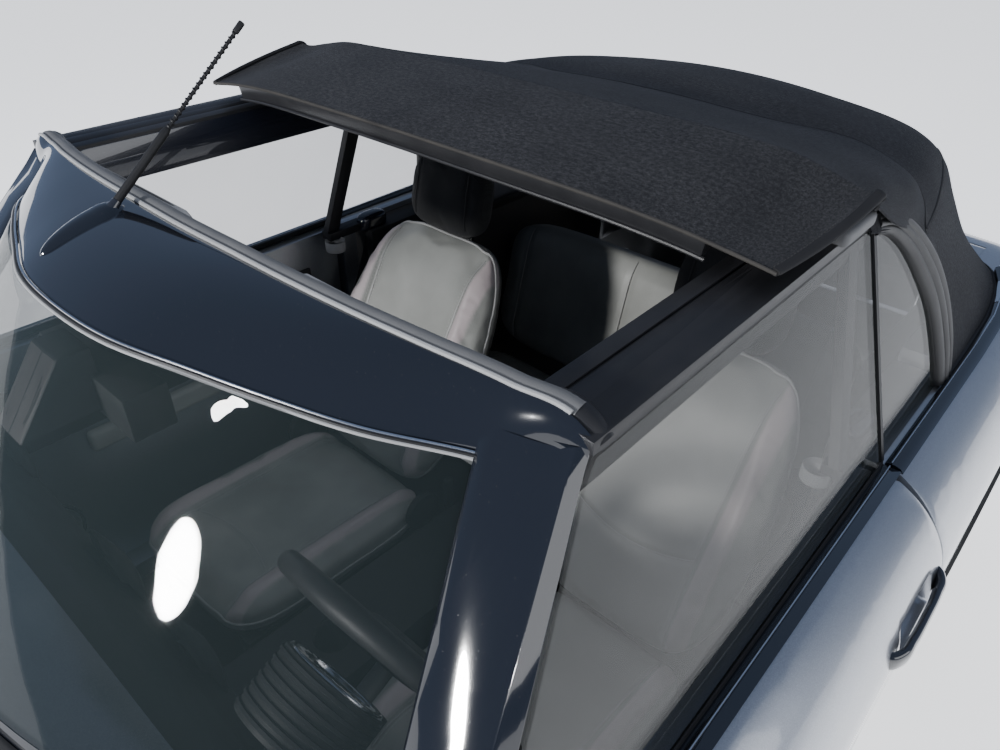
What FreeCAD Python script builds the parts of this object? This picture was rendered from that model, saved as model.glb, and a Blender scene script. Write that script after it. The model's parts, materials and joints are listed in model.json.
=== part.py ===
import FreeCAD, Part
import math
import os

os.makedirs("parts", exist_ok=True)
V = FreeCAD.Vector

# A compact four-seat convertible car, its fabric roof in the half-open position.
# Millimetres. X points forward, Y to the car's left, Z up from the ground,
# and the origin is on the ground at the middle of the car's length.

# Overall sizes of the body
BODY_LENGTH = 3820.0
BODY_HALF_WIDTH = 863.5
WHEELBASE = 2495.0
FRONT_OVERHANG = 760.0
UNDERSIDE_Z = 175.0
BELT_Z = 942.0
BELT_HALF_WIDTH = 751.0
COWL_CROWN_Z = 986.0
PANEL_GAP = 6.0
WALL = 60.0
NOSE_X = BODY_LENGTH / 2
TAIL_X = -BODY_LENGTH / 2
FRONT_AXLE_X = NOSE_X - FRONT_OVERHANG
REAR_AXLE_X = FRONT_AXLE_X - WHEELBASE

# Wheels, arches and steering
TYRE_RADIUS = 308.0
TYRE_WIDTH = 205.0
RIM_RADIUS = 222.0
HALF_TRACK = 750.0
SPINDLE_RADIUS = 28.0
RUNNING_GAP = 0.3
HUB_RADIUS = 62.0
SPOKES = 5
ARCH_RADIUS = 352.0
ARCH_TRIM_WIDTH = 38.0
ARCH_TRIM_STAND = 8.0
WELL_RADIUS = 372.0
FRONT_WELL_INNER_Y = 475.0
REAR_WELL_INNER_Y = 605.0
WELL_SKIN_Y = 815.0
KINGPIN_Y = 690.0
KINGPIN_RADIUS = 14.0
KNUCKLE_HALF_HEIGHT = 118.0

# Cabin, doors and lids
CABIN_HALF_WIDTH = 690.0
PILLAR_INNER_Y = 600.0
FLOOR_TOP_Z = 250.0
BULKHEAD_X = 694.0
BULKHEAD_THICKNESS = 54.0
DOOR_FRONT_X = 637.0
DOOR_REAR_X = -597.0
DOOR_BOTTOM_Z = 300.0
DOOR_CORNER_RADIUS = 110.0
DOOR_REAR_TAPER = 24.0
DOOR_FRONT_GAP = 9.0
DOOR_FRONT_REBATE = 16.0
DOOR_FRONT_LIP = 22.0
DOOR_HINGE_X = 658.0
DOOR_HINGE_Y = 845.0
DOOR_HINGE_HEIGHTS = (420.0, 700.0)
HINGE_PIN_RADIUS = 6.0
HINGE_EYE_RADIUS = 12.0
HINGE_EYE_HEIGHT = 40.0
SEAT_BULKHEAD_X = -1150.0
BONNET_HALF_WIDTH = 640.0
BONNET_FRONT_X = 1690.0
BONNET_THICKNESS = 30.0
BOOT_HALF_WIDTH = 560.0
TAILGATE_HALF_WIDTH = 470.0
TAILGATE_TOP_X = -1640.0
BUMPER_TOP_Z = 584.0
TAILGATE_GAP = 8.0
DECK_FRONT_X = -1500.0

# Windscreen, pillars and header
SCREEN_TOP = (309.0, 494.0, 138.0, 1345.0, 1305.0)
SCREEN_FOOT = (594.0, 608.0, 414.0, 978.0, 949.0)
SCREEN_THICKNESS = 5.0
GLASS_THICKNESS = 4.5
GLASS_BELT_Y = 714.5
GLASS_BELT_Z = 949.0
GLASS_LEAN = 0.3275
GLASS_TOP_Z = 1326.0
PILLAR_FOOT_Z = 948.0

# Roof rails, sliding roof panel and soft top
RAIL_FRONT_X = 96.0
RAIL_REAR_X = -640.0
RAIL_INNER_Y = 500.0
RAIL_OUTER_Y = 577.0
RAIL_LIP_Y = 592.0
RAIL_TOP_Z = 1352.0
RAIL_BOTTOM_Z = 1275.0
RAIL_LIP_Z = 1333.0
SLIDE_TRAVEL = 315.0
SLIDE_DROP = 18.0
SLIDE_SLOT_Y = 530.0
SLIDE_SLOT_WIDTH = 14.0
PANEL_REAR_X = -560.0
SOFT_TOP_FRONT_X = -566.0
SOFT_TOP_SKIN = 18.0

# x, taken off the half width, raise of the underside, taken off the belt half width, belt z, crown z
BODY_STATIONS = (
    (NOSE_X, 513.0, 165.0, 520.0, 540.0, 556.0),
    (NOSE_X - 28.0, 330.0, 80.0, 345.0, 632.0, 655.0),
    (NOSE_X - 105.0, 160.0, 30.0, 200.0, 730.0, 765.0),
    (NOSE_X - 260.0, 62.0, 12.0, 100.0, 815.0, 858.0),
    (NOSE_X - 500.0, 14.0, 4.0, 44.0, 872.0, 920.0),
    (FRONT_AXLE_X, 0.0, 0.0, 16.0, 908.0, 955.0),
    (BULKHEAD_X, 0.0, 0.0, 3.0, BELT_Z - 4.0, COWL_CROWN_Z),
    (DOOR_FRONT_X - 300.0, 0.0, 0.0, 0.0, BELT_Z, BELT_Z + 30.0),
    (0.0, 0.0, 0.0, 0.0, BELT_Z, BELT_Z + 8.0),
    (DOOR_REAR_X, 0.0, 0.0, 0.0, BELT_Z, BELT_Z + 8.0),
    (REAR_AXLE_X + 200.0, 0.0, 0.0, 3.0, BELT_Z + 2.0, BELT_Z + 14.0),
    (TAIL_X + 400.0, 12.0, 8.0, 18.0, BELT_Z, BELT_Z + 18.0),
    (TAIL_X + 180.0, 58.0, 30.0, 75.0, BELT_Z - 18.0, BELT_Z + 2.0),
    (TAIL_X + 55.0, 165.0, 85.0, 190.0, BELT_Z - 80.0, BELT_Z - 62.0),
    (TAIL_X, 330.0, 190.0, 340.0, BELT_Z - 175.0, BELT_Z - 165.0),
)
SHOULDER_DROP = 200.0
SHOULDER_BULGE = 0.155
SILL_RISE = 130.0
SILL_TUCK = 62.0
# x of the pads a jack lifts under, two on each sill
JACK_PADS_X = (600.0, -700.0)
JACK_PAD_Y = 720.0
JACK_PAD_SIZE = (70.0, 44.0)
JACK_PAD_Z = 167.0

# Side glass, belt strip, mirrors and handles
DOOR_GLASS_OUTLINE = (
    (-596.0, BELT_Z - 45.0),
    (440.0, BELT_Z - 45.0),
    (403.0, BELT_Z + 6.0),
    (247.0, 1139.0),
    (159.0, 1246.0),
    (104.0, 1314.0),
    (88.0, GLASS_TOP_Z),
    (-596.0, GLASS_TOP_Z),
)
QUARTER_GLASS_OUTLINE = (
    (-612.0, BELT_Z + 8.0),
    (-612.0, 1314.0),
    (-660.0, 1306.0),
    (-735.0, 1262.0),
    (-803.0, 1190.0),
    (-868.0, 1090.0),
    (-892.0, 1010.0),
    (-886.0, BELT_Z + 8.0),
)
STRIP_TOP_Z = BELT_Z + 6.0
MIRROR_X = 395.0
MIRROR_SIZE = (80.0, 190.0, 125.0)
HANDLE_REAR_X = -585.0
HANDLE_LENGTH = 235.0
HANDLE_Z = 800.0
HANDLE_OUTER_Y = BODY_HALF_WIDTH + 12.0
HANDLE_DEPTH = 18.0
HANDLE_HEIGHT = 38.0
HANDLE_FOOT = 36.0
HANDLE_RECESS_Y = 826.0
HANDLE_RECESS_HEIGHT = 72.0

# Nose, bonnet hinges, grille, lamps and towing eye
NOSE_SPLIT_Z = 606.0
NOSE_REAR_X = NOSE_X - 344.0
BONNET_HINGE_X = 725.0
BONNET_HINGE_Z = 912.0
BONNET_HINGE_Y = 540.0
COWL_WELL_Z = 886.0
# x, z round a lug that carries the bonnet's hinge pin
BONNET_LUG = (
    (676.0, 872.0),
    (676.0, 884.0),
    (686.0, 886.0),
    (718.0, 919.0),
    (732.0, 919.0),
    (735.0, 905.0),
    (702.0, 872.0),
)
GRILLE_HALF_WIDTH = 320.0
GRILLE_LOW_Z = 622.0
GRILLE_TOP_Z = 735.0
INTAKE_HALF_WIDTH = 430.0
INTAKE_LOW_Z = 330.0
INTAKE_TOP_Z = 455.0
SLAT_THICKNESS = 9.0
SLAT_PITCH = 28.0
TOW_EYE_Y = -250.0
TOW_EYE_Z = 500.0
TOW_EYE_DEPTH = 50.0
TOW_EYE_RADIUS = 12.0
LAMP_Y = 565.0
LAMP_Z = 700.0
LAMP_RADIUS = 92.0
TAIL_LAMP_Y = 560.0
TAIL_LAMP_WIDTH = 130.0
TAIL_LAMP_Z = 640.0
TAIL_LAMP_HEIGHT = 190.0

# Tailgate hinges, exhaust pipes and floor levels
GATE_HINGE_X = TAIL_X - 2.0
GATE_HINGE_Z = BUMPER_TOP_Z + TAILGATE_GAP / 2
GATE_HINGE_Y = 300.0
GATE_BARREL_RADIUS = 9.0
GATE_PIN_RADIUS = 4.5
GATE_THICKNESS = 45.0
TAIL_PIPES_Y = (-70.0, 70.0)
TAIL_PIPE_Z = 240.0
TAIL_PIPE_RADIUS = 30.0
FLOOR_LOW_Z = 190.0
TUNNEL_TOP_Z = 330.0
KICK_X = -970.0
REAR_FLOOR_Z = 390.0

# Header, pillars, soft top and roof frame
# y, front x, front z, crest x, crest z, rear x, rear z
HEADER_STATIONS = (
    (0.0, 309.0, 1345.0, 235.0, 1378.0, 150.0, 1388.0),
    (210.0, 268.0, 1337.0, 205.0, 1372.0, 143.0, 1386.0),
    (400.0, 199.0, 1321.0, 158.0, 1357.0, 121.0, 1377.0),
    (494.0, 140.0, 1306.0, 118.0, 1346.0, 101.0, 1366.0),
    (578.0, 106.0, 1301.0, 100.0, 1334.0, 91.0, 1353.0),
)
HEADER_DEPTH = 52.0
# x, y of the pillar's section corners, the outer face between the first two
PILLAR_TOP = ((146.0, 492.0), (120.0, 583.0), (108.0, 592.0), (84.0, 574.0), (118.0, 486.0))
PILLAR_FOOT = ((430.0, 606.0), (454.0, 700.0), (411.0, 711.0), (380.0, 694.0), (394.0, 612.0))
PILLAR_TOP_Z = 1318.0
PILLAR_BULGE = 5.0
# x, belt half width, side top y, side top z, shoulder y, shoulder z, roof edge y, roof edge z, crown z
SOFT_TOP_STATIONS = (
    (SOFT_TOP_FRONT_X, 722.0, 602.0, 1330.0, 588.0, 1385.0, 545.0, 1410.0, 1438.0),
    (-720.0, 722.0, 614.0, 1290.0, 598.0, 1330.0, 545.0, 1366.0, 1404.0),
    (-900.0, 722.0, 606.0, 1235.0, 580.0, 1276.0, 520.0, 1318.0, 1364.0),
    (-1080.0, 722.0, 590.0, 1215.0, 560.0, 1265.0, 500.0, 1308.0, 1362.0),
    (-1240.0, 718.0, 568.0, 1190.0, 536.0, 1245.0, 470.0, 1292.0, 1345.0),
    (-1345.0, 706.0, 556.0, 1140.0, 520.0, 1205.0, 440.0, 1262.0, 1312.0),
    (-1430.0, 688.0, 560.0, 1075.0, 520.0, 1130.0, 440.0, 1180.0, 1228.0),
    (-1510.0, 652.0, 570.0, 1010.0, 525.0, 1050.0, 440.0, 1085.0, 1120.0),
    (-1580.0, 560.0, 530.0, 965.0, 500.0, 978.0, 440.0, 988.0, 1000.0),
)
SOFT_TOP_SIDE_BULGE = 4.0
FRONT_BOW_DROP = 52.0
BOW_DEPTH = 22.0
REAR_BOW_X = -1040.0
LINK_INNER_Y = 520.0
LINK_WIDTH = 24.0
LINK_LOW_Z = 1228.0
# x, y, z of the side link's lower and upper end
PILLAR_LINK = ((-545.0, 665.0, 948.0), (-596.0, 566.0, 1300.0))
REAR_WINDOW_HALF_WIDTH = 420.0
REAR_WINDOW_LOW_Z = 1010.0
REAR_WINDOW_TOP_Z = 1195.0
# y, front x, front top z, crease x, crease z, rear top z
ROOF_PANEL_STATIONS = (
    (0.0, -225.0, 1421.0, -500.0, 1446.0, 1441.0),
    (370.0, -240.0, 1410.0, -508.0, 1440.0, 1435.0),
    (520.0, -258.0, 1396.0, -500.0, 1434.0, 1428.0),
    (592.0, -275.0, 1384.0, -480.0, 1428.0, 1420.0),
    (628.0, -430.0, 1424.0, -480.0, 1426.0, 1418.0),
)
ROOF_PANEL_DEPTH = 30.0
ROOF_PANEL_RAIL_DEPTH = 14.0
ROOF_PANEL_HEM_DEPTH = 8.0

# Steering and wipers
WHEEL_CENTRE = (165.0, 370.0, 905.0)
COLUMN_TILT = 24.0
STEERING_WHEEL_RADIUS = 185.0
STEERING_RIM_RADIUS = 15.0
WIPER_SPINDLE_X = 622.0

# Seats: x, z, corner radius round each pad in side view
SEAT_HALF_WIDTH = 245.0
SEAT_BACK_HALF_WIDTH = 240.0
HEAD_REST_HALF_WIDTH = 120.0
SEAT_CUSHION = ((-400.0, 360.0, 30.0), (170.0, 385.0, 30.0), (190.0, 470.0, 40.0), (-400.0, 455.0, 30.0))
SEAT_BACK = ((-300.0, 440.0, 40.0), (-420.0, 430.0, 40.0), (-735.0, 985.0, 45.0), (-635.0, 1008.0, 40.0))
HEAD_REST = ((-640.0, 1020.0, 30.0), (-735.0, 1020.0, 30.0), (-765.0, 1200.0, 30.0), (-690.0, 1205.0, 30.0))
REAR_BENCH = (
    (-1040.0, REAR_FLOOR_Z, 0.0),
    (KICK_X, REAR_FLOOR_Z, 0.0),
    (KICK_X + 20.0, 310.0, 20.0),
    (-720.0, 300.0, 30.0),
    (-700.0, 460.0, 60.0),
    (-1040.0, 450.0, 0.0),
)
REAR_REST = ((-1000.0, 440.0, 40.0), (-1130.0, 430.0, 30.0), (-1225.0, 860.0, 40.0), (-1130.0, 880.0, 40.0))

# Dashboard and console: x, z, corner radius round each in side view
DASH_LOW_Z = 620.0
DASHBOARD = (
    (470.0, DASH_LOW_Z, 20.0),
    (360.0, 640.0, 30.0),
    (310.0, 800.0, 50.0),
    (390.0, 905.0, 40.0),
    (545.0, 926.0, 0.0),
    (551.0, 898.0, 0.0),
    (639.0, 898.0, 0.0),
    (639.0, DASH_LOW_Z, 0.0),
)
CONSOLE_HALF_WIDTH = 95.0
CONSOLE = (
    (600.0, TUNNEL_TOP_Z, 0.0),
    (600.0, DASH_LOW_Z, 0.0),
    (480.0, DASH_LOW_Z, 0.0),
    (250.0, 480.0, 60.0),
    (-500.0, 450.0, 30.0),
    (-520.0, TUNNEL_TOP_Z, 0.0),
)


def box(x0, x1, y0, y1, z0, z1):
    return Part.makeBox(x1 - x0, y1 - y0, z1 - z0, V(x0, y0, z0))


def rod(start, end, radius):
    along = V(*end) - V(*start)
    return Part.makeCylinder(radius, along.Length, V(*start), along)


def across(x, z, radius, y0, y1):
    return rod((x, y0, z), (x, y1, z), radius)


def mirrored(shape):
    return shape.mirror(V(0, 0, 0), V(0, 1, 0))


def both_sides(shape):
    return Part.makeCompound([shape, mirrored(shape)])


def polygon_face(points):
    corners = [V(*point) for point in points]
    return Part.Face(Part.makePolygon(corners + corners[:1]))


def side_prism(outline, y0, y1):
    """A prism along Y over an (x, z) outline."""
    face = polygon_face([(x, y0, z) for x, z in outline])
    return face.extrude(V(0, y1 - y0, 0))


def plan_prism(outline, z0, z1):
    """A prism along Z over an (x, y) outline."""
    face = polygon_face([(x, y, z0) for x, y in outline])
    return face.extrude(V(0, 0, z1 - z0))


def rounded_outline(corners):
    """An (x, z, radius) outline as a closed wire in the XZ plane, its corners rounded."""
    edges = []
    ends = []
    count = len(corners)
    for i, (x, z, radius) in enumerate(corners):
        here = V(x, 0, z)
        before = V(corners[i - 1][0], 0, corners[i - 1][1]) - here
        after = V(corners[(i + 1) % count][0], 0, corners[(i + 1) % count][1]) - here
        if radius == 0.0:
            ends.append((here, None, here))
            continue
        before.normalize()
        after.normalize()
        half = before.getAngle(after) / 2
        reach = radius / math.tan(half)
        inward = before + after
        inward.normalize()
        middle = here + inward * (radius / math.sin(half) - radius)
        ends.append((here + before * reach, middle, here + after * reach))
    for i, (start, middle, end) in enumerate(ends):
        if middle is not None:
            edges.append(Part.Arc(start, middle, end).toShape())
        following = ends[(i + 1) % count][0]
        if (following - end).Length > 1e-6:
            edges.append(Part.LineSegment(end, following).toShape())
    return Part.Wire(edges)


def rounded_prism(corners, y0, y1):
    wire = rounded_outline(corners)
    wire.translate(V(0, y0, 0))
    return Part.Face(wire).extrude(V(0, y1 - y0, 0))


def cross_loft(stations, ruled=False):
    """A solid through (y, ((x, z), ...)) sections that stand across the car."""
    wires = []
    for y, outline in stations:
        corners = [V(x, y, z) for x, z in outline]
        wires.append(Part.makePolygon(corners + corners[:1]))
    return Part.makeLoft(wires, True, ruled)


def save(name, shape):
    shape.exportStep("parts/" + name + ".step")
    print(name, len(shape.Solids), round(shape.Volume / 1e6, 2), shape.isValid())


# Outer form of the body

def body_section(station, grow):
    x, off_width, rise, off_belt, belt_z, crown_z = station
    half = BODY_HALF_WIDTH - off_width + grow
    belt = BELT_HALF_WIDTH - off_belt + grow
    low = UNDERSIDE_Z + rise - grow
    top = belt_z + grow
    crown = crown_z + grow
    sill = V(x, half - SILL_TUCK, low)
    rocker = V(x, half, low + min(SILL_RISE, 0.35 * (top - low)))
    shoulder = V(x, half, top - min(SHOULDER_DROP, 0.4 * (top - low)))
    edge = V(x, belt, top)
    tuck = V(x, half - 0.25 * SILL_TUCK, low + 0.35 * (rocker.z - low))
    flank = V(x, half + 1.5, (rocker.z + shoulder.z) / 2)
    chord = edge - shoulder
    outward = V(0, chord.z, -chord.y)
    bulge = (shoulder + edge) * 0.5 + outward * SHOULDER_BULGE
    side = ((sill, tuck, rocker), (rocker, flank, shoulder), (shoulder, bulge, edge))

    def flipped(point):
        return V(point.x, -point.y, point.z)

    edges = [Part.LineSegment(flipped(sill), sill).toShape()]
    for start, middle, end in side:
        edges.append(Part.Arc(start, middle, end).toShape())
    edges.append(Part.Arc(edge, V(x, 0, crown), flipped(edge)).toShape())
    for start, middle, end in reversed(side):
        edges.append(Part.Arc(flipped(end), flipped(middle), flipped(start)).toShape())
    return Part.Wire(edges)


def body_form(grow=0.0):
    """The outer form of the body, grown or shrunk by the same amount on every side."""
    wires = []
    for station in BODY_STATIONS:
        wire = body_section(station, grow)
        wire.translate(V(station[0] * grow / NOSE_X, 0, 0))
        wires.append(wire)
    return Part.makeLoft(wires, True, False)


FORM = body_form()
CORE = body_form(-WALL)
FAR = 1000.0


def wheel_wells(front_radius, rear_radius, skin_only):
    wells = []
    for x, radius, inner_y in (
        (FRONT_AXLE_X, front_radius, FRONT_WELL_INNER_Y),
        (REAR_AXLE_X, rear_radius, REAR_WELL_INNER_Y),
    ):
        start_y = WELL_SKIN_Y if skin_only else inner_y
        well = across(x, TYRE_RADIUS, radius, start_y, FAR)
        wells += [well, mirrored(well)]
    return wells


WELLS = wheel_wells(WELL_RADIUS, WELL_RADIUS, False)
ARCH_HOLES = wheel_wells(ARCH_RADIUS + ARCH_TRIM_WIDTH, ARCH_RADIUS + ARCH_TRIM_WIDTH, True)


def less_wheels(shape):
    return shape.cut(WELLS + ARCH_HOLES)


# Doors: outline in side view. The rear edge is tapered inwards, and the front edge steps back
# behind an outer lip, so that the door swings clear of the panels.

def door_outline(grow, front_gap):
    front = DOOR_FRONT_X + front_gap
    rear = DOOR_REAR_X - grow
    low = DOOR_BOTTOM_Z - grow
    radius = DOOR_CORNER_RADIUS + grow
    return ((rear, low, radius), (front, low, radius), (front, FAR, 0.0), (rear, FAR, 0.0))


def door_block(grow, inner_y, front_gap=0.0):
    block = rounded_prism(door_outline(grow, front_gap), inner_y, FAR)
    rear = DOOR_REAR_X - grow
    taper = plan_prism(
        (
            (rear - 1.0, inner_y - 1.0),
            (rear + DOOR_REAR_TAPER, inner_y - 1.0),
            (rear, BODY_HALF_WIDTH),
            (rear - 1.0, BODY_HALF_WIDTH),
        ),
        0.0,
        FAR + 1.0,
    )
    return block.cut(taper)


def front_rebate():
    """What is taken off a door behind the lip of its front edge."""
    deep = DOOR_FRONT_X - DOOR_FRONT_REBATE
    return plan_prism(
        (
            (DOOR_FRONT_X + 1.0, BODY_HALF_WIDTH + 2.5),
            (deep, BODY_HALF_WIDTH + 2.5 - DOOR_FRONT_LIP),
            (deep, 0.0),
            (DOOR_FRONT_X + 1.0, 0.0),
        ),
        0.0,
        FAR,
    )


DOOR_OPENING = door_block(PANEL_GAP, CABIN_HALF_WIDTH, DOOR_FRONT_GAP)
DOOR_OPENINGS = [DOOR_OPENING, mirrored(DOOR_OPENING)]


def glass_plane(x, z, inset=0.0):
    y = GLASS_BELT_Y - GLASS_LEAN * (z - GLASS_BELT_Z) - inset
    return (x, y, z)


def side_glass(outline):
    face = polygon_face([glass_plane(x, z) for x, z in outline])
    inward = V(0, -1.0, -GLASS_LEAN)
    inward.normalize()
    return face.extrude(inward * GLASS_THICKNESS)


def door_parts():
    shell = FORM.common(door_block(0.0, CABIN_HALF_WIDTH))
    shell = shell.cut(box(DOOR_REAR_X - FAR, FAR, 0, FAR, BELT_Z - 2.0, FAR + FAR))
    glass = side_glass(DOOR_GLASS_OUTLINE)
    shell = shell.cut([glass, handle_recess(), front_rebate()])
    for z in DOOR_HINGE_HEIGHTS:
        shell = shell.fuse(door_hinge_eye(z))
    return shell, glass


def door_hinge_eye(z):
    """The half of a hinge that the door carries: an eye on the pin and its strap."""
    low = z - HINGE_EYE_HEIGHT / 2
    top = z + HINGE_EYE_HEIGHT / 2
    pin = (DOOR_HINGE_X, DOOR_HINGE_Y)
    eye = rod((pin[0], pin[1], low), (pin[0], pin[1], top), HINGE_EYE_RADIUS)
    strap = plan_prism(
        (
            (pin[0] - 4.0, pin[1] - HINGE_EYE_RADIUS + 2.0),
            (pin[0] - 9.0, pin[1] - 7.0),
            (DOOR_FRONT_X - DOOR_FRONT_REBATE - 1.0, pin[1] - 28.0),
            (DOOR_FRONT_X - DOOR_FRONT_REBATE - 1.0, pin[1] - 44.0),
        ),
        low,
        top,
    )
    bore = rod((pin[0], pin[1], low - 1.0), (pin[0], pin[1], top + 1.0), HINGE_PIN_RADIUS + RUNNING_GAP)
    return eye.fuse(strap).cut(bore)


def door_hinge_pocket(z):
    """The hollow in the wing's rear face that the strap swings in."""
    reach = HINGE_EYE_HEIGHT / 2 + 5.5
    x = DOOR_HINGE_X
    y = DOOR_HINGE_Y
    pocket = box(x - 30.0, x + 20.0, y - 58.0, y + HINGE_EYE_RADIUS + 1.5, z - reach, z + reach)
    pin = rod((x, y, z - reach), (x, y, z + reach), HINGE_PIN_RADIUS)
    return pocket, pin


# Belt strip, mirror and outside handle that each door carries


def door_trim():
    strip = box(DOOR_REAR_X, 400.0, 719.5, BELT_HALF_WIDTH - 1.0, BELT_Z - 2.0, STRIP_TOP_Z)
    foot = box(MIRROR_X - 30.0, MIRROR_X + 25.0, 726.0, 830.0, STRIP_TOP_Z, STRIP_TOP_Z + 22.0)
    long_x, wide_y, high_z = MIRROR_SIZE
    shell = box(
        MIRROR_X - 0.5 * long_x,
        MIRROR_X + 0.5 * long_x,
        765.0,
        765.0 + wide_y,
        STRIP_TOP_Z + 12.0,
        STRIP_TOP_Z + 12.0 + high_z,
    )
    shell = shell.makeFillet(22.0, shell.Edges)
    return strip.fuse([foot, shell]).removeSplitter()


def door_handle(shell):
    """A loop bow over a dished recess, standing on two feet."""
    inner = HANDLE_OUTER_Y - HANDLE_DEPTH
    rear = HANDLE_REAR_X
    front = rear + HANDLE_LENGTH
    low = HANDLE_Z - HANDLE_HEIGHT / 2
    bow = box(rear, front, inner, HANDLE_OUTER_Y, low, low + HANDLE_HEIGHT)
    bow = bow.makeFillet(8.0, bow.Edges)
    for start in (rear + 4.0, front - HANDLE_FOOT - 4.0):
        end = start + HANDLE_FOOT
        foot = box(start, end, inner - 60.0, inner + 9.0, low + 5.0, low + HANDLE_HEIGHT - 5.0)
        bow = bow.fuse(foot)
    return bow.removeSplitter().cut(shell)


def handle_recess():
    """The hollow behind the bow that fingers reach into."""
    low = HANDLE_Z - HANDLE_RECESS_HEIGHT / 2
    start = HANDLE_REAR_X + HANDLE_FOOT + 8.0
    end = HANDLE_REAR_X + HANDLE_LENGTH - HANDLE_FOOT - 8.0
    hollow = box(start, end, HANDLE_RECESS_Y, FAR, low, low + HANDLE_RECESS_HEIGHT)
    return hollow.makeFillet(12.0, [edge for edge in hollow.Edges if edge.CenterOfMass.y < FAR - 1.0])


# Painted panels

def bonnet_hinge(y, on_lid):
    """One side of a bonnet hinge at y: the lid's eye and strap, or the lug and pin it turns on."""
    x, z = BONNET_HINGE_X, BONNET_HINGE_Z
    if on_lid:
        eye = across(x, z, HINGE_EYE_RADIUS, y, y + 26.0)
        strap = box(x - 8.0, x + 30.0, y, y + 26.0, z + 4.0, z + 60.0)
        bore = across(x, z, HINGE_PIN_RADIUS + RUNNING_GAP, y - 1.0, y + 27.0)
        return eye.fuse(strap).cut(bore)
    lug = side_prism(BONNET_LUG, y - 22.0, y - 6.0)
    pin = across(x, z, HINGE_PIN_RADIUS, y - 20.0, y + 28.0)
    return lug.fuse(pin)


def front_panels():
    side = BONNET_HALF_WIDTH + PANEL_GAP
    rear = DOOR_FRONT_X + DOOR_FRONT_GAP
    wing = FORM.common(box(rear, NOSE_X - 350.0, side, FAR, DOOR_BOTTOM_Z - PANEL_GAP, FAR))
    wing = less_wheels(wing.cut(DOOR_OPENINGS))
    pins = []
    for z in DOOR_HINGE_HEIGHTS:
        pocket, pin = door_hinge_pocket(z)
        wing = wing.cut(pocket)
        pins.append(pin)
    wing = wing.fuse(pins)
    save("front_wings", both_sides(wing))

    lowered = FORM.copy()
    lowered.translate(V(0, 0, -BONNET_THICKNESS))
    lid_front = BONNET_FRONT_X
    lid_rear = BULKHEAD_X + PANEL_GAP
    lid = FORM.common(box(lid_rear, lid_front, -BONNET_HALF_WIDTH, BONNET_HALF_WIDTH, 600.0, FAR + FAR))
    lid = lid.cut(lowered)
    hinge = bonnet_hinge(BONNET_HINGE_Y, True).common(lowered)
    lid = lid.fuse([hinge, mirrored(hinge)])
    save("bonnet", lid)

    ahead = NOSE_X + 10.0
    nose = FORM.common(box(NOSE_REAR_X, ahead, -FAR, FAR, NOSE_SPLIT_Z, FAR))
    half = GRILLE_HALF_WIDTH
    grille_hole = box(NOSE_X - 300.0, ahead, -half, half, GRILLE_LOW_Z, GRILLE_TOP_Z)
    lamp_holes = [headlamp_bore(), mirrored(headlamp_bore())]
    nose = less_wheels(nose.cut([CORE, lid_space(), grille_hole] + lamp_holes))
    save("nose_panel", nose)

    bumper = FORM.common(box(NOSE_REAR_X, ahead, -FAR, FAR, 0.0, NOSE_SPLIT_Z - 0.5))
    half = INTAKE_HALF_WIDTH
    intake = box(NOSE_X - 300.0, ahead, -half, half, INTAKE_LOW_Z, INTAKE_TOP_Z)
    socket_end = NOSE_X - TOW_EYE_DEPTH
    eye = rod((socket_end, TOW_EYE_Y, TOW_EYE_Z), (ahead, TOW_EYE_Y, TOW_EYE_Z), TOW_EYE_RADIUS)
    bumper = less_wheels(bumper.cut([CORE, intake, eye]))
    save("front_bumper", bumper)


def lid_space():
    """The room of the bonnet with its gap all round."""
    side = BONNET_HALF_WIDTH + PANEL_GAP
    return box(0.0, BONNET_FRONT_X + PANEL_GAP, -side, side, NOSE_SPLIT_Z, FAR)


def headlamp_bore():
    return rod((NOSE_X - 300.0, LAMP_Y, LAMP_Z), (NOSE_X + 30.0, LAMP_Y, LAMP_Z), LAMP_RADIUS)


def grille():
    behind = NOSE_X - 150.0
    slats = []
    for half, low, top in (
        (GRILLE_HALF_WIDTH, GRILLE_LOW_Z, GRILLE_TOP_Z),
        (INTAKE_HALF_WIDTH, INTAKE_LOW_Z, INTAKE_TOP_Z),
    ):
        count = int((top - low) / SLAT_PITCH)
        spare = (top - low - (count - 1) * SLAT_PITCH) / 2
        pieces = [
            box(behind, NOSE_X, -half, half, low + spare + i * SLAT_PITCH - SLAT_THICKNESS / 2,
                low + spare + i * SLAT_PITCH + SLAT_THICKNESS / 2)
            for i in range(count)
        ]
        for y in (-0.9 * half, 0.0, 0.9 * half):
            pieces.append(box(behind, behind + 60.0, y - 10.0, y + 10.0, low, top))
        slats.append(pieces[0].fuse(pieces[1:]))
    skin = body_form(-8.0)
    return Part.makeCompound([part.common(skin) for part in slats])


def lamps():
    lens_form = body_form(4.0)
    bore = headlamp_bore()
    lamp = bore.common(lens_form).cut([CORE, lid_space()])
    save("headlamps", both_sides(lamp))
    tail = tail_lamp_block().common(body_form(3.0)).cut(CORE)
    save("tail_lamps", both_sides(tail))


def tail_lamp_block():
    return box(TAIL_X - 10.0, TAIL_X + 170.0, TAIL_LAMP_Y, TAIL_LAMP_Y + TAIL_LAMP_WIDTH,
               TAIL_LAMP_Z, TAIL_LAMP_Z + TAIL_LAMP_HEIGHT)


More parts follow.
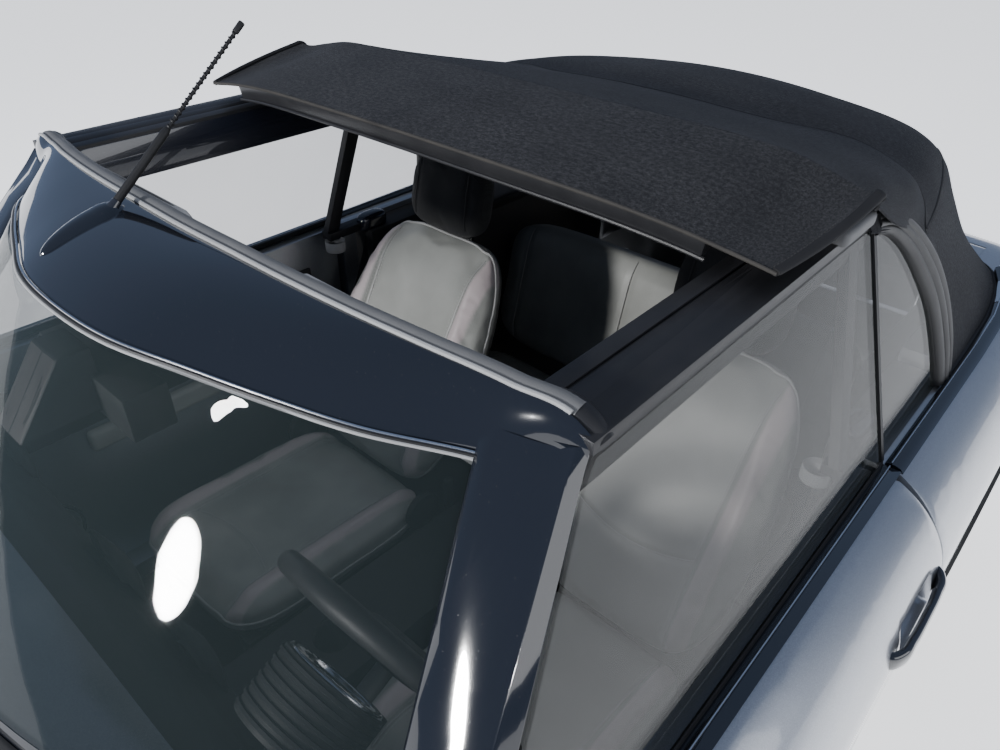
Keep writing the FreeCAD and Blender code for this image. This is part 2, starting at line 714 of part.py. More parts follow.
def gate_hinge(y, on_lid):
    """One half of an exposed barrel hinge below the tailgate."""
    x, z = GATE_HINGE_X, GATE_HINGE_Z
    if on_lid:
        eye = across(x, z, GATE_BARREL_RADIUS, y - 13.0, y + 13.0)
        leaf = box(x, TAIL_X + 12.0, y - 13.0, y + 13.0, z, z + 34.0)
        bore = across(x, z, GATE_PIN_RADIUS + RUNNING_GAP, y - 14.0, y + 14.0)
        return eye.fuse(leaf).cut(bore)
    pin = across(x, z, GATE_PIN_RADIUS, y - 30.0, y + 30.0)
    pieces = []
    for start in (y - 30.0, y + 15.0):
        pieces.append(across(x, z, GATE_BARREL_RADIUS, start, start + 15.0))
        pieces.append(box(x, TAIL_X + 12.0, start, start + 15.0, z - 34.0, z))
    return pin.fuse(pieces)


def rear_panels():
    behind = TAIL_X - 10.0
    inner_y = CABIN_HALF_WIDTH - 70.0
    side = FORM.common(box(behind, DOOR_REAR_X, inner_y, FAR, DOOR_BOTTOM_Z - PANEL_GAP, FAR))
    corner = FORM.common(box(behind, TAILGATE_TOP_X, TAILGATE_HALF_WIDTH + PANEL_GAP, inner_y + 10.0,
                             BUMPER_TOP_Z + 0.5, FAR))
    boot = box(TAIL_X + WALL, DECK_FRONT_X, 0.0, BOOT_HALF_WIDTH, FLOOR_TOP_Z, 905.0)
    cabin = box(SEAT_BULKHEAD_X + 150.0, DOOR_REAR_X + 1.0, 0.0, CABIN_HALF_WIDTH, FLOOR_TOP_Z, FAR)
    bumper_space = box(behind, TAILGATE_TOP_X, 0.0, FAR, 0.0, BUMPER_TOP_Z + 0.5)
    quarter = side.fuse(corner).cut([boot, cabin, bumper_space, tail_lamp_block()])
    quarter = less_wheels(quarter.cut(DOOR_OPENINGS))
    level = box(DECK_FRONT_X, FAR, -FAR, FAR, BELT_Z + 1.0, FAR + FAR)
    quarter = quarter.cut(level)
    save("rear_quarters", both_sides(quarter))

    bumper = FORM.common(box(behind, TAILGATE_TOP_X, -FAR, FAR, 0.0, BUMPER_TOP_Z))
    below = box(TAIL_X + WALL, TAILGATE_TOP_X + 1.0, -CABIN_HALF_WIDTH, CABIN_HALF_WIDTH, 0.0, 420.0)
    pipe_room = [tail_pipe(y, TAIL_PIPE_RADIUS + PANEL_GAP) for y in TAIL_PIPES_Y]
    bumper = less_wheels(bumper.cut([CORE, below] + pipe_room))
    low_y = GATE_HINGE_Y - 19.0
    high_y = GATE_HINGE_Y + 19.0
    lid_room = box(behind, TAIL_X + 30.0, low_y, high_y, GATE_HINGE_Z - 16.0, FAR)
    hinges = [gate_hinge(GATE_HINGE_Y, False), mirrored(gate_hinge(GATE_HINGE_Y, False))]
    bumper = bumper.cut([lid_room, mirrored(lid_room)]).fuse(hinges)
    save("rear_bumper", bumper)

    deck = FORM.common(box(TAILGATE_TOP_X + PANEL_GAP, DECK_FRONT_X, -inner_y, inner_y, 880.0, FAR))
    save("rear_deck", deck)

    half = TAILGATE_HALF_WIDTH
    gate = FORM.common(box(behind, TAILGATE_TOP_X, -half, half, BUMPER_TOP_Z + TAILGATE_GAP, FAR))
    gate = gate.cut(body_form(-GATE_THICKNESS))
    notch_top = GATE_HINGE_Z + GATE_BARREL_RADIUS + 5.0
    pin_room = GATE_PIN_RADIUS + RUNNING_GAP
    for y in (-GATE_HINGE_Y, GATE_HINGE_Y):
        for start in (y - 36.0, y + 13.0 + 0.5):
            notch = box(behind, TAIL_X + 20.0, start, start + 22.5, 0.0, notch_top)
            gate = gate.cut(notch)
        gate = gate.fuse(gate_hinge(y, True))
        gate = gate.cut(across(GATE_HINGE_X, GATE_HINGE_Z, pin_room, y - 40.0, y + 40.0))
    save("tailgate", gate)


def tail_pipe(y, radius):
    return rod((TAIL_X + 150.0, y, TAIL_PIPE_Z), (TAIL_X + 4.0, y, TAIL_PIPE_Z), radius)


def sills_and_arches():
    inner_y = CABIN_HALF_WIDTH - 50.0
    sill = FORM.common(box(REAR_AXLE_X, FRONT_AXLE_X, inner_y, FAR, 0.0, DOOR_BOTTOM_Z - PANEL_GAP))
    sill = less_wheels(sill)
    long_x, wide_y = JACK_PAD_SIZE
    for x in JACK_PADS_X:
        pad = box(x - long_x / 2, x + long_x / 2, JACK_PAD_Y - wide_y / 2, JACK_PAD_Y + wide_y / 2,
                  JACK_PAD_Z, UNDERSIDE_Z + 20.0)
        sill = sill.fuse(pad)
    save("sills", both_sides(sill))

    shell = body_form(ARCH_TRIM_STAND)
    trims = []
    for x in (FRONT_AXLE_X, REAR_AXLE_X):
        ring = across(x, TYRE_RADIUS, ARCH_RADIUS + ARCH_TRIM_WIDTH, WELL_SKIN_Y, FAR)
        ring = ring.cut(across(x, TYRE_RADIUS, ARCH_RADIUS, 0.0, FAR + 1.0))
        ring = ring.common(box(-2 * FAR, 2 * FAR, 0.0, FAR, UNDERSIDE_Z + 60.0, FAR))
        trims.append(ring.common(shell))
    save("wheel_arch_trims", Part.makeCompound(trims + [mirrored(trim) for trim in trims]))


def inner_structure():
    half = CABIN_HALF_WIDTH - 50.0
    floor = box(KICK_X, BULKHEAD_X + 60.0, -half, half, FLOOR_LOW_Z, FLOOR_TOP_Z)
    tunnel = box(KICK_X + 280.0, BULKHEAD_X - BULKHEAD_THICKNESS, -110.0, 110.0, FLOOR_TOP_Z, TUNNEL_TOP_Z)
    kick = box(KICK_X - 40.0, KICK_X, -BOOT_HALF_WIDTH, BOOT_HALF_WIDTH, FLOOR_LOW_Z, REAR_FLOOR_Z)
    boot_low = REAR_FLOOR_Z - 40.0
    rear = box(TAIL_X + WALL + 10.0, KICK_X, -BOOT_HALF_WIDTH, BOOT_HALF_WIDTH, boot_low, REAR_FLOOR_Z)
    pieces = [tunnel, kick, rear.common(CORE)]
    house_y = REAR_WELL_INNER_Y - 2.0
    for mirror_it in (False, True):
        leg = box(BULKHEAD_X, NOSE_X - 220.0, 380.0, 455.0, FLOOR_TOP_Z, 340.0).common(CORE)
        house = box(TAILGATE_TOP_X + 2.0, KICK_X, BOOT_HALF_WIDTH, house_y, boot_low, 880.0)
        house = house.common(CORE)
        for piece in (leg, house):
            pieces.append(mirrored(piece) if mirror_it else piece)
    pan = floor.fuse(pieces).removeSplitter()
    save("floor_pan", pan)

    side = BONNET_HALF_WIDTH + PANEL_GAP
    inner = box(BULKHEAD_X, NOSE_X - 360.0, 455.0, side, 300.0, 835.0)
    under = FORM.copy()
    under.translate(V(0, 0, -BONNET_THICKNESS - 10.0))
    inner = less_wheels(inner.common(under))
    save("inner_wings", both_sides(inner))

    rear_x = BULKHEAD_X - BULKHEAD_THICKNESS
    wall = box(rear_x, BULKHEAD_X, -half, half, FLOOR_TOP_Z, COWL_WELL_Z)
    cowl = box(DOOR_FRONT_X - 200.0, rear_x, -half, half, 900.0, FAR + FAR)
    shoulder = box(rear_x, BULKHEAD_X, half - 14.0, side, COWL_WELL_Z - 60.0, COWL_WELL_Z)
    post = box(470.0, rear_x, PILLAR_INNER_Y, CABIN_HALF_WIDTH - PANEL_GAP, DOOR_BOTTOM_Z - PANEL_GAP, FAR)
    post = post.fuse(box(370.0, 480.0, PILLAR_INNER_Y, CABIN_HALF_WIDTH - PANEL_GAP, 840.0, FAR))
    bulkhead = wall.fuse([cowl, post, mirrored(post), shoulder, mirrored(shoulder)]).common(FORM)
    bulkhead = bulkhead.cut(box(-FAR, DOOR_FRONT_X - 80.0, -PILLAR_INNER_Y, PILLAR_INNER_Y, 0.0, 930.0))
    lug = bonnet_hinge(BONNET_HINGE_Y, False)
    bulkhead = bulkhead.fuse([lug, mirrored(lug)]).cut(windscreen())
    save("bulkhead", bulkhead)
    front_carrier()
    return bulkhead


def front_carrier():
    front = NOSE_X - 220.0
    carrier = box(front, front + 50.0, -455.0, 455.0, FLOOR_TOP_Z, 740.0)
    carrier = carrier.cut(box(front - 1.0, front + 60.0, -330.0, 330.0, 350.0, 700.0))
    low_beam = box(front + 40.0, NOSE_X, -480.0, 480.0, INTAKE_TOP_Z + 15.0, INTAKE_TOP_Z + 85.0)
    low_z = NOSE_SPLIT_Z + 14.0
    top_beam = box(front + 40.0, NOSE_X, GRILLE_HALF_WIDTH + 20.0, 450.0, low_z, low_z + 46.0)
    carrier = carrier.fuse([low_beam, top_beam, mirrored(top_beam)]).common(CORE)
    lamp_room = rod((0.0, LAMP_Y, LAMP_Z), (FAR + FAR, LAMP_Y, LAMP_Z), LAMP_RADIUS + 2.0)
    save("front_carrier", carrier.cut([lamp_room, mirrored(lamp_room)]))


# Windscreen, header and pillars

def screen_arc(reach, inset):
    """Arc across the car through a centre point and two ends, moved inwards by an inset."""
    centre_x, end_y, end_x, centre_z, end_z = reach
    inward = V(end_x - centre_x, 0, end_z - centre_z)
    inward.normalize()
    middle = V(centre_x, 0, centre_z) + inward * inset
    end = V(end_x, end_y, end_z) + inward * inset
    start = V(end.x, -end_y, end.z)
    return Part.Arc(start, middle, end).toShape()


def screen_wire(reach, outset, inset):
    outer = screen_arc(reach, -outset)
    inner = screen_arc(reach, inset)
    first = outer.Vertexes[0].Point
    last = outer.Vertexes[-1].Point
    near = inner.Vertexes[0].Point
    far = inner.Vertexes[-1].Point
    return Part.Wire([
        outer,
        Part.LineSegment(last, far).toShape(),
        inner,
        Part.LineSegment(near, first).toShape(),
    ])


def screen_layer(low_share, top_share, outset, inset):
    """A layer of the windscreen between two shares of its height, from an outset to an inset."""
    wires = []
    for share in (low_share, top_share):
        reach = [foot + (top - foot) * share for foot, top in zip(SCREEN_FOOT, SCREEN_TOP)]
        wires.append(screen_wire(reach, outset, inset))
    return Part.makeLoft(wires, True, True)


def windscreen():
    return screen_layer(0.0, 1.0, 0.0, SCREEN_THICKNESS)


def header_section(station, side):
    y, front_x, front_z, crest_x, crest_z, rear_x, rear_z = station
    y = side * y
    front = V(front_x, y, front_z + 1.0)
    rear = V(rear_x, y, rear_z)
    edges = [Part.Arc(front, V(crest_x, y, crest_z), rear).toShape()]
    corners = (rear, V(rear_x - 6.0, y, rear_z - HEADER_DEPTH), V(front_x - 20.0, y, front_z - 12.0), front)
    for start, end in zip(corners, corners[1:]):
        edges.append(Part.LineSegment(start, end).toShape())
    return Part.Wire(edges)


def pillar_section(corners, z, shift_x=0.0, shift_y=0.0):
    points = [V(x + shift_x, y + shift_y, z) for x, y in corners]
    face = points[1] - points[0]
    outward = V(-face.y, face.x, 0) * (-PILLAR_BULGE / face.Length)
    edges = [Part.Arc(points[0], (points[0] + points[1]) * 0.5 + outward, points[1]).toShape()]
    for start, end in zip(points[1:], points[2:] + points[:1]):
        edges.append(Part.LineSegment(start, end).toShape())
    return Part.Wire(edges)


def windscreen_frame():
    right = [header_section(station, -1.0) for station in reversed(HEADER_STATIONS) if station[0] > 0.0]
    left = [header_section(station, 1.0) for station in HEADER_STATIONS]
    header = Part.makeLoft(right + left, True, False)
    upper = pillar_section(PILLAR_TOP, PILLAR_TOP_Z)
    cap = pillar_section(PILLAR_TOP, PILLAR_TOP_Z + 22.0, -18.0, -5.0)
    pillar = Part.makeLoft([pillar_section(PILLAR_FOOT, PILLAR_FOOT_Z), upper], True, True)
    pillar = pillar.fuse(Part.makeLoft([upper, cap], True, True))
    return header.fuse([pillar, mirrored(pillar)])


# Side and rear glass of the soft top, its outer and inner form


def soft_top_section(station, inset):
    x, belt, side_y, side_z, shoulder_y, shoulder_z, edge_y, edge_z, crown = station
    depth = SOFT_TOP_STATIONS[-1][0] - SOFT_TOP_FRONT_X
    x = x + inset * (x - SOFT_TOP_FRONT_X) / depth
    foot = V(x, belt - inset, BELT_Z + 1.0)
    side = V(x, side_y - inset, side_z - 0.4 * inset)
    shoulder = V(x, shoulder_y - 0.8 * inset, shoulder_z - 0.7 * inset)
    edge = V(x, edge_y - 0.3 * inset, edge_z - inset)
    waist = (foot + side) * 0.5 + V(0, SOFT_TOP_SIDE_BULGE, 0)
    left = ((foot, waist, side), (side, shoulder, edge))

    def flipped(point):
        return V(point.x, -point.y, point.z)

    edges = [Part.LineSegment(flipped(foot), foot).toShape()]
    for start, middle, end in left:
        edges.append(Part.Arc(start, middle, end).toShape())
    edges.append(Part.Arc(edge, V(x, 0, crown - inset), flipped(edge)).toShape())
    for start, middle, end in reversed(left):
        edges.append(Part.Arc(flipped(end), flipped(middle), flipped(start)).toShape())
    return Part.Wire(edges)


def soft_top_form(inset):
    return Part.makeLoft([soft_top_section(station, inset) for station in SOFT_TOP_STATIONS], True, False)


def soft_top_parts():
    outer = soft_top_form(0.0)
    inner = soft_top_form(SOFT_TOP_SKIN)
    shell = outer.cut(inner)
    front_open = box(SOFT_TOP_FRONT_X - 10.0, SOFT_TOP_FRONT_X + 10.0, -540.0, 540.0, 900.0, 1330.0)
    hole = side_prism(QUARTER_GLASS_OUTLINE, 450.0, FAR)
    window_hole = box(-FAR - FAR, -1300.0, -REAR_WINDOW_HALF_WIDTH, REAR_WINDOW_HALF_WIDTH,
                      REAR_WINDOW_LOW_Z, REAR_WINDOW_TOP_Z)
    rail_space = box(RAIL_REAR_X - 1.0, 0.0, RAIL_INNER_Y - 1.0, RAIL_LIP_Y, 1100.0, RAIL_TOP_Z + 1.0)
    pane_x = QUARTER_GLASS_OUTLINE[0][0] + 4.0
    door_side = box(pane_x, 0.0, RAIL_INNER_Y - 20.0, FAR, 800.0, RAIL_TOP_Z + 1.0)
    spaces = [hole, rail_space, door_side]
    spaces += [mirrored(space) for space in spaces]
    shell = shell.cut(spaces + [window_hole, front_open, FORM])
    shell = max(shell.Solids, key=lambda solid: solid.Volume)
    quarter = side_glass(QUARTER_GLASS_OUTLINE)
    quarters = [quarter, mirrored(quarter)]
    shell = shell.cut(quarters)
    save("soft_top", shell)
    pane = outer.cut(soft_top_form(GLASS_THICKNESS)).common(window_hole)
    save("rear_window", pane)
    save("quarter_windows", Part.makeCompound(quarters))
    return inner


def roof_frame(inner_form):
    rear = RAIL_REAR_X
    section = (
        (RAIL_INNER_Y, RAIL_BOTTOM_Z),
        (RAIL_INNER_Y, RAIL_TOP_Z - 2.0),
        (RAIL_OUTER_Y - 12.0, RAIL_TOP_Z),
        (RAIL_LIP_Y, RAIL_TOP_Z - 3.0),
        (RAIL_LIP_Y, RAIL_LIP_Z),
        (RAIL_OUTER_Y, RAIL_LIP_Z),
        (RAIL_OUTER_Y, RAIL_BOTTOM_Z),
    )
    rail = polygon_face([(rear, y, z) for y, z in section]).extrude(V(RAIL_FRONT_X - rear, 0, 0))
    slope = SLIDE_DROP / SLIDE_TRAVEL
    floor_z = RAIL_TOP_Z - 14.0
    slot = side_prism(
        (
            (PANEL_REAR_X - 10.0, floor_z),
            (RAIL_FRONT_X, floor_z - slope * (RAIL_FRONT_X - PANEL_REAR_X + 10.0)),
            (RAIL_FRONT_X, RAIL_TOP_Z + 10.0),
            (PANEL_REAR_X - 10.0, RAIL_TOP_Z + 10.0),
        ),
        SLIDE_SLOT_Y - SLIDE_SLOT_WIDTH / 2,
        SLIDE_SLOT_Y + SLIDE_SLOT_WIDTH / 2,
    )
    rail = rail.cut(slot)
    pieces = [rail, mirrored(rail)]
    for x, drop in ((RAIL_REAR_X + 20.0, FRONT_BOW_DROP), (REAR_BOW_X, 0.0)):
        form = inner_form.copy()
        form.translate(V(0, 0, -drop))
        below = inner_form.copy()
        below.translate(V(0, 0, -drop - BOW_DEPTH))
        half = LINK_INNER_Y + LINK_WIDTH
        bow = box(x - BOW_DEPTH, x + BOW_DEPTH, -half, half, LINK_LOW_Z, FAR + FAR)
        pieces.append(bow.common(form).cut(below))
    link_end = LINK_INNER_Y + LINK_WIDTH
    link_x = REAR_BOW_X - BOW_DEPTH
    link = box(link_x, RAIL_REAR_X + 30.0, LINK_INNER_Y, link_end, LINK_LOW_Z, LINK_LOW_Z + 25.0)
    for post_x, top in ((RAIL_REAR_X + 15.0, RAIL_BOTTOM_Z + 30.0), (REAR_BOW_X, LINK_LOW_Z + 45.0)):
        post = box(post_x - 15.0, post_x + 15.0, LINK_INNER_Y, link_end, LINK_LOW_Z, top)
        link = link.fuse(post.common(inner_form))
    pieces += [link, mirrored(link)]
    pieces += [pillar_link(), mirrored(pillar_link())]
    frame = pieces[0].fuse(pieces[1:])
    return frame


def pillar_link():
    """The roof frame's side link, from the rear end of a rail down to its foot on the side lining."""
    sections = []
    square = ((-18.0, -9.0), (18.0, -9.0), (18.0, 9.0), (-18.0, 9.0))
    for x, y, z in PILLAR_LINK:
        corners = [V(x + dx, y + dy, z) for dx, dy in square]
        sections.append(Part.makePolygon(corners + corners[:1]))
    low_x, low_y, low_z = PILLAR_LINK[0]
    foot = box(low_x - 130.0, low_x + 18.0, low_y - 20.0, low_y + 14.0, BELT_Z - 12.0, low_z + 2.0)
    return Part.makeLoft(sections, True, True).fuse(foot)


def roof_panel():
    stations = []
    for y, front_x, front_z, crease_x, crease_z, rear_z in ROOF_PANEL_STATIONS:
        depth = ROOF_PANEL_DEPTH if y < 450.0 else ROOF_PANEL_RAIL_DEPTH
        depth = depth if y < 560.0 else ROOF_PANEL_HEM_DEPTH
        stations.append((y, (
            (front_x - 14.0, front_z - depth),
            (front_x, front_z),
            (crease_x, crease_z),
            (PANEL_REAR_X, rear_z),
            (PANEL_REAR_X, rear_z - depth),
        )))
    right = [(-y, outline) for y, outline in reversed(stations) if y > 0.0]
    panel = cross_loft(right + stations, True)
    slope = SLIDE_DROP / SLIDE_TRAVEL
    feet = []
    for x, top in ((-330.0, 1396.0), (-520.0, 1420.0)):
        floor_z = RAIL_TOP_Z - 14.0 - slope * (x - 15.0 - PANEL_REAR_X + 10.0)
        foot = box(x - 15.0, x + 15.0, SLIDE_SLOT_Y - 5.0, SLIDE_SLOT_Y + 5.0, floor_z + RUNNING_GAP, top)
        feet += [foot, mirrored(foot)]
    return panel.fuse(feet)


def header_fittings(screen, frame):
    seal_stations = []
    for y, _, _, _, _, rear_x, rear_z in HEADER_STATIONS:
        half = y * 0.985
        seal_stations.append((half, (
            (rear_x - 0.5, rear_z - 30.0),
            (rear_x + 1.0, rear_z - 4.0),
            (rear_x - 12.0, rear_z + 4.0),
            (rear_x - 30.0, rear_z - 8.0),
            (rear_x - 30.0, rear_z - 30.0),
        )))
    right = [(-y, outline) for y, outline in reversed(seal_stations) if y > 0.0]
    seal = cross_loft(right + seal_stations).cut(frame)
    seal = max(seal.Solids, key=lambda solid: solid.Volume)
    save("header_seal", seal)
    visor = box(54.0, 76.0, 130.0, 470.0, 1205.0, 1330.0)
    visor = visor.makeFillet(8.0, visor.Edges)
    arms = [rod((65.0, y, 1320.0), (150.0, y, 1332.0), 5.0) for y in (150.0, 440.0)]
    visor = visor.fuse(arms).cut(frame)
    visor = max(visor.Solids, key=lambda solid: solid.Volume)
    save("sun_visors", both_sides(visor))
    rod_tip = V(-46.0, -100.0, 1583.0)
    foot = V(196.0, -105.0, 1372.0)
    base = Part.makeCone(52.0, 12.0, 34.0, V(205.0, -105.0, 1356.0), V(-0.15, 0, 1))
    along = rod_tip - foot
    lower = Part.makeCylinder(6.0, along.Length * 0.45, foot, along)
    upper = Part.makeCylinder(3.4, along.Length, foot, along)
    antenna = base.fuse([lower, upper]).cut(frame)
    save("antenna", max(antenna.Solids, key=lambda solid: solid.Volume))
    housing = box(300.0, 420.0, -34.0, 34.0, 1215.0, 1300.0)
    housing = housing.cut(screen_layer(0.0, 1.0, 200.0, SCREEN_THICKNESS))
    mirror_arm = box(255.0, 310.0, -110.0, 110.0, 1205.0, 1265.0)
    save("inside_mirror", housing.fuse(mirror_arm))
    return seal


# Cabin

def seat(side_y):
    cushion = rounded_prism(SEAT_CUSHION, side_y - SEAT_HALF_WIDTH, side_y + SEAT_HALF_WIDTH)
    back = rounded_prism(SEAT_BACK, side_y - SEAT_BACK_HALF_WIDTH, side_y + SEAT_BACK_HALF_WIDTH)
    head = rounded_prism(HEAD_REST, side_y - HEAD_REST_HALF_WIDTH, side_y + HEAD_REST_HALF_WIDTH)
    parts = [back, head]
    for dy in (-60.0, 60.0):
        parts.append(rod((-690.0, side_y + dy, 960.0), (-700.0, side_y + dy, 1060.0), 7.0))
    for dy in (-180.0, 180.0):
        middle = side_y + dy
        parts.append(box(-300.0, 140.0, middle - 20.0, middle + 20.0, FLOOR_TOP_Z, 385.0))
    return cushion.fuse(parts)


def cabin(column):
    save("front_seats", Part.makeCompound([seat(370.0), seat(-370.0)]))
    half = BOOT_HALF_WIDTH - 6.0
    bench = rounded_prism(REAR_BENCH, -half, half)
    save("rear_seat", bench.fuse(rounded_prism(REAR_REST, -half, half)))
    dash_half = PILLAR_INNER_Y - 2.0
    save("dashboard", rounded_prism(DASHBOARD, -dash_half, dash_half).cut(column))
    save("centre_console", rounded_prism(CONSOLE, -CONSOLE_HALF_WIDTH, CONSOLE_HALF_WIDTH))
    lining = box(KICK_X + 5.0, -640.0, CABIN_HALF_WIDTH - 72.0, CABIN_HALF_WIDTH, 300.0, BELT_Z - 12.0)
    lining = lining.cut(across(REAR_AXLE_X, TYRE_RADIUS, WELL_RADIUS + 12.0, 0.0, FAR))
    save("cabin_side_linings", both_sides(lining))


# Steering


def steering():
    tilt = math.radians(COLUMN_TILT)
    along = V(math.cos(tilt), 0, -math.sin(tilt))
    centre = V(*WHEEL_CENTRE)
    rim = Part.makeTorus(STEERING_WHEEL_RADIUS, STEERING_RIM_RADIUS, centre, along)
    hub = Part.makeCylinder(58.0, 52.0, centre - along * 22.0, along)
    spokes = []
    for angle in (0.0, 180.0, 270.0):
        radial = V(0, 1, 0)
        turned = FreeCAD.Rotation(along, angle).multVec(radial)
        spoke = Part.makeCylinder(13.0, STEERING_WHEEL_RADIUS, centre, turned)
        spokes.append(spoke)
    shaft = Part.makeCylinder(14.0, 80.0, centre + along * 20.0, along)
    save("steering_wheel", rim.fuse([hub, shaft] + spokes))
    start = centre + along * 70.0
    cover = Part.makeCylinder(44.0, 190.0, start, along)
    bore = Part.makeCylinder(14.0 + RUNNING_GAP, 40.0, start - along * 1.0, along)
    pod_centre = centre + along * 105.0 + V(0, 0, 88.0)
    pod = Part.makeCylinder(76.0, 88.0, pod_centre, along)
    stem = Part.makeCylinder(26.0, 60.0, pod_centre + along * 44.0 - V(0, 0, 88.0), V(0, 0, 1))
    column = cover.fuse([pod, stem]).cut(bore)
    save("steering_column", column)
    return column


# Running gear

def tyre():
    half = TYRE_WIDTH / 2
    profile = [
        V(RIM_RADIUS, half - 12.0, 0),
        V(RIM_RADIUS + 30.0, half, 0),
        V(TYRE_RADIUS - 22.0, half - 2.0, 0),
        V(TYRE_RADIUS - 3.0, half - 22.0, 0),
        V(TYRE_RADIUS, 0.0, 0),
    ]
    profile += [V(point.x, -point.y, 0) for point in reversed(profile[:-1])]
    face = Part.Face(Part.makePolygon(profile + profile[:1]))
    return face.revolve(V(0, 0, 0), V(0, 1, 0), 360)


def rim():
    half = TYRE_WIDTH / 2 - 12.0
    barrel = across(0.0, 0.0, RIM_RADIUS, -half, half)
    barrel = barrel.cut(across(0.0, 0.0, RIM_RADIUS - 14.0, -half - 1.0, half + 1.0))
    hub = Part.makeCylinder(HUB_RADIUS, 62.0, V(0, 8.0, 0), V(0, 1, 0))
    pieces = [hub]
    for i in range(SPOKES):
        for spread in (-13.0, 13.0):
            angle = math.radians(360.0 / SPOKES * i + spread)
            spoke = Part.makeBox(RIM_RADIUS - 8.0, 22.0, 24.0, V(0, 40.0, -12.0))
            spoke.rotate(V(0, 0, 0), V(0, 1, 0), math.degrees(angle))
            pieces.append(spoke)
    wheel = barrel.fuse(pieces)
    bore = Part.makeCylinder(SPINDLE_RADIUS + RUNNING_GAP, 60.0, V(0, 0.0, 0), V(0, 1, 0))
    return wheel.cut(bore)


def placed_wheel(shape, x, side):
    wheel = shape.copy() if side > 0 else mirrored(shape)
    wheel.translate(V(x, side * HALF_TRACK, TYRE_RADIUS))
    return wheel


def wheels():
    for name, x, side in (
        ("front_left", FRONT_AXLE_X, 1), ("front_right", FRONT_AXLE_X, -1),
        ("rear_left", REAR_AXLE_X, 1), ("rear_right", REAR_AXLE_X, -1),
    ):
        save("tyre_" + name, placed_wheel(tyre(), x, side))
        save("rim_" + name, placed_wheel(rim(), x, side))


def knuckle():
    x = FRONT_AXLE_X
    low = TYRE_RADIUS - KNUCKLE_HALF_HEIGHT
    top = TYRE_RADIUS + KNUCKLE_HALF_HEIGHT
    upright = box(x - 40.0, x + 40.0, KINGPIN_Y - 30.0, KINGPIN_Y + 26.0, low, top)
    spindle = across(x, TYRE_RADIUS, SPINDLE_RADIUS, KINGPIN_Y + 20.0, HALF_TRACK + 50.0)
    socket = rod((x, KINGPIN_Y, low - 1.0), (x, KINGPIN_Y, top + 1.0), KINGPIN_RADIUS + RUNNING_GAP)
    return upright.cut(socket).fuse(spindle)


def suspension():
    x = FRONT_AXLE_X
    low = TYRE_RADIUS - KNUCKLE_HALF_HEIGHT
    top = TYRE_RADIUS + KNUCKLE_HALF_HEIGHT
    cross = box(x - 150.0, x + 110.0, -460.0, 460.0, 165.0, 250.0)
    pieces = [cross]
    for side in (-1, 1):
        arm = box(x - 36.0, x + 36.0, 440.0, KINGPIN_Y + 22.0, low - 30.0, low - 5.0)
        pin = rod((x, KINGPIN_Y, low - 10.0), (x, KINGPIN_Y, low + 60.0), KINGPIN_RADIUS)
        upper = box(x - 22.0, x + 22.0, FRONT_WELL_INNER_Y, KINGPIN_Y + 20.0, top + 5.0, top + 25.0)
        upper_pin = rod((x, KINGPIN_Y, top - 60.0), (x, KINGPIN_Y, top + 10.0), KINGPIN_RADIUS)
        spring = rod((x, 560.0, low - 10.0), (x, 560.0, WELL_RADIUS + TYRE_RADIUS - 2.0), 34.0)
        for piece in (arm, pin, upper, upper_pin, spring):
            pieces.append(piece if side > 0 else mirrored(piece))
    save("front_subframe", pieces[0].fuse(pieces[1:]))
    x = REAR_AXLE_X
    beam = across(x, TYRE_RADIUS, SPINDLE_RADIUS, -HALF_TRACK - 50.0, HALF_TRACK + 50.0)
    tube = across(x, TYRE_RADIUS, 42.0, -REAR_WELL_INNER_Y + 5.0, REAR_WELL_INNER_Y - 5.0)
    pieces = [tube]
    for side in (-1, 1):
        arm = box(x, KICK_X - 40.0, 500.0, 550.0, TYRE_RADIUS - 40.0, TYRE_RADIUS + 40.0)
        coil = rod((x, 450.0, TYRE_RADIUS), (x, 450.0, REAR_FLOOR_Z - 40.0), 50.0)
        disc = across(x, TYRE_RADIUS, 60.0, REAR_WELL_INNER_Y, HALF_TRACK - 10.0)
        for piece in (arm, coil, disc):
            pieces.append(piece if side > 0 else mirrored(piece))
    save("rear_axle", beam.fuse(pieces))


def underbody():
    block = box(FRONT_AXLE_X - 250.0, FRONT_AXLE_X + 300.0, -380.0, 380.0, 262.0, 790.0)
    upper_edges = [edge for edge in block.Edges if edge.CenterOfMass.z > 600.0]
    save("engine_block", block.makeFillet(25.0, upper_edges))
    line_z = FLOOR_LOW_Z - 26.0
    pipe = rod((800.0, -150.0, line_z), (-1000.0, -150.0, line_z), 24.0)
    silencer = box(-1780.0, -1450.0, -350.0, 350.0, 200.0, REAR_FLOOR_Z - 40.5)
    silencer = silencer.makeFillet(30.0, [edge for edge in silencer.Edges if edge.CenterOfMass.z < 300.0])
    link = rod((-1000.0, -150.0, line_z), (-1460.0, -150.0, 250.0), 24.0)
    tails = [tail_pipe(y, TAIL_PIPE_RADIUS) for y in TAIL_PIPES_Y]
    save("exhaust", silencer.fuse([pipe, link] + tails))


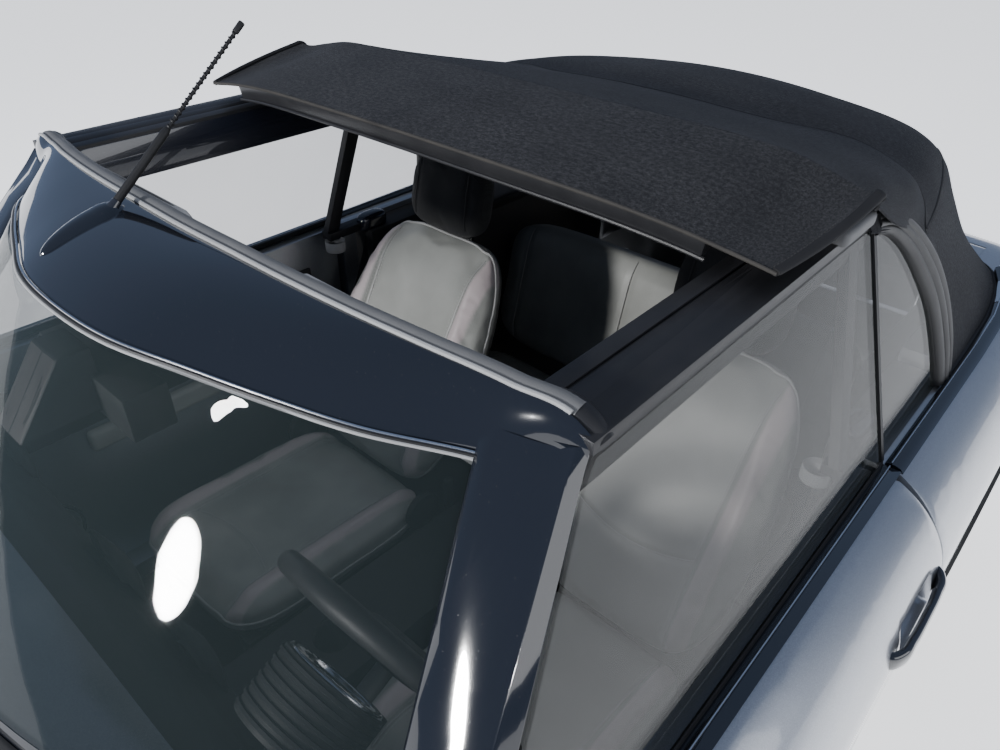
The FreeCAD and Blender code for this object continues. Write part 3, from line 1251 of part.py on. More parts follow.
def wipers():
    """Two wipers at rest along the foot of the windscreen, each with its arm and spindle."""
    pieces = []
    for spindle_y, inner_y, outer_y, share in ((470.0, 40.0, 500.0, 0.05), (-40.0, -500.0, -20.0, 0.1)):
        blade = screen_layer(share, share + 0.035, 14.0, -2.0)
        blade = blade.common(box(-FAR, FAR, inner_y, outer_y, 0.0, 2 * FAR))
        middle = (inner_y + outer_y) / 2
        reach = [foot + (top - foot) * (share + 0.02) for foot, top in zip(SCREEN_FOOT, SCREEN_TOP)]
        arc = screen_arc(reach, -10.0)
        start = arc.distToShape(Part.Vertex(arc.CenterOfMass.x + 200.0, middle, reach[3]))[1][0][0]
        spindle = V(WIPER_SPINDLE_X, spindle_y, COWL_CROWN_Z + 4.0)
        arm = Part.makeCylinder(6.0, (start - spindle).Length, spindle, start - spindle)
        shaft_top = (WIPER_SPINDLE_X, spindle_y, COWL_CROWN_Z + 8.0)
        shaft = rod((WIPER_SPINDLE_X, spindle_y, 950.0), shaft_top, 9.0)
        pieces.append(blade.fuse([arm, shaft]).cut(FORM))
    save("wipers", Part.makeCompound(pieces))


def main():
    screen = windscreen()
    bulkhead = inner_structure()
    frame = windscreen_frame().cut([screen, bulkhead])
    frame = max(frame.Solids, key=lambda solid: solid.Volume)
    save("windscreen", screen)
    save("windscreen_frame", frame)
    front_panels()
    save("grille", grille())
    lamps()
    rear_panels()
    sills_and_arches()
    shell, glass = door_parts()
    trim = door_trim()
    handle = door_handle(shell)
    save("door_left", shell)
    save("door_right", mirrored(shell))
    save("door_left_glass", glass)
    save("door_right_glass", mirrored(glass))
    save("door_left_trim", Part.makeCompound([trim, handle]))
    save("door_right_trim", Part.makeCompound([mirrored(trim), mirrored(handle)]))
    inner_form = soft_top_parts()
    seal = header_fittings(screen, frame)
    save("roof_frame", roof_frame(inner_form).cut([seal, frame]))
    save("roof_panel", roof_panel())
    column = steering()
    cabin(column)
    wipers()
    wheels()
    left = knuckle()
    save("knuckle_left", left)
    save("knuckle_right", mirrored(left))
    suspension()
    underbody()


main()
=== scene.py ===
"""The looks of a compact convertible with its roof half open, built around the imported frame."""

import json
import logging
import math
from dataclasses import dataclass, field
from enum import Enum
from typing import Callable, Sequence

import bpy
import numpy as np
from mathutils import Matrix, Vector

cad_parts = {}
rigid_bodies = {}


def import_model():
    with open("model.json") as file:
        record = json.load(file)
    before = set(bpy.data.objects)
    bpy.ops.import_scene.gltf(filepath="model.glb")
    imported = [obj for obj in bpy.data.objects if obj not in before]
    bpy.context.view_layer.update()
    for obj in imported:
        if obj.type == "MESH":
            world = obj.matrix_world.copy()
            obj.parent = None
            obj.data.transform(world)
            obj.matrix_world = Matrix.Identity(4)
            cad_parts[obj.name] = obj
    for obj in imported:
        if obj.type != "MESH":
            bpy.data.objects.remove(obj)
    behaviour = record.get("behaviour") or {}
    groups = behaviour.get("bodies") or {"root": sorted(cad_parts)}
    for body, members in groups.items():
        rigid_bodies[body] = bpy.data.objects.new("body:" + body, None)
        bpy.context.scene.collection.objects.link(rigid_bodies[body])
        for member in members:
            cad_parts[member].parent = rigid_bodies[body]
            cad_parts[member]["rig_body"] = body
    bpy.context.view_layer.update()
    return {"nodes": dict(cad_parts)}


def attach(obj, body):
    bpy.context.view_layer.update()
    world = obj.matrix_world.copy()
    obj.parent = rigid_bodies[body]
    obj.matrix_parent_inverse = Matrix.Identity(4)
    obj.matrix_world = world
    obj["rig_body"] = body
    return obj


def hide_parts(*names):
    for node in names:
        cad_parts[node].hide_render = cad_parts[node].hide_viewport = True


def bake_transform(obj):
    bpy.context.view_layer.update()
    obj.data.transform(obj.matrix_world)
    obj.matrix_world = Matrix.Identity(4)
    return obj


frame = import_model()

MM = 0.001
WELD = 0.000002
FULL_TURN = 2.0 * math.pi
Colour = tuple[float, float, float]
Point = tuple[float, float, float]
log = logging.getLogger("convertible")


class Body(str, Enum):
    """The moving groups of the car that a piece can ride on."""

    SHELL = "body"
    BONNET = "bonnet"
    TAILGATE = "tailgate"
    DOOR_LEFT = "door_left"
    DOOR_RIGHT = "door_right"
    ROOF_PANEL = "roof_panel"
    STEERING_WHEEL = "steering_wheel"
    KNUCKLE_LEFT = "knuckle_left"
    KNUCKLE_RIGHT = "knuckle_right"
    WHEEL_FRONT_LEFT = "wheel_front_left"
    WHEEL_FRONT_RIGHT = "wheel_front_right"
    WHEEL_REAR_LEFT = "wheel_rear_left"
    WHEEL_REAR_RIGHT = "wheel_rear_right"


# Materials

class Field:
    """A value socket that takes part in ordinary sums, each sign adding its node."""

    def __init__(self, bench: "ShaderBench", socket: bpy.types.NodeSocket) -> None:
        """Wraps a socket of the bench's material."""
        self.bench = bench
        self.socket = socket

    def _sum(self, operation: str, first: "Field | float", second: "Field | float" = 0.0) -> "Field":
        """Adds one Math node.

        Args:
            operation: the Math node's operation.
            first: the first value or field.
            second: the second value or field.

        Returns:
            The node's result.
        """
        made = self.bench.node("ShaderNodeMath", {"operation": operation}, {0: first, 1: second})
        return Field(self.bench, made.outputs[0])

    def __add__(self, other: "Field | float") -> "Field":
        """Sum with a field or number."""
        return self._sum("ADD", self, other)

    def __radd__(self, other: float) -> "Field":
        """Sum with a number on the left."""
        return self._sum("ADD", other, self)

    def __sub__(self, other: "Field | float") -> "Field":
        """Difference from a field or number."""
        return self._sum("SUBTRACT", self, other)

    def __rsub__(self, other: float) -> "Field":
        """A number less this field."""
        return self._sum("SUBTRACT", other, self)

    def __mul__(self, other: "Field | float") -> "Field":
        """Product with a field or number."""
        return self._sum("MULTIPLY", self, other)

    def __rmul__(self, other: float) -> "Field":
        """Product with a number on the left."""
        return self._sum("MULTIPLY", other, self)

    def __gt__(self, level: "Field | float") -> "Field":
        """1 where the field is above a level, else 0."""
        return self._sum("GREATER_THAN", self, level)

    def __lt__(self, level: "Field | float") -> "Field":
        """1 where the field is below a level, else 0."""
        return self._sum("LESS_THAN", self, level)

    def sine(self) -> "Field":
        """The sine of the field, in radians."""
        return self._sum("SINE", self)

    def raised(self, power: float) -> "Field":
        """The field to a power."""
        return self._sum("POWER", self, power)

    def clipped(self) -> "Field":
        """The field held between 0 and 1."""
        made = self.bench.node("ShaderNodeClamp", {}, {"Value": self})
        return Field(self.bench, made.outputs[0])


class ShaderBench:
    """The node tree of one material, with a method for each kind of work on it."""

    def __init__(self, name: str) -> None:
        """Starts an empty material of that name."""
        self.material = bpy.data.materials.new(name)
        self.material.use_nodes = True
        self.tree = self.material.node_tree
        self.tree.nodes.clear()

    def node(self, kind: str, settings: dict | None = None, sockets: dict | None = None) -> bpy.types.Node:
        """Adds a node, its settings first and its sockets after.

        Args:
            kind: Blender's name of the node type.
            settings: the node's own settings; "stops" holds a ramp's positions and colours.
            sockets: a value, Field or output for each input, by name or number.

        Returns:
            The new node.
        """
        made = self.tree.nodes.new(kind)
        for name, value in (settings or {}).items():
            if name == "stops":
                elements = made.color_ramp.elements
                while len(elements) < len(value):
                    elements.new(0.5)
                for element, (position, colour) in zip(elements, value):
                    element.position = position
                    element.color = (*colour, 1.0)
            else:
                setattr(made, name, value)
        for name, value in (sockets or {}).items():
            target = made.inputs[name]
            if isinstance(value, Field):
                value = value.socket
            if isinstance(value, bpy.types.NodeSocket):
                self.tree.links.new(value, target)
            elif target.type == "RGBA" and len(value) == 3:
                target.default_value = (*value, 1.0)
            else:
                target.default_value = value
        return made

    def place(self, scale: Sequence[float] = (1.0, 1.0, 1.0), turn: Sequence[float] = (0.0, 0.0, 0.0),
              uv: bool = False) -> bpy.types.NodeSocket:
        """Coordinates in metres on the piece, or on its own map, scaled and turned.

        Args:
            scale: the factor along each axis.
            turn: the turn about each axis, in degrees.
            uv: whether the piece's own map is used.

        Returns:
            The vector output.
        """
        source = self.node("ShaderNodeTexCoord").outputs["UV" if uv else "Object"]
        turned = tuple(math.radians(angle) for angle in turn)
        return self.node("ShaderNodeMapping", {},
                         {"Vector": source, "Rotation": turned, "Scale": scale}).outputs[0]

    def axis(self, vector: bpy.types.NodeSocket, name: str) -> Field:
        """One part of a vector, by its letter."""
        parts = self.node("ShaderNodeSeparateXYZ", {}, {0: vector})
        return Field(self, parts.outputs["XYZ".index(name)])

    def noise(self, vector: bpy.types.NodeSocket, scale: float, detail: float = 3.0,
              rough: float = 0.5) -> Field:
        """Cloudy variation between 0 and 1 at a scale per metre."""
        made = self.node("ShaderNodeTexNoise", {},
                         {"Vector": vector, "Scale": scale, "Detail": detail, "Roughness": rough})
        return Field(self, made.outputs["Fac"])

    def cells(self, vector: bpy.types.NodeSocket, scale: float, feature: str = "F1") -> Field:
        """Distance to the nearest of scattered points, at a scale per metre."""
        made = self.node("ShaderNodeTexVoronoi", {"feature": feature}, {"Vector": vector, "Scale": scale})
        return Field(self, made.outputs["Distance"])

    def blend(self, mask: Field, first: "Colour | bpy.types.NodeSocket",
              second: "Colour | bpy.types.NodeSocket") -> bpy.types.NodeSocket:
        """The first colour where the mask is 0, the second where it is 1."""
        made = self.node("ShaderNodeMix", {"data_type": "RGBA"}, {0: mask, 6: first, 7: second})
        return made.outputs[2]

    def bump(self, height: Field, depth: float, strength: float = 1.0) -> bpy.types.NodeSocket:
        """A normal from a height, its full depth in metres."""
        values = {"Height": height, "Distance": depth, "Strength": strength}
        return self.node("ShaderNodeBump", {}, values).outputs[0]

    def surface(self, **sockets: object) -> bpy.types.Material:
        """Ends the material in one Principled shader.

        Args:
            sockets: the shader's inputs, with underscores for spaces.

        Returns:
            The finished material.
        """
        named = {name.replace("_", " "): value for name, value in sockets.items()}
        shader = self.node("ShaderNodeBsdfPrincipled", {}, named)
        self.node("ShaderNodeOutputMaterial", {}, {"Surface": shader.outputs[0]})
        return self.material


@dataclass(frozen=True)
class Finish:
    """A finish of the car, made into a material the first time it is used."""

    name: str
    slot: str

    def material(self) -> bpy.types.Material:
        """The one material of this finish."""
        found = bpy.data.materials.get(self.name)
        if found is None:
            found = self.mix(ShaderBench(self.name))
        return found

    def mix(self, bench: ShaderBench) -> bpy.types.Material:
        """Builds the material's nodes on a bench."""
        raise NotImplementedError


@dataclass(frozen=True)
class MetallicPaint(Finish):
    """Lacquered metallic car paint with fine flake and a little road dust."""

    deep: Colour = (0.20, 0.215, 0.24)
    light: Colour = (0.52, 0.54, 0.58)

    def mix(self, bench: ShaderBench) -> bpy.types.Material:
        """Flake in the colour and roughness, a clear coat over it."""
        at = bench.place()
        flake = bench.cells(at, 1400.0)
        cloud = bench.noise(at, 3.0, 2.0)
        mask = (flake * 0.8 + cloud * 0.25).clipped()
        colour = bench.blend(mask, self.deep, self.light)
        dust = (bench.noise(at, 260.0, 3.0, 0.7) > 0.66) * bench.noise(at, 9.0)
        return bench.surface(
            Base_Color=bench.blend(dust * 0.35, colour, (0.45, 0.42, 0.38)),
            Metallic=0.82,
            Roughness=0.3 + dust * 0.25,
            Coat_Weight=0.9,
            Coat_Roughness=0.035,
            Normal=bench.bump(bench.cells(at, 900.0), 0.00002),
        )


@dataclass(frozen=True)
class GlossPlastic(Finish):
    """Polished moulded plastic that shows faint haze and dust specks."""

    colour: Colour = (0.006, 0.007, 0.010)
    haze: float = 0.05

    def mix(self, bench: ShaderBench) -> bpy.types.Material:
        """A deep colour under a hard clear surface."""
        at = bench.place()
        specks = (bench.cells(at, 150.0) < 0.055) * bench.noise(at, 14.0)
        wipe = bench.noise(bench.place((6, 40, 3), (0, 0, 24)), 1.0, 3.0)
        return bench.surface(
            Base_Color=bench.blend(specks, self.colour, (0.09, 0.085, 0.08)),
            Roughness=self.haze + specks * 0.3 + wipe * 0.035,
            Coat_Weight=1.0,
            Coat_Roughness=0.02,
        )


@dataclass(frozen=True)
class GrainedPlastic(Finish):
    """Moulded plastic or rubber with a fine stipple and uneven sheen."""

    colour: Colour = (0.02, 0.02, 0.021)
    pale: Colour = (0.05, 0.05, 0.05)
    rough: float = 0.55
    grain: float = 900.0
    depth: float = 0.00008

    def mix(self, bench: ShaderBench) -> bpy.types.Material:
        """Stipple in the normal, wear in the colour and roughness."""
        at = bench.place()
        stipple = bench.cells(at, self.grain)
        wear = bench.noise(at, 22.0, 3.0, 0.6)
        return bench.surface(
            Base_Color=bench.blend((wear * 0.6 + stipple * 0.25).clipped(), self.colour, self.pale),
            Roughness=self.rough + wear * 0.16 - 0.08,
            Specular_IOR_Level=0.28,
            Normal=bench.bump(stipple, self.depth),
        )


@dataclass(frozen=True)
class RoofCloth(Finish):
    """Tightly woven twill of the roof, with paler fibres and a soft sheen."""

    deep: Colour = (0.0045, 0.0048, 0.006)
    fibre: Colour = (0.16, 0.16, 0.168)
    pitch: float = 0.0016
    uv: bool = False

    def mix(self, bench: ShaderBench) -> bpy.types.Material:
        """Crossing threads in height and colour, speckled by loose fibres."""
        at = bench.place(uv=self.uv)
        across = bench.axis(at, "X")
        along = bench.axis(at, "Y")
        if not self.uv:
            along = along + bench.axis(at, "Z") * 0.8
        turns = FULL_TURN / self.pitch
        twill = ((across + along) * turns).sine() * 0.5 + 0.5
        thread = ((across - along * 1.15) * (turns * 1.9)).sine() * 0.5 + 0.5
        lint = bench.noise(at, 620.0, 3.0, 0.75)
        patch = bench.noise(at, 7.0, 3.0, 0.6)
        fleck = (bench.noise(at, 130.0, 3.0, 0.95) * 3.6 - 1.35).clipped()
        weave = (twill * 0.4 + thread * 0.15 + lint * 0.3 + fleck * 0.35).clipped()
        mask = (weave.raised(3.0) * (0.2 + patch * 0.5)).clipped()
        return bench.surface(
            Base_Color=bench.blend(mask, self.deep, self.fibre),
            Roughness=0.86 - weave * 0.08,
            Specular_IOR_Level=0.12,
            Sheen_Weight=0.03,
            Sheen_Roughness=0.4,
            Sheen_Tint=(0.8, 0.86, 1.0, 1.0),
            Normal=bench.bump(weave, 0.00035, 0.9),
        )


@dataclass(frozen=True)
class Hide(Finish):
    """Grained leather with creases and slight shading by wear."""

    deep: Colour = (0.24, 0.245, 0.225)
    light: Colour = (0.47, 0.475, 0.45)
    rough: float = 0.44

    def mix(self, bench: ShaderBench) -> bpy.types.Material:
        """Pebble grain in the height, cloudy tone in the colour, painted sunlight on the bolster strips."""
        at = bench.place()
        warp = bench.noise(at, 60.0, 2.0)
        grain = bench.cells(at, 520.0, "SMOOTH_F1") + warp * 0.3
        crease = bench.noise(bench.place((1.0, 4.0, 1.0)), 26.0, 5.0, 0.65)
        tone = (bench.noise(at, 6.0, 3.0) * 1.3 - 0.15 - grain * 0.12).clipped()
        colour = bench.blend(tone, self.deep, self.light)
        # painted light: the pale rosy colour on the bolster strips stands for sunlight falling on them; the
        # rear mark darkens the back of the pad
        for mark, shade in (("bolster", (0.56, 0.49, 0.49)), ("rear", (0.012, 0.012, 0.013))):
            share = bench.node("ShaderNodeAttribute", {"attribute_name": mark}).outputs["Fac"]
            colour = bench.blend(Field(bench, share), colour, shade)
        return bench.surface(
            Base_Color=colour,
            Roughness=self.rough + grain * 0.12 - crease * 0.1,
            Sheen_Weight=0.05,
            Normal=bench.bump(grain * 0.5 + crease * 0.5, 0.0004, 0.7),
        )


@dataclass(frozen=True)
class MeshCloth(Finish):
    """Open knitted mesh with dark cells between its threads."""

    deep: Colour = (0.003, 0.003, 0.0035)
    thread: Colour = (0.028, 0.028, 0.03)
    pitch: float = 0.0035

    def mix(self, bench: ShaderBench) -> bpy.types.Material:
        """Rounded cells in height and colour."""
        at = bench.place((1.0 / self.pitch,) * 3)
        across, along = bench.axis(at, "Y"), bench.axis(at, "Z") + bench.axis(at, "X") * 0.6
        full = FULL_TURN
        cell = ((across * full).sine() * (along * full).sine() * 0.5 + 0.5).clipped()
        fuzz = bench.noise(bench.place(), 300.0, 3.0, 0.7)
        return bench.surface(
            Base_Color=bench.blend((cell * 0.8 + fuzz * 0.2).clipped(), self.deep, self.thread),
            Roughness=0.8 - cell * 0.15,
            Sheen_Weight=0.08,
            Normal=bench.bump(cell, 0.0006),
        )


@dataclass(frozen=True)
class PaneGlass(Finish):
    """Tinted safety glass: clear face on, mirror-like at a glance."""

    tint: Colour = (0.02, 0.028, 0.027)
    cover: float = 0.32

    def mix(self, bench: ShaderBench) -> bpy.types.Material:
        """A dark sheet whose cover grows with the angle."""
        at = bench.place()
        facing = Field(bench, bench.node("ShaderNodeLayerWeight", {}, {"Blend": 0.32}).outputs["Facing"])
        film = bench.noise(at, 5.0, 3.0, 0.6)
        dust = (bench.cells(at, 90.0) < 0.05) * 0.12
        cover = (self.cover + facing.raised(1.8) * 0.5 + dust + film * 0.04).clipped()
        return bench.surface(
            Base_Color=bench.blend(dust, self.tint, (0.3, 0.29, 0.27)),
            Roughness=0.015 + film * 0.01,
            IOR=1.7,
            Alpha=cover,
        )


@dataclass(frozen=True)
class Metal(Finish):
    """Bare, cast, lacquered or painted metal."""

    colour: Colour = (0.55, 0.55, 0.56)
    dull: Colour = (0.36, 0.36, 0.37)
    rough: float = 0.32
    metallic: float = 0.95
    grain: float = 300.0
    depth: float = 0.0001
    coat: float = 0.0

    def mix(self, bench: ShaderBench) -> bpy.types.Material:
        """Uneven tone, fine grain and a little dirt in patches."""
        at = bench.place()
        grain = bench.noise(at, self.grain, 3.0, 0.7)
        stain = bench.noise(at, 12.0, 3.0, 0.65)
        return bench.surface(
            Base_Color=bench.blend((stain * 0.7 + grain * 0.3).clipped(), self.colour, self.dull),
            Metallic=self.metallic,
            Roughness=self.rough + stain * 0.18 - 0.06,
            Coat_Weight=self.coat,
            Coat_Roughness=0.08,
            Normal=bench.bump(grain, self.depth),
        )


@dataclass(frozen=True)
class TyreRubber(Finish):
    """Tyre rubber, greyed by dust in patches."""

    def mix(self, bench: ShaderBench) -> bpy.types.Material:
        """Dark rubber with brushed-in dust."""
        at = bench.place()
        dust = bench.noise(at, 28.0, 3.0, 0.7)
        pores = bench.noise(at, 700.0, 3.0)
        return bench.surface(
            Base_Color=bench.blend((dust * 1.2 - 0.25).clipped(), (0.012, 0.012, 0.012),
                                   (0.06, 0.057, 0.052)),
            Roughness=0.72 + pores * 0.15,
            Normal=bench.bump(pores, 0.0002),
        )


class Finishes:
    """Every finish the car uses, by its place on the car."""

    PAINT = MetallicPaint("silver_grey_paint", "silver_paint")
    BLACK_GLOSS = GlossPlastic("black_gloss_lacquer", "gloss_black")
    DARK_GLOSS = GlossPlastic("dark_handle_gloss", "gloss_black", (0.012, 0.013, 0.017), 0.12)
    RED_LENS = GlossPlastic("red_lamp_lens", "red_lamp_glass", (0.32, 0.008, 0.008), 0.04)
    TRIM = GrainedPlastic("dark_cabin_plastic", "dark_plastic")
    TRACK = GlossPlastic("rail_track_dark", "dark_plastic", (0.010, 0.012, 0.020), 0.22)
    RAIL_RUBBER = GrainedPlastic("dusty_rail_rubber", "seal_rubber", (0.012, 0.0125, 0.014),
                                 (0.045, 0.045, 0.048), 0.6, 900.0)
    RAIL = GrainedPlastic("soft_touch_rail", "dark_plastic", (0.009, 0.0092, 0.011), (0.024, 0.024, 0.026),
                          0.42, 1400.0)
    ARCH = GrainedPlastic("arch_trim_plastic", "dark_plastic", (0.02, 0.02, 0.02), (0.06, 0.06, 0.06), 0.6,
                          700.0, 0.00015)
    VISOR = GrainedPlastic("visor_grey", "grey_trim", (0.21, 0.215, 0.22), (0.33, 0.33, 0.33), 0.62, 800.0,
                           0.00012)
    SEAL = GrainedPlastic("header_seal_rubber", "seal_rubber", (0.075, 0.077, 0.082), (0.15, 0.15, 0.15),
                          0.6, 1100.0)
    EDGE_RUBBER = GrainedPlastic("glass_edge_rubber", "seal_rubber", (0.006, 0.006, 0.007),
                                 (0.02, 0.02, 0.021), 0.5)
    # Partly wear and partly painted light: the paler brownish patches stand for light on the panel's raised
    # front piping.
    CLOTH_EDGE_WORN_AND_LIT = GrainedPlastic("cloth_edge_worn", "roof_fabric", (0.012, 0.012, 0.013),
                                (0.06, 0.055, 0.048), 0.8)
    CLOTH_EDGE_DARK = GrainedPlastic("cloth_edge_dark", "roof_fabric", (0.006, 0.006, 0.007),
                                     (0.02, 0.02, 0.022), 0.75)
    THREAD_DARK = GrainedPlastic("dark_thread", "roof_fabric", (0.03, 0.03, 0.032), (0.07, 0.068, 0.065),
                                 0.6)
    FASCIA = GrainedPlastic("panel_fascia", "dark_plastic", (0.010, 0.0105, 0.012), (0.024, 0.024, 0.026),
                            0.34, 1200.0, 0.00003)
    CLOTH_MAPPED = RoofCloth("roof_twill_mapped", "roof_fabric", uv=True)
    LEATHER = Hide("pale_grey_leather", "grey_leather")
    PIPING = Hide("seat_piping", "grey_leather", (0.30, 0.30, 0.29), (0.5, 0.5, 0.49), 0.4)
    SEAT_DARK = Hide("dark_seat_side", "grey_leather", (0.010, 0.010, 0.011), (0.03, 0.03, 0.032), 0.5)
    SEAT_MESH = MeshCloth("head_rest_mesh", "roof_fabric")
    STITCH = GrainedPlastic("pale_thread", "grey_leather", (0.5, 0.5, 0.49), (0.66, 0.66, 0.64), 0.6)
    WEBBING = MeshCloth("belt_webbing", "roof_fabric", (0.012, 0.012, 0.013), (0.04, 0.04, 0.042), 0.0022)
    SCREEN = PaneGlass("windscreen_glass", "clear_glass", cover=0.24)
    SIDE_GLASS = PaneGlass("side_window_glass", "tinted_glass", (0.010, 0.013, 0.012), 0.2)
    LAMP_GLASS = PaneGlass("lamp_glass", "lamp_glass", (0.3, 0.32, 0.34), 0.35)
    UNDER_METAL = Metal("underbody_metal", "dark_metal", (0.035, 0.035, 0.036), (0.075, 0.068, 0.06), 0.5,
                        0.4)
    CAST_STEEL = Metal("cast_steel", "cast_steel", (0.16, 0.155, 0.15), (0.09, 0.07, 0.055), 0.55, 0.8,
                       500.0, 0.0003)
    CAST_ALLOY = Metal("cast_alloy", "cast_alloy", (0.42, 0.42, 0.42), (0.25, 0.24, 0.23), 0.48, 0.9,
                       500.0, 0.0003)
    PIPE_STEEL = Metal("exhaust_steel", "bare_steel", (0.4, 0.38, 0.35), (0.2, 0.16, 0.12), 0.4)
    ALLOY = Metal("wheel_alloy", "wheel_alloy", (0.62, 0.63, 0.64), (0.5, 0.5, 0.51), 0.26, 0.9, 900.0,
                  0.00003, 0.6)
    BRIGHT = Metal("bright_trim", "wheel_alloy", (0.75, 0.75, 0.76), (0.6, 0.6, 0.61), 0.14, 1.0, 500.0,
                   0.00001)
    PLATE = GrainedPlastic("blank_plate", "grey_trim", (0.62, 0.62, 0.6), (0.74, 0.74, 0.72), 0.4, 500.0,
                           0.00003)
    TYRE = TyreRubber("tyre_rubber", "tyre_rubber")


# Mesh work

def clear_selection() -> None:
    """Leaves nothing selected and no object in edit mode."""
    if bpy.context.mode != "OBJECT":
        bpy.ops.object.mode_set(mode="OBJECT")
    bpy.ops.object.select_all(action="DESELECT")


def take(piece: bpy.types.Object) -> None:
    """Makes a piece the only selected and active one."""
    clear_selection()
    piece.select_set(True)
    bpy.context.view_layer.objects.active = piece


def edit(piece: bpy.types.Object, pick: Callable[[Vector, Vector], bool] | None = None) -> None:
    """Opens a piece in edit mode with the faces picked by place and normal selected.

    Args:
        piece: the object to edit.
        pick: tells from a face's middle and normal whether it is selected; all are without it.
    """
    take(piece)
    for item in (*piece.data.vertices, *piece.data.edges):
        item.select = False
    for face in piece.data.polygons:
        face.select = pick is None or pick(face.center, face.normal)
    bpy.ops.object.mode_set(mode="EDIT")
    bpy.ops.mesh.select_mode(type="FACE")


def leave() -> None:
    """Goes back to object mode."""
    bpy.ops.object.mode_set(mode="OBJECT")


def modify(piece: bpy.types.Object, kind: str, **settings: object) -> None:
    """Adds a modifier with its settings and applies it."""
    take(piece)
    made = piece.modifiers.new(kind.lower(), kind)
    for name, value in settings.items():
        setattr(made, name, value)
    bpy.ops.object.modifier_apply(modifier=made.name)


def smooth(piece: bpy.types.Object, angle: float = 35.0) -> None:
    """Shades smooth across edges flatter than an angle in degrees."""
    take(piece)
    bpy.ops.object.shade_smooth_by_angle(angle=math.radians(angle))


def settle(piece: bpy.types.Object) -> None:
    """Puts a piece's place into its mesh, its object at the origin."""
    take(piece)
    bpy.ops.object.transform_apply(location=True, rotation=True, scale=True)


def mirrored_piece(piece: bpy.types.Object, name: str) -> bpy.types.Object:
    """A copy of a piece for the car's other side, its faces still pointing outwards."""
    twin = bpy.data.objects.new(name, piece.data.copy())
    bpy.context.scene.collection.objects.link(twin)
    twin.data.transform(Matrix.Scale(-1.0, 4, (0.0, 1.0, 0.0)))
    twin.data.flip_normals()
    return twin


def fit(piece: bpy.types.Object, finish: Finish, body: Body,
        replaces: Sequence[str] = ()) -> bpy.types.Object:
    """Dresses a finished piece, puts it on its body and hides the solids it stands for.

    Args:
        piece: the finished mesh object.
        finish: its finish.
        body: the body it rides on.
        replaces: the CAD nodes it stands for.

    Returns:
        The same piece.
    """
    if not piece.data.materials:
        piece.data.materials.append(finish.material())
    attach(piece, body.value)
    if replaces:
        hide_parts(*replaces)
    log.info("%s: %d faces", piece.name, len(piece.data.polygons))
    return piece


def body_of_node(node: str) -> Body:
    """The body that a CAD node rides on."""
    return Body(frame["nodes"][node]["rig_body"])


Rows = Sequence[Sequence[float]]
Rule = Callable[[np.ndarray, np.ndarray], np.ndarray]
Section = Sequence[tuple[float, float]]


def through(knots: Sequence[float], values: "Rows | np.ndarray", at: np.ndarray) -> np.ndarray:
    """A smooth curve through the rows of a table.

    Args:
        knots: the rising place of each row.
        values: the rows.
        at: the places wanted.

    Returns:
        One row for each place.
    """
    places = np.asarray(knots, float)
    rows = np.asarray(values, float)
    slopes = np.gradient(rows, places, axis=0)
    held = np.clip(at, places[0], places[-1])
    first = np.clip(np.searchsorted(places, held) - 1, 0, len(places) - 2)
    span = (places[first + 1] - places[first])[:, None]
    share = (held - places[first])[:, None] / span
    cubes = (2 * share**3 - 3 * share**2 + 1, share**3 - 2 * share**2 + share,
             3 * share**2 - 2 * share**3, share**3 - share**2)
    return (cubes[0] * rows[first] + cubes[1] * span * slopes[first]
            + cubes[2] * rows[first + 1] + cubes[3] * span * slopes[first + 1])


def spread(points: "Rows | np.ndarray", count: int) -> np.ndarray:
    """Points at even steps along a smooth line through the given ones.

    Args:
        points: the points the line passes through.
        count: how many are wanted.

    Returns:
        The new points.
    """
    rows = np.asarray(points, float)
    knots = np.r_[0.0, np.cumsum(np.linalg.norm(np.diff(rows, axis=0), axis=1))]
    fine = through(knots, rows, np.linspace(0.0, knots[-1], 16 * len(rows)))
    length = np.r_[0.0, np.cumsum(np.linalg.norm(np.diff(fine, axis=0), axis=1))]
    wanted = np.linspace(0.0, length[-1], count)
    return np.stack([np.interp(wanted, length, fine[:, axis]) for axis in range(3)], -1)


def ring(radius: float, sides: int = 10, flat: float = 1.0) -> Section:
    """A round or oval section, its second half-axis a share of the first."""
    angles = [FULL_TURN * i / sides for i in range(sides)]
    return [(radius * math.cos(angle), radius * flat * math.sin(angle)) for angle in angles]


def inset_faces(piece: bpy.types.Object, chosen: Callable[[Vector, Vector], bool],
                *steps: tuple[float, float]) -> None:
    """Insets the chosen faces, once for each step.

    Args:
        piece: the piece.
        chosen: tells from a face's middle and normal whether it is taken.
        steps: the thickness and the depth of each inset, in metres.
    """
    edit(piece, chosen)
    for thickness, depth in steps:
        bpy.ops.mesh.inset(thickness=thickness, depth=depth)
    leave()


def eased(share: float, power: float) -> float:
    """A share raised to a power, with its sign kept."""
    return math.copysign(abs(share) ** power, share)


def placed(x: "np.ndarray | float", y: "np.ndarray | float", z: "np.ndarray | float") -> np.ndarray:
    """Points from their x, y and z, where a plain number holds for all of them."""
    return np.stack(np.broadcast_arrays(x, y, z), -1)


def hoop(radius: float, count: int, middle: Point = (0.0, 0.0, 0.0), axis: int = 2) -> np.ndarray:
    """Points round a circle.

    Args:
        radius: the circle's radius, in millimetres.
        count: how many points it has.
        middle: its middle.
        axis: what it turns about, 0, 1 or 2 for x, y or z.

    Returns:
        The points.
    """
    turn = np.linspace(0.0, FULL_TURN, count, endpoint=False)
    parts = [radius * np.cos(turn), radius * np.sin(turn)]
    parts.insert(axis, 0.0 * turn)
    return np.stack(parts, -1) + np.array(middle)


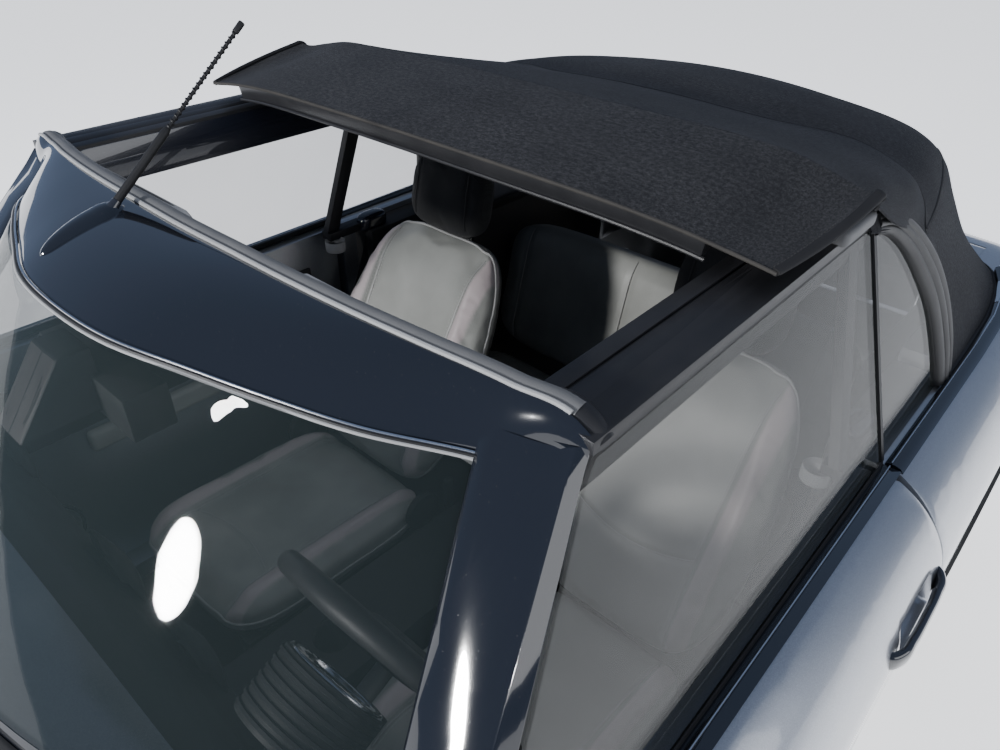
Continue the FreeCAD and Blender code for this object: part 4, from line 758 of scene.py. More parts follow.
def shaped_sheet(name: str, columns: int, rows: int, rule: Rule,
                 map_size: tuple[float, float] = (1.0, 1.0)) -> bpy.types.Object:
    """A grid whose points are moved to where a rule lays them.

    Args:
        name: the piece's name.
        columns: the faces across.
        rows: the faces along.
        rule: gives x, y, z in millimetres from the shares across and along.
        map_size: the size of the sheet's map, in metres.

    Returns:
        The new object.
    """
    clear_selection()
    bpy.ops.mesh.primitive_grid_add(x_subdivisions=columns, y_subdivisions=rows, size=1.0, calc_uvs=True)
    piece = bpy.context.object
    piece.name = name
    mesh = piece.data
    mesh.name = name
    flat = np.empty(3 * len(mesh.vertices), np.float32)
    mesh.vertices.foreach_get("co", flat)
    shares = flat.reshape(-1, 3)[:, :2] + 0.5
    points = np.asarray(rule(shares[:, 0], shares[:, 1]), float) * MM
    mesh.vertices.foreach_set("co", points.astype(np.float32).ravel())
    corners = np.empty(len(mesh.loops), np.int32)
    mesh.loops.foreach_get("vertex_index", corners)
    chart = shares[corners] * np.array(map_size)
    mesh.uv_layers.active.data.foreach_set("uv", chart.astype(np.float32).ravel())
    mesh.update()
    return piece


def even_faces(piece: bpy.types.Object, weld: float = 0.00003, close: bool = False) -> None:
    """Welds a piece's meeting points and turns its faces outwards.

    Args:
        piece: the piece.
        weld: the distance in metres under which points are joined.
        close: whether open ends are filled first.
    """
    edit(piece)
    bpy.ops.mesh.remove_doubles(threshold=weld)
    if close:
        bpy.ops.mesh.select_all(action="SELECT")
        bpy.ops.mesh.fill_holes(sides=0)
    bpy.ops.mesh.select_all(action="SELECT")
    bpy.ops.mesh.normals_make_consistent(inside=False)
    leave()


def arched(start: np.ndarray, middle: np.ndarray, end: np.ndarray, along: np.ndarray) -> np.ndarray:
    """Points at shares of the parabolas that pass through rows of three points."""
    control = 2.0 * middle - (start + end) / 2.0
    part = along[:, None]
    return (1 - part) ** 2 * start + 2 * part * (1 - part) * control + part**2 * end


def thicken(piece: bpy.types.Object, wall: float, offset: float = -1.0) -> None:
    """Gives a sheet its wall and closes it.

    Args:
        piece: the sheet.
        wall: its thickness, in millimetres.
        offset: -1 for a wall under the sheet, 0 for one on both sides.
    """
    modify(piece, "SOLIDIFY", thickness=wall * MM, offset=offset)
    even_faces(piece, WELD)


def round_edges(piece: bpy.types.Object, width: float, angle: float = 40.0, segments: int = 2) -> None:
    """Rounds the edges of a piece that are sharper than an angle.

    Args:
        piece: the piece.
        width: the rounding's width, in millimetres.
        angle: the least angle, in degrees.
        segments: the faces across the rounding.
    """
    modify(piece, "BEVEL", width=width * MM, segments=segments, limit_method="ANGLE",
           angle_limit=math.radians(angle))


def swept(name: str, path: "Rows | np.ndarray", section: Section,
          up: "Point | np.ndarray" = (0.0, 0.0, 1.0),
          scale: Callable[[float], float] | None = None, closed: bool = False,
          angle: float = 40.0) -> bpy.types.Object:
    """A bar of one section along a path.

    Args:
        path: the path's points, in millimetres.
        section: the section's corners as side and height, in millimetres.
        up: the direction of the section's height, one for all or one for each point.
        scale: the section's size from the share of the path's length.
        closed: whether the path runs round to its start.
        angle: the shading angle.

    Returns:
        The new closed bar.
    """
    points = np.asarray(path, float)
    corners = np.asarray(section, float)
    if closed:
        step = np.roll(points, -1, axis=0) - np.roll(points, 1, axis=0)
    else:
        step = np.gradient(points, axis=0)
    ahead = step / np.linalg.norm(step, axis=1)[:, None]
    side = np.cross(ahead, np.broadcast_to(np.asarray(up, float), ahead.shape))
    side /= np.linalg.norm(side, axis=1)[:, None]
    raised = np.cross(side, ahead)
    count = len(points)
    sizes = np.ones(count)
    if scale is not None:
        sizes = np.array([scale(i / (count - 1.0)) for i in range(count)])

    def rule(across: np.ndarray, along: np.ndarray) -> np.ndarray:
        """The place of each corner of each section."""
        corner = np.rint(across * len(corners)).astype(int) % len(corners)
        spot = np.rint(along * (count if closed else count - 1)).astype(int) % count
        grown = corners[corner] * sizes[spot][:, None]
        return points[spot] + side[spot] * grown[:, :1] + raised[spot] * grown[:, 1:]

    piece = shaped_sheet(name, len(corners), count if closed else count - 1, rule)
    even_faces(piece, close=not closed)
    smooth(piece, angle)
    return piece


def block(name: str, low: Point, high: Point, round_by: float = 2.0, steps: int = 3) -> bpy.types.Object:
    """A box between two corners with rounded edges, in millimetres."""
    clear_selection()
    middle = tuple((a + b) * 0.5 * MM for a, b in zip(low, high))
    size = tuple((b - a) * MM for a, b in zip(low, high))
    bpy.ops.mesh.primitive_cube_add(size=1.0, location=middle, scale=size)
    piece = bpy.context.object
    piece.name = name
    settle(piece)
    edit(piece)
    bpy.ops.mesh.bevel(offset=round_by * MM, segments=steps, affect="EDGES", clamp_overlap=True)
    leave()
    smooth(piece)
    return piece


def rod(name: str, start: Point, end: Point, radius: float, sides: int = 24,
        bevel: float = 1.0) -> bpy.types.Object:
    """A round bar between two points with eased ends, in millimetres."""
    clear_selection()
    first, last = Vector(start) * MM, Vector(end) * MM
    turn = (last - first).to_track_quat("Z", "Y").to_euler()
    bpy.ops.mesh.primitive_cylinder_add(vertices=sides, radius=radius * MM, depth=(last - first).length,
                                        location=(first + last) / 2.0, rotation=turn)
    piece = bpy.context.object
    piece.name = name
    settle(piece)
    if bevel:
        round_edges(piece, bevel, 60.0)
    smooth(piece)
    return piece


def joined(name: str, pieces: Sequence[bpy.types.Object]) -> bpy.types.Object:
    """One object made of several, named anew."""
    clear_selection()
    for piece in pieces:
        piece.select_set(True)
    bpy.context.view_layer.objects.active = pieces[0]
    if len(pieces) > 1:
        bpy.ops.object.join()
    pieces[0].name = name
    pieces[0].data.name = name
    return pieces[0]


def copied(piece: bpy.types.Object, name: str, place: Matrix) -> bpy.types.Object:
    """A copy of a piece with its own mesh, moved by a matrix."""
    twin = bpy.data.objects.new(name, piece.data.copy())
    bpy.context.scene.collection.objects.link(twin)
    twin.data.transform(place)
    return twin


def row_of(name: str, path: np.ndarray, size: Point, up: "Point | np.ndarray" = (0.0, 0.0, 1.0),
           gap: float = 2.0) -> bpy.types.Object:
    """A row of stitches along a path, each a small crowned thread.

    Args:
        name: the row's name.
        path: the line the stitches follow, in millimetres.
        size: a stitch's length, width and height, in millimetres.
        up: the direction the stitches stand out in, one for all or one for each point.
        gap: the gap between two stitches, in millimetres.

    Returns:
        The whole row as one object.
    """
    clear_selection()
    bpy.ops.mesh.primitive_uv_sphere_add(segments=6, ring_count=4, radius=0.5)
    thread = bpy.context.object
    thread.data.transform(Matrix.Diagonal((*(value * MM for value in size), 1.0)))
    length = float(np.linalg.norm(np.diff(path, axis=0), axis=1).sum())
    points = spread(path, max(2, int(length / (size[0] + gap))))
    raised = np.asarray(up, float)
    ups = raised if raised.ndim == 1 else spread(raised, len(points))
    ups = np.broadcast_to(ups, points.shape)
    steps = np.gradient(points, axis=0)
    threads = []
    for point, step, lift in zip(points, steps, ups):
        ahead = Vector(step).normalized()
        side = Vector(lift).cross(ahead).normalized()
        turn = Matrix((ahead, side, ahead.cross(side))).transposed().to_4x4()
        threads.append(copied(thread, name + "_thread", Matrix.Translation(Vector(point) * MM) @ turn))
    bpy.data.objects.remove(thread)
    whole = joined(name, threads)
    take(whole)
    bpy.ops.object.shade_smooth()
    return whole


def pair(piece: bpy.types.Object, finish: Finish, left: Body, right: Body | None = None,
         replaces: tuple[Sequence[str], Sequence[str]] = ((), ())) -> None:
    """Fits a left-hand piece and its mirrored twin.

    Args:
        piece: the left-hand piece.
        finish: the finish of both.
        left: the body of the left one.
        right: the body of the right one, the same where none is given.
        replaces: the CAD nodes that the left and the right one stand for.
    """
    name = piece.name
    twin = mirrored_piece(piece, name + "_right")
    piece.name = name + "_left"
    fit(piece, finish, left, replaces[0])
    fit(twin, finish, right or left, replaces[1])


def node_copy(node: str, name: str) -> bpy.types.Object:
    """A merged copy of a CAD node's mesh as a new piece.

    Args:
        node: the CAD node.
        name: the new piece's name.

    Returns:
        The new object, its flat triangles joined into larger faces.
    """
    piece = bpy.data.objects.new(name, frame["nodes"][node].data.copy())
    bpy.context.scene.collection.objects.link(piece)
    piece.data.materials.clear()
    take(piece)
    if piece.data.has_custom_normals:
        bpy.ops.mesh.customdata_custom_splitnormals_clear()
    edit(piece)
    bpy.ops.mesh.remove_doubles(threshold=0.00002)
    bpy.ops.mesh.dissolve_limited(angle_limit=math.radians(0.3))
    leave()
    return piece


@dataclass
class Skin:
    """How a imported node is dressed: its finish, softened edges and shading angle."""

    node: str
    finish: Finish
    soften: float = 0.0
    angle: float = 32.0

    def build(self) -> None:
        """Makes the dressed copy that stands for the node."""
        piece = node_copy(self.node, self.node + "_skin")
        if self.soften:
            round_edges(piece, self.soften)
        smooth(piece, self.angle)
        fit(piece, self.finish, body_of_node(self.node), (self.node,))


@dataclass
class Shell:
    """The painted panels and rigid fittings whose solids already have the right form."""

    panel_edge: float = 1.6
    fitting_edge: float = 2.5

    def build(self) -> None:
        """Dresses each node by its finish."""
        for node in ("front_wings", "bonnet", "nose_panel", "front_bumper", "rear_quarters", "rear_bumper",
                     "rear_deck", "tailgate", "sills", "bulkhead", "door_left", "door_right"):
            Skin(node, Finishes.PAINT, self.panel_edge).build()
        for node, finish in (
            ("floor_pan", Finishes.UNDER_METAL), ("inner_wings", Finishes.UNDER_METAL),
            ("front_carrier", Finishes.UNDER_METAL), ("grille", Finishes.TRIM),
            ("wheel_arch_trims", Finishes.ARCH), ("roof_frame", Finishes.RAIL),
            ("inside_mirror", Finishes.TRIM), ("dashboard", Finishes.TRIM),
            ("centre_console", Finishes.TRIM), ("cabin_side_linings", Finishes.TRIM),
            ("wipers", Finishes.TRIM), ("knuckle_left", Finishes.CAST_STEEL),
            ("knuckle_right", Finishes.CAST_STEEL), ("front_subframe", Finishes.UNDER_METAL),
            ("rear_axle", Finishes.UNDER_METAL), ("engine_block", Finishes.CAST_ALLOY),
            ("exhaust", Finishes.PIPE_STEEL), ("windscreen", Finishes.SCREEN),
            ("headlamps", Finishes.LAMP_GLASS),
            ("tail_lamps", Finishes.RED_LENS), ("door_left_glass", Finishes.SIDE_GLASS),
            ("door_right_glass", Finishes.SIDE_GLASS), ("quarter_windows", Finishes.SIDE_GLASS),
            ("steering_column", Finishes.TRIM),
        ):
            Skin(node, finish, 0.0 if "glass" in node or "window" in node else self.fitting_edge).build()
        for place in ("front_left", "front_right", "rear_left", "rear_right"):
            Skin("rim_" + place, Finishes.ALLOY, self.fitting_edge).build()


# Roof

@dataclass
class SoftTop:
    """The stretched cloth: the sliding panel's cover, the fold behind it and the fixed canopy."""

    # x, then y and z of the crown, roof edge, shoulder, side top and belt
    sections: Rows = (
        (-566, 1438, 545, 1410, 588, 1385, 602, 1330, 722),
        (-720, 1408, 545, 1370, 598, 1334, 614, 1292, 722),
        (-900, 1364, 520, 1318, 580, 1276, 606, 1235, 722),
        (-1080, 1362, 500, 1308, 560, 1265, 590, 1215, 722),
        (-1240, 1345, 470, 1292, 536, 1245, 568, 1190, 718),
        (-1345, 1312, 440, 1262, 520, 1205, 556, 1140, 706),
        (-1430, 1228, 440, 1180, 520, 1130, 560, 1075, 688),
        (-1510, 1120, 440, 1085, 525, 1050, 570, 1010, 652),
        (-1580, 1000, 440, 988, 500, 978, 530, 965, 560),
    )
    section_knots: Sequence[float] = (0.0, 0.21, 0.42, 0.56, 0.66, 0.83, 1.0)
    belt_z: float = 946.0
    # share along the section, x of the canopy's front edge there
    bow_line: Rows = (
        (0.0, -900.0), (0.21, -925.0), (0.33, -985.0), (0.42, -957.0), (0.56, -935.0),
        (0.66, -885.0), (0.75, -915.0), (0.83, -950.0), (0.92, -978.0), (1.0, -962.0),
    )
    fold_share: float = 0.66
    # share along the section, x, y, z of the panel's crease there
    crease: Rows = (
        (0, -500, 0, 1448),
        (0.21, -507, 270, 1445),
        (0.33, -509, 419, 1441),
        (0.42, -506, 500, 1432),
        (0.56, -499, 572, 1417),
        (0.66, -494, 606, 1405),
    )
    # share from the middle to the hem, then x, y, z of the front edge, of the middle and of the crease
    panel: Rows = (
        (0, -225, 0, 1423, -365, 0, 1439, -500, 0, 1449),
        (0.22, -229, 180, 1420, -368, 180, 1436, -505, 180, 1447),
        (0.44, -240, 370, 1412, -374, 370, 1430, -509, 370, 1443),
        (0.60, -249, 470, 1402, -378, 472, 1420, -508, 475, 1439),
        (0.74, -254, 530, 1393, -378, 536, 1404, -504, 542, 1427),
        (0.88, -258, 572, 1386, -372, 583, 1396, -497, 588, 1417),
        (1, -259, 590, 1383, -366, 610, 1401, -487, 617, 1419),
    )
    cloth: float = 3.0
    slide_start: Point = (-0.56, 0.0, 1.43)
    slide_end: Point = (-0.90, 0.0, 1.36)
    window_half: float = 420.0
    window_low: float = 1010.0
    window_top: float = 1195.0

    def build(self) -> None:
        """Makes every cloth, its edges, seams and stiffeners."""
        self.cover_panel()
        self.stiffen_panel()
        self.edge_panel()
        self.lay_fold()
        self.stretch_canopy()
        self.sew_canopy()
        self.seat_rear_window()

    def skin(self, x: np.ndarray, share: np.ndarray) -> np.ndarray:
        """Points of the roof's stretched surface.

        Args:
            x: the places along the car.
            share: the shares of the section from the crown down to the belt.

        Returns:
            The points, in millimetres.
        """
        table = np.array(self.sections)
        row = through(-table[:, 0], table[:, 1:], -x)
        crown, edge_y, edge_z, shoulder_y, shoulder_z, side_y, side_z, belt_y = row.T
        sag = 4.0
        ys = (0.0 * crown, edge_y / 2.0, edge_y, shoulder_y, side_y, (side_y + belt_y) / 2.0 - sag, belt_y)
        drop = crown - edge_z
        waist_z = (side_z + self.belt_z) / 2.0
        zs = (crown, crown - drop * 0.25, edge_z, shoulder_z, side_z, waist_z, self.belt_z + 0.0 * crown)
        knots = np.array(self.section_knots)
        first = np.clip(np.searchsorted(knots, share) - 1, 0, len(knots) - 2)
        points = np.stack((np.stack(ys, -1), np.stack(zs, -1)), -1)
        slopes = np.gradient(points, knots, axis=1)
        slopes[:, 0, 1] = 0.0
        span = (knots[first + 1] - knots[first])[:, None]
        part = (share - knots[first])[:, None] / span
        every = np.arange(len(x))
        low, high = points[every, first], points[every, first + 1]
        low_slope, high_slope = slopes[every, first], slopes[every, first + 1]
        place = ((2 * part**3 - 3 * part**2 + 1) * low + (part**3 - 2 * part**2 + part) * span * low_slope
                 + (3 * part**2 - 2 * part**3) * high + (part**3 - part**2) * span * high_slope)
        return np.stack((x, place[:, 0], place[:, 1]), -1)

    def bow_x(self, share: np.ndarray) -> np.ndarray:
        """The x of the canopy's front edge at shares of the section."""
        table = np.array(self.bow_line)
        return through(table[:, 0], table[:, 1:], share)[:, 0]

    def panel_point(self, share: np.ndarray, along: np.ndarray) -> np.ndarray:
        """Points of the panel's cover.

        Args:
            share: the shares from the middle of the car to the hem.
            along: the shares from the front edge to the crease.

        Returns:
            The points, in millimetres.
        """
        table = np.array(self.panel)
        row = through(table[:, 0], table[:, 1:], share)
        front, middle, crease = row[:, :3], row[:, 3:6], row[:, 6:]
        return arched(front, middle, crease, along)

    def cover_panel(self) -> None:
        """The cloth over the sliding panel, curled down at its front edge and at the crease."""

        def rule(across: np.ndarray, along: np.ndarray) -> np.ndarray:
            """The cover's points, its first and last strips turned under."""
            share = np.abs(2.0 * across - 1.0)
            part = np.clip((along - 0.05) / 0.92, 0.0, 1.0)
            points = self.panel_point(share, part)
            ahead = np.clip((0.05 - along) / 0.05, 0.0, 1.0)
            behind = np.clip((along - 0.97) / 0.03, 0.0, 1.0)
            points[:, 0] += 3.0 * np.sin(ahead * math.pi) - 7.0 * behind
            points[:, 2] -= 5.0 * ahead + 4.0 * behind
            waves = np.sin(points[:, 0] * 0.021 + share * 5.0)
            points[:, 2] += 1.2 * waves * np.clip(share * 4.0 - 2.6, 0.0, 1.0)
            points[:, 1] *= np.where(across < 0.5, -1.0, 1.0)
            return points

        cover = shaped_sheet("roof_panel_cover", 150, 56, rule, (1.30, 0.32))
        thicken(cover, self.cloth)
        smooth(cover, 60.0)
        fit(cover, Finishes.CLOTH_MAPPED, Body.ROOF_PANEL, ("roof_panel",))

    def stiffen_panel(self) -> None:
        """The stiff board under the cover, its front face showing as a dark strip."""

        def rule(across: np.ndarray, along: np.ndarray) -> np.ndarray:
            """The board's upper face, just under the cloth."""
            share = np.abs(2.0 * across - 1.0) * 0.66
            points = self.panel_point(share, 0.015 + along * 0.97)
            points[:, 2] -= self.cloth + 1.0
            points[:, 1] *= np.where(across < 0.5, -1.0, 1.0)
            return points

        board = shaped_sheet("roof_panel_board", 60, 16, rule, (1.0, 0.3))
        thicken(board, 26.0)
        round_edges(board, 2.0, 50.0)
        smooth(board)
        fit(board, Finishes.FASCIA, Body.ROOF_PANEL)
        shares = np.linspace(-1.0, 1.0, 70)
        line = self.panel_point(np.abs(shares) * 0.66, np.full(70, 0.012))
        line[:, 1] *= np.sign(shares)
        line += np.array((-4, 0, -31))
        lip = swept("roof_panel_lip", line, ring(3.2, 8))
        fit(lip, Finishes.RAIL, Body.ROOF_PANEL)

    def edge_panel(self) -> None:
        """The front edge's piping, the curled side hems, their stitching and the skirts below them."""
        shares = np.linspace(-1.0, 1.0, 120)
        line = self.panel_point(np.abs(shares), np.zeros(120))
        line[:, 1] *= np.sign(shares)
        line += np.array((1.0, 0.0, -2.5))
        piping = swept("roof_panel_front_piping", line, ring(2.6, 8))
        fit(piping, Finishes.CLOTH_EDGE_WORN_AND_LIT, Body.ROOF_PANEL)

        along = np.linspace(0.0, 1.0, 60)
        edge = self.panel_point(np.ones(60), along)
        tail = np.array(((-497, 615, 1413), (-501, 611, 1404), (-498, 606, 1395)))
        path = spread(np.vstack((edge[::4], edge[-1:], tail)), 70)
        hem = swept("roof_hem", path, [(-9.0, -1.5), (-8.0, 2.5), (-2.0, 3.8), (4.5, 2.6), (6.5, -1.0),
                                       (3.0, -4.0), (-6.0, -3.4)],
                    (0.0, 0.35, 1.0), lambda share: 0.75 + 0.35 * share, angle=60.0)
        pair(hem, Finishes.CLOTH_EDGE_DARK, Body.ROOF_PANEL)
        for order, inset in enumerate((0.965, 0.935)):
            row = self.panel_point(np.full(60, inset), along[:]) + np.array((0.0, 0.0, 0.6))
            ahead = self.panel_point(np.full(60, inset + 0.02), along) - row
            step = np.gradient(row, axis=0)
            lift = np.cross(ahead, step)
            lift *= np.sign(lift[:, 2:])
            pair(row_of("roof_hem_stitches_%d" % order, row[2:-2], (4.2, 1.0, 0.9), lift[2:-2], 2.0),
                 Finishes.THREAD_DARK, Body.ROOF_PANEL)

        def skirt_rule(across: np.ndarray, along: np.ndarray) -> np.ndarray:
            """The outer side of the panel below its hem."""
            spot = self.panel_point(np.ones_like(along), along)
            drop = np.interp(along, (0.0, 0.35, 0.8, 1.0), (5, 14, 24, 22))
            spot[:, 2] -= drop * across
            inward = np.interp(along, (0.0, 1.0), (4.0, 12.0)) * across
            spot[:, 1] += 3.0 * np.sin(across * math.pi) - inward
            return spot

        skirt = shaped_sheet("roof_skirt", 8, 40, skirt_rule, (0.03, 0.30))
        thicken(skirt, self.cloth, 0.0)
        smooth(skirt, 60.0)
        pair(skirt, Finishes.CLOTH_EDGE_DARK, Body.ROOF_PANEL)

    def lay_fold(self) -> None:
        """The cloth from the panel's crease back to the canopy's bow."""

        def rule(across: np.ndarray, along: np.ndarray) -> np.ndarray:
            """A sheet drawn from the crease through the middle section to the bow."""
            share = np.abs(2.0 * across - 1.0) * self.fold_share
            table = np.array(self.crease)
            start = through(table[:, 0], table[:, 1:], share)
            middle = self.skin(np.full_like(share, -715.0), share)
            bow = self.bow_x(share)
            end = self.skin(bow - 14.0, share) + np.array((0.0, 0.0, -3.5))
            points = arched(start, middle, end, along)
            slack = np.sin(along * math.pi) * np.clip((share - 0.30) / 0.2, 0.0, 1.0)
            points[:, 2] += 1.6 * slack * np.sin(along * 13.0 + share * 21.0)
            points[:, 1] *= np.where(across < 0.5, -1.0, 1.0)
            return points

        fold = shaped_sheet("roof_fold", 130, 64, rule, (1.45, 0.46))
        thicken(fold, self.cloth)
        smooth(fold, 60.0)
        fold.data.materials.append(Finishes.CLOTH_MAPPED.material())
        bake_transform(fold)
        log.info("roof_fold: %d faces", len(fold.data.polygons))

    def stretch_canopy(self) -> None:
        """The fixed cloth from its front bow to the deck, open at the rear window."""

        def rule(across: np.ndarray, along: np.ndarray) -> np.ndarray:
            """Points from the bow line to the foot of the rear."""
            share = np.abs(2.0 * across - 1.0)
            start = self.bow_x(share)
            x = start + (-1579.0 - start) * along
            points = self.skin(x, share)
            pull = np.sin(along * 9.0 + share * 14.0) * np.clip(share - 0.5, 0.0, 0.3) * 3.0
            points[:, 1] += pull
            points[:, 1] *= np.where(across < 0.5, -1.0, 1.0)
            return points

        canopy = shaped_sheet("roof_canopy", 150, 74, rule, (1.75, 0.70))
        thicken(canopy, self.cloth)
        cutter = block("window_cutter", (-1700.0, -self.window_half, self.window_low),
                       (-1330.0, self.window_half, self.window_top), 40.0, 5)
        modify(canopy, "BOOLEAN", object=cutter, operation="DIFFERENCE", solver="EXACT")
        bpy.data.objects.remove(cutter)
        smooth(canopy, 60.0)
        fit(canopy, Finishes.CLOTH_MAPPED, Body.SHELL, ("soft_top",))

    def sew_canopy(self) -> None:
        """The bow's lip, the shoulder seams and the rubber along the canopy's foot."""
        shares = np.linspace(-self.fold_share, self.fold_share, 110)
        line = self.skin(self.bow_x(np.abs(shares)) + 2.0, np.abs(shares))
        line[:, 1] *= np.sign(shares)
        lip = swept("canopy_front_piping", line + np.array((0.0, 0.0, -2.0)), ring(2.8, 8), (0.3, 0.0, 1.0))
        fit(lip, Finishes.CLOTH_EDGE_DARK, Body.SHELL)
        x = np.linspace(-893.0, -1300.0, 60)
        share = np.interp(-x, (893, 1000, 1150, 1300), (0.66, 0.63, 0.57, 0.50))
        seam = self.skin(x, share)
        outward = np.array((0.0, 0.7, 0.7))
        pair(swept("canopy_seam", seam, ring(2.2, 8, 0.6), outward), Finishes.CLOTH_EDGE_DARK, Body.SHELL)
        row = self.skin(x, share + 0.012) + outward * 0.6
        pair(row_of("canopy_seam_stitches", row, (4.2, 0.9, 0.8), outward, 2.2), Finishes.THREAD_DARK,
             Body.SHELL)
        x = np.r_[np.linspace(-958.0, -1500.0, 40), np.linspace(-1510.0, -1579.0, 14)]
        foot = self.skin(x, np.ones_like(x))
        foot = np.vstack((foot, foot[::-1] * np.array((1.0, -1.0, 1.0))))
        rubber = swept("canopy_foot_rubber", spread(foot, 130),
                       [(-7.0, -5.0), (-7.0, 3.0), (-3.0, 7.0), (2.0, 5.0), (5.0, -1.0), (4.0, -5.0)])
        fit(rubber, Finishes.EDGE_RUBBER, Body.SHELL)

    def seat_rear_window(self) -> None:
        """The rear glass and its rubber frame."""
        Skin("rear_window", Finishes.SIDE_GLASS).build()
        half, low, top, corner = self.window_half, self.window_low, self.window_top, 40.0
        loop = []
        for y, z, start in ((half, top, 0.0), (-half, top, 90.0), (-half, low, 180.0), (half, low, 270.0)):
            middle_y = y - math.copysign(corner, y)
            middle_z = z - corner if z == top else z + corner
            for step in range(7):
                angle = math.radians(start + step * 15.0)
                loop.append((middle_y + corner * math.cos(angle), middle_z + corner * math.sin(angle)))
        fine = []
        for (y0, z0), (y1, z1) in zip(loop, loop[1:] + loop[:1]):
            count = max(1, int(math.hypot(y1 - y0, z1 - z0) / 25.0))
            fine += [(y0 + (y1 - y0) * i / count, z0 + (z1 - z0) * i / count) for i in range(count)]
        xs = np.linspace(-1330.0, -1579.0, 300)
        path = []
        for y, z in fine:
            share = np.clip(np.full_like(xs, abs(y) / 440.0 * 0.42), 0.0, 0.42)
            column = self.skin(xs, share)
            path.append((float(np.interp(z, column[::-1, 2], column[::-1, 0])), y, z))
        frame_bar = swept("rear_window_rubber", np.array(path),
                          [(-9.0, -2.0), (-8.0, 3.0), (0.0, 4.5), (8.0, 3.0), (9.0, -2.0)],
                          (-0.85, 0.0, 0.52), closed=True)
        fit(frame_bar, Finishes.EDGE_RUBBER, Body.SHELL)


# Header

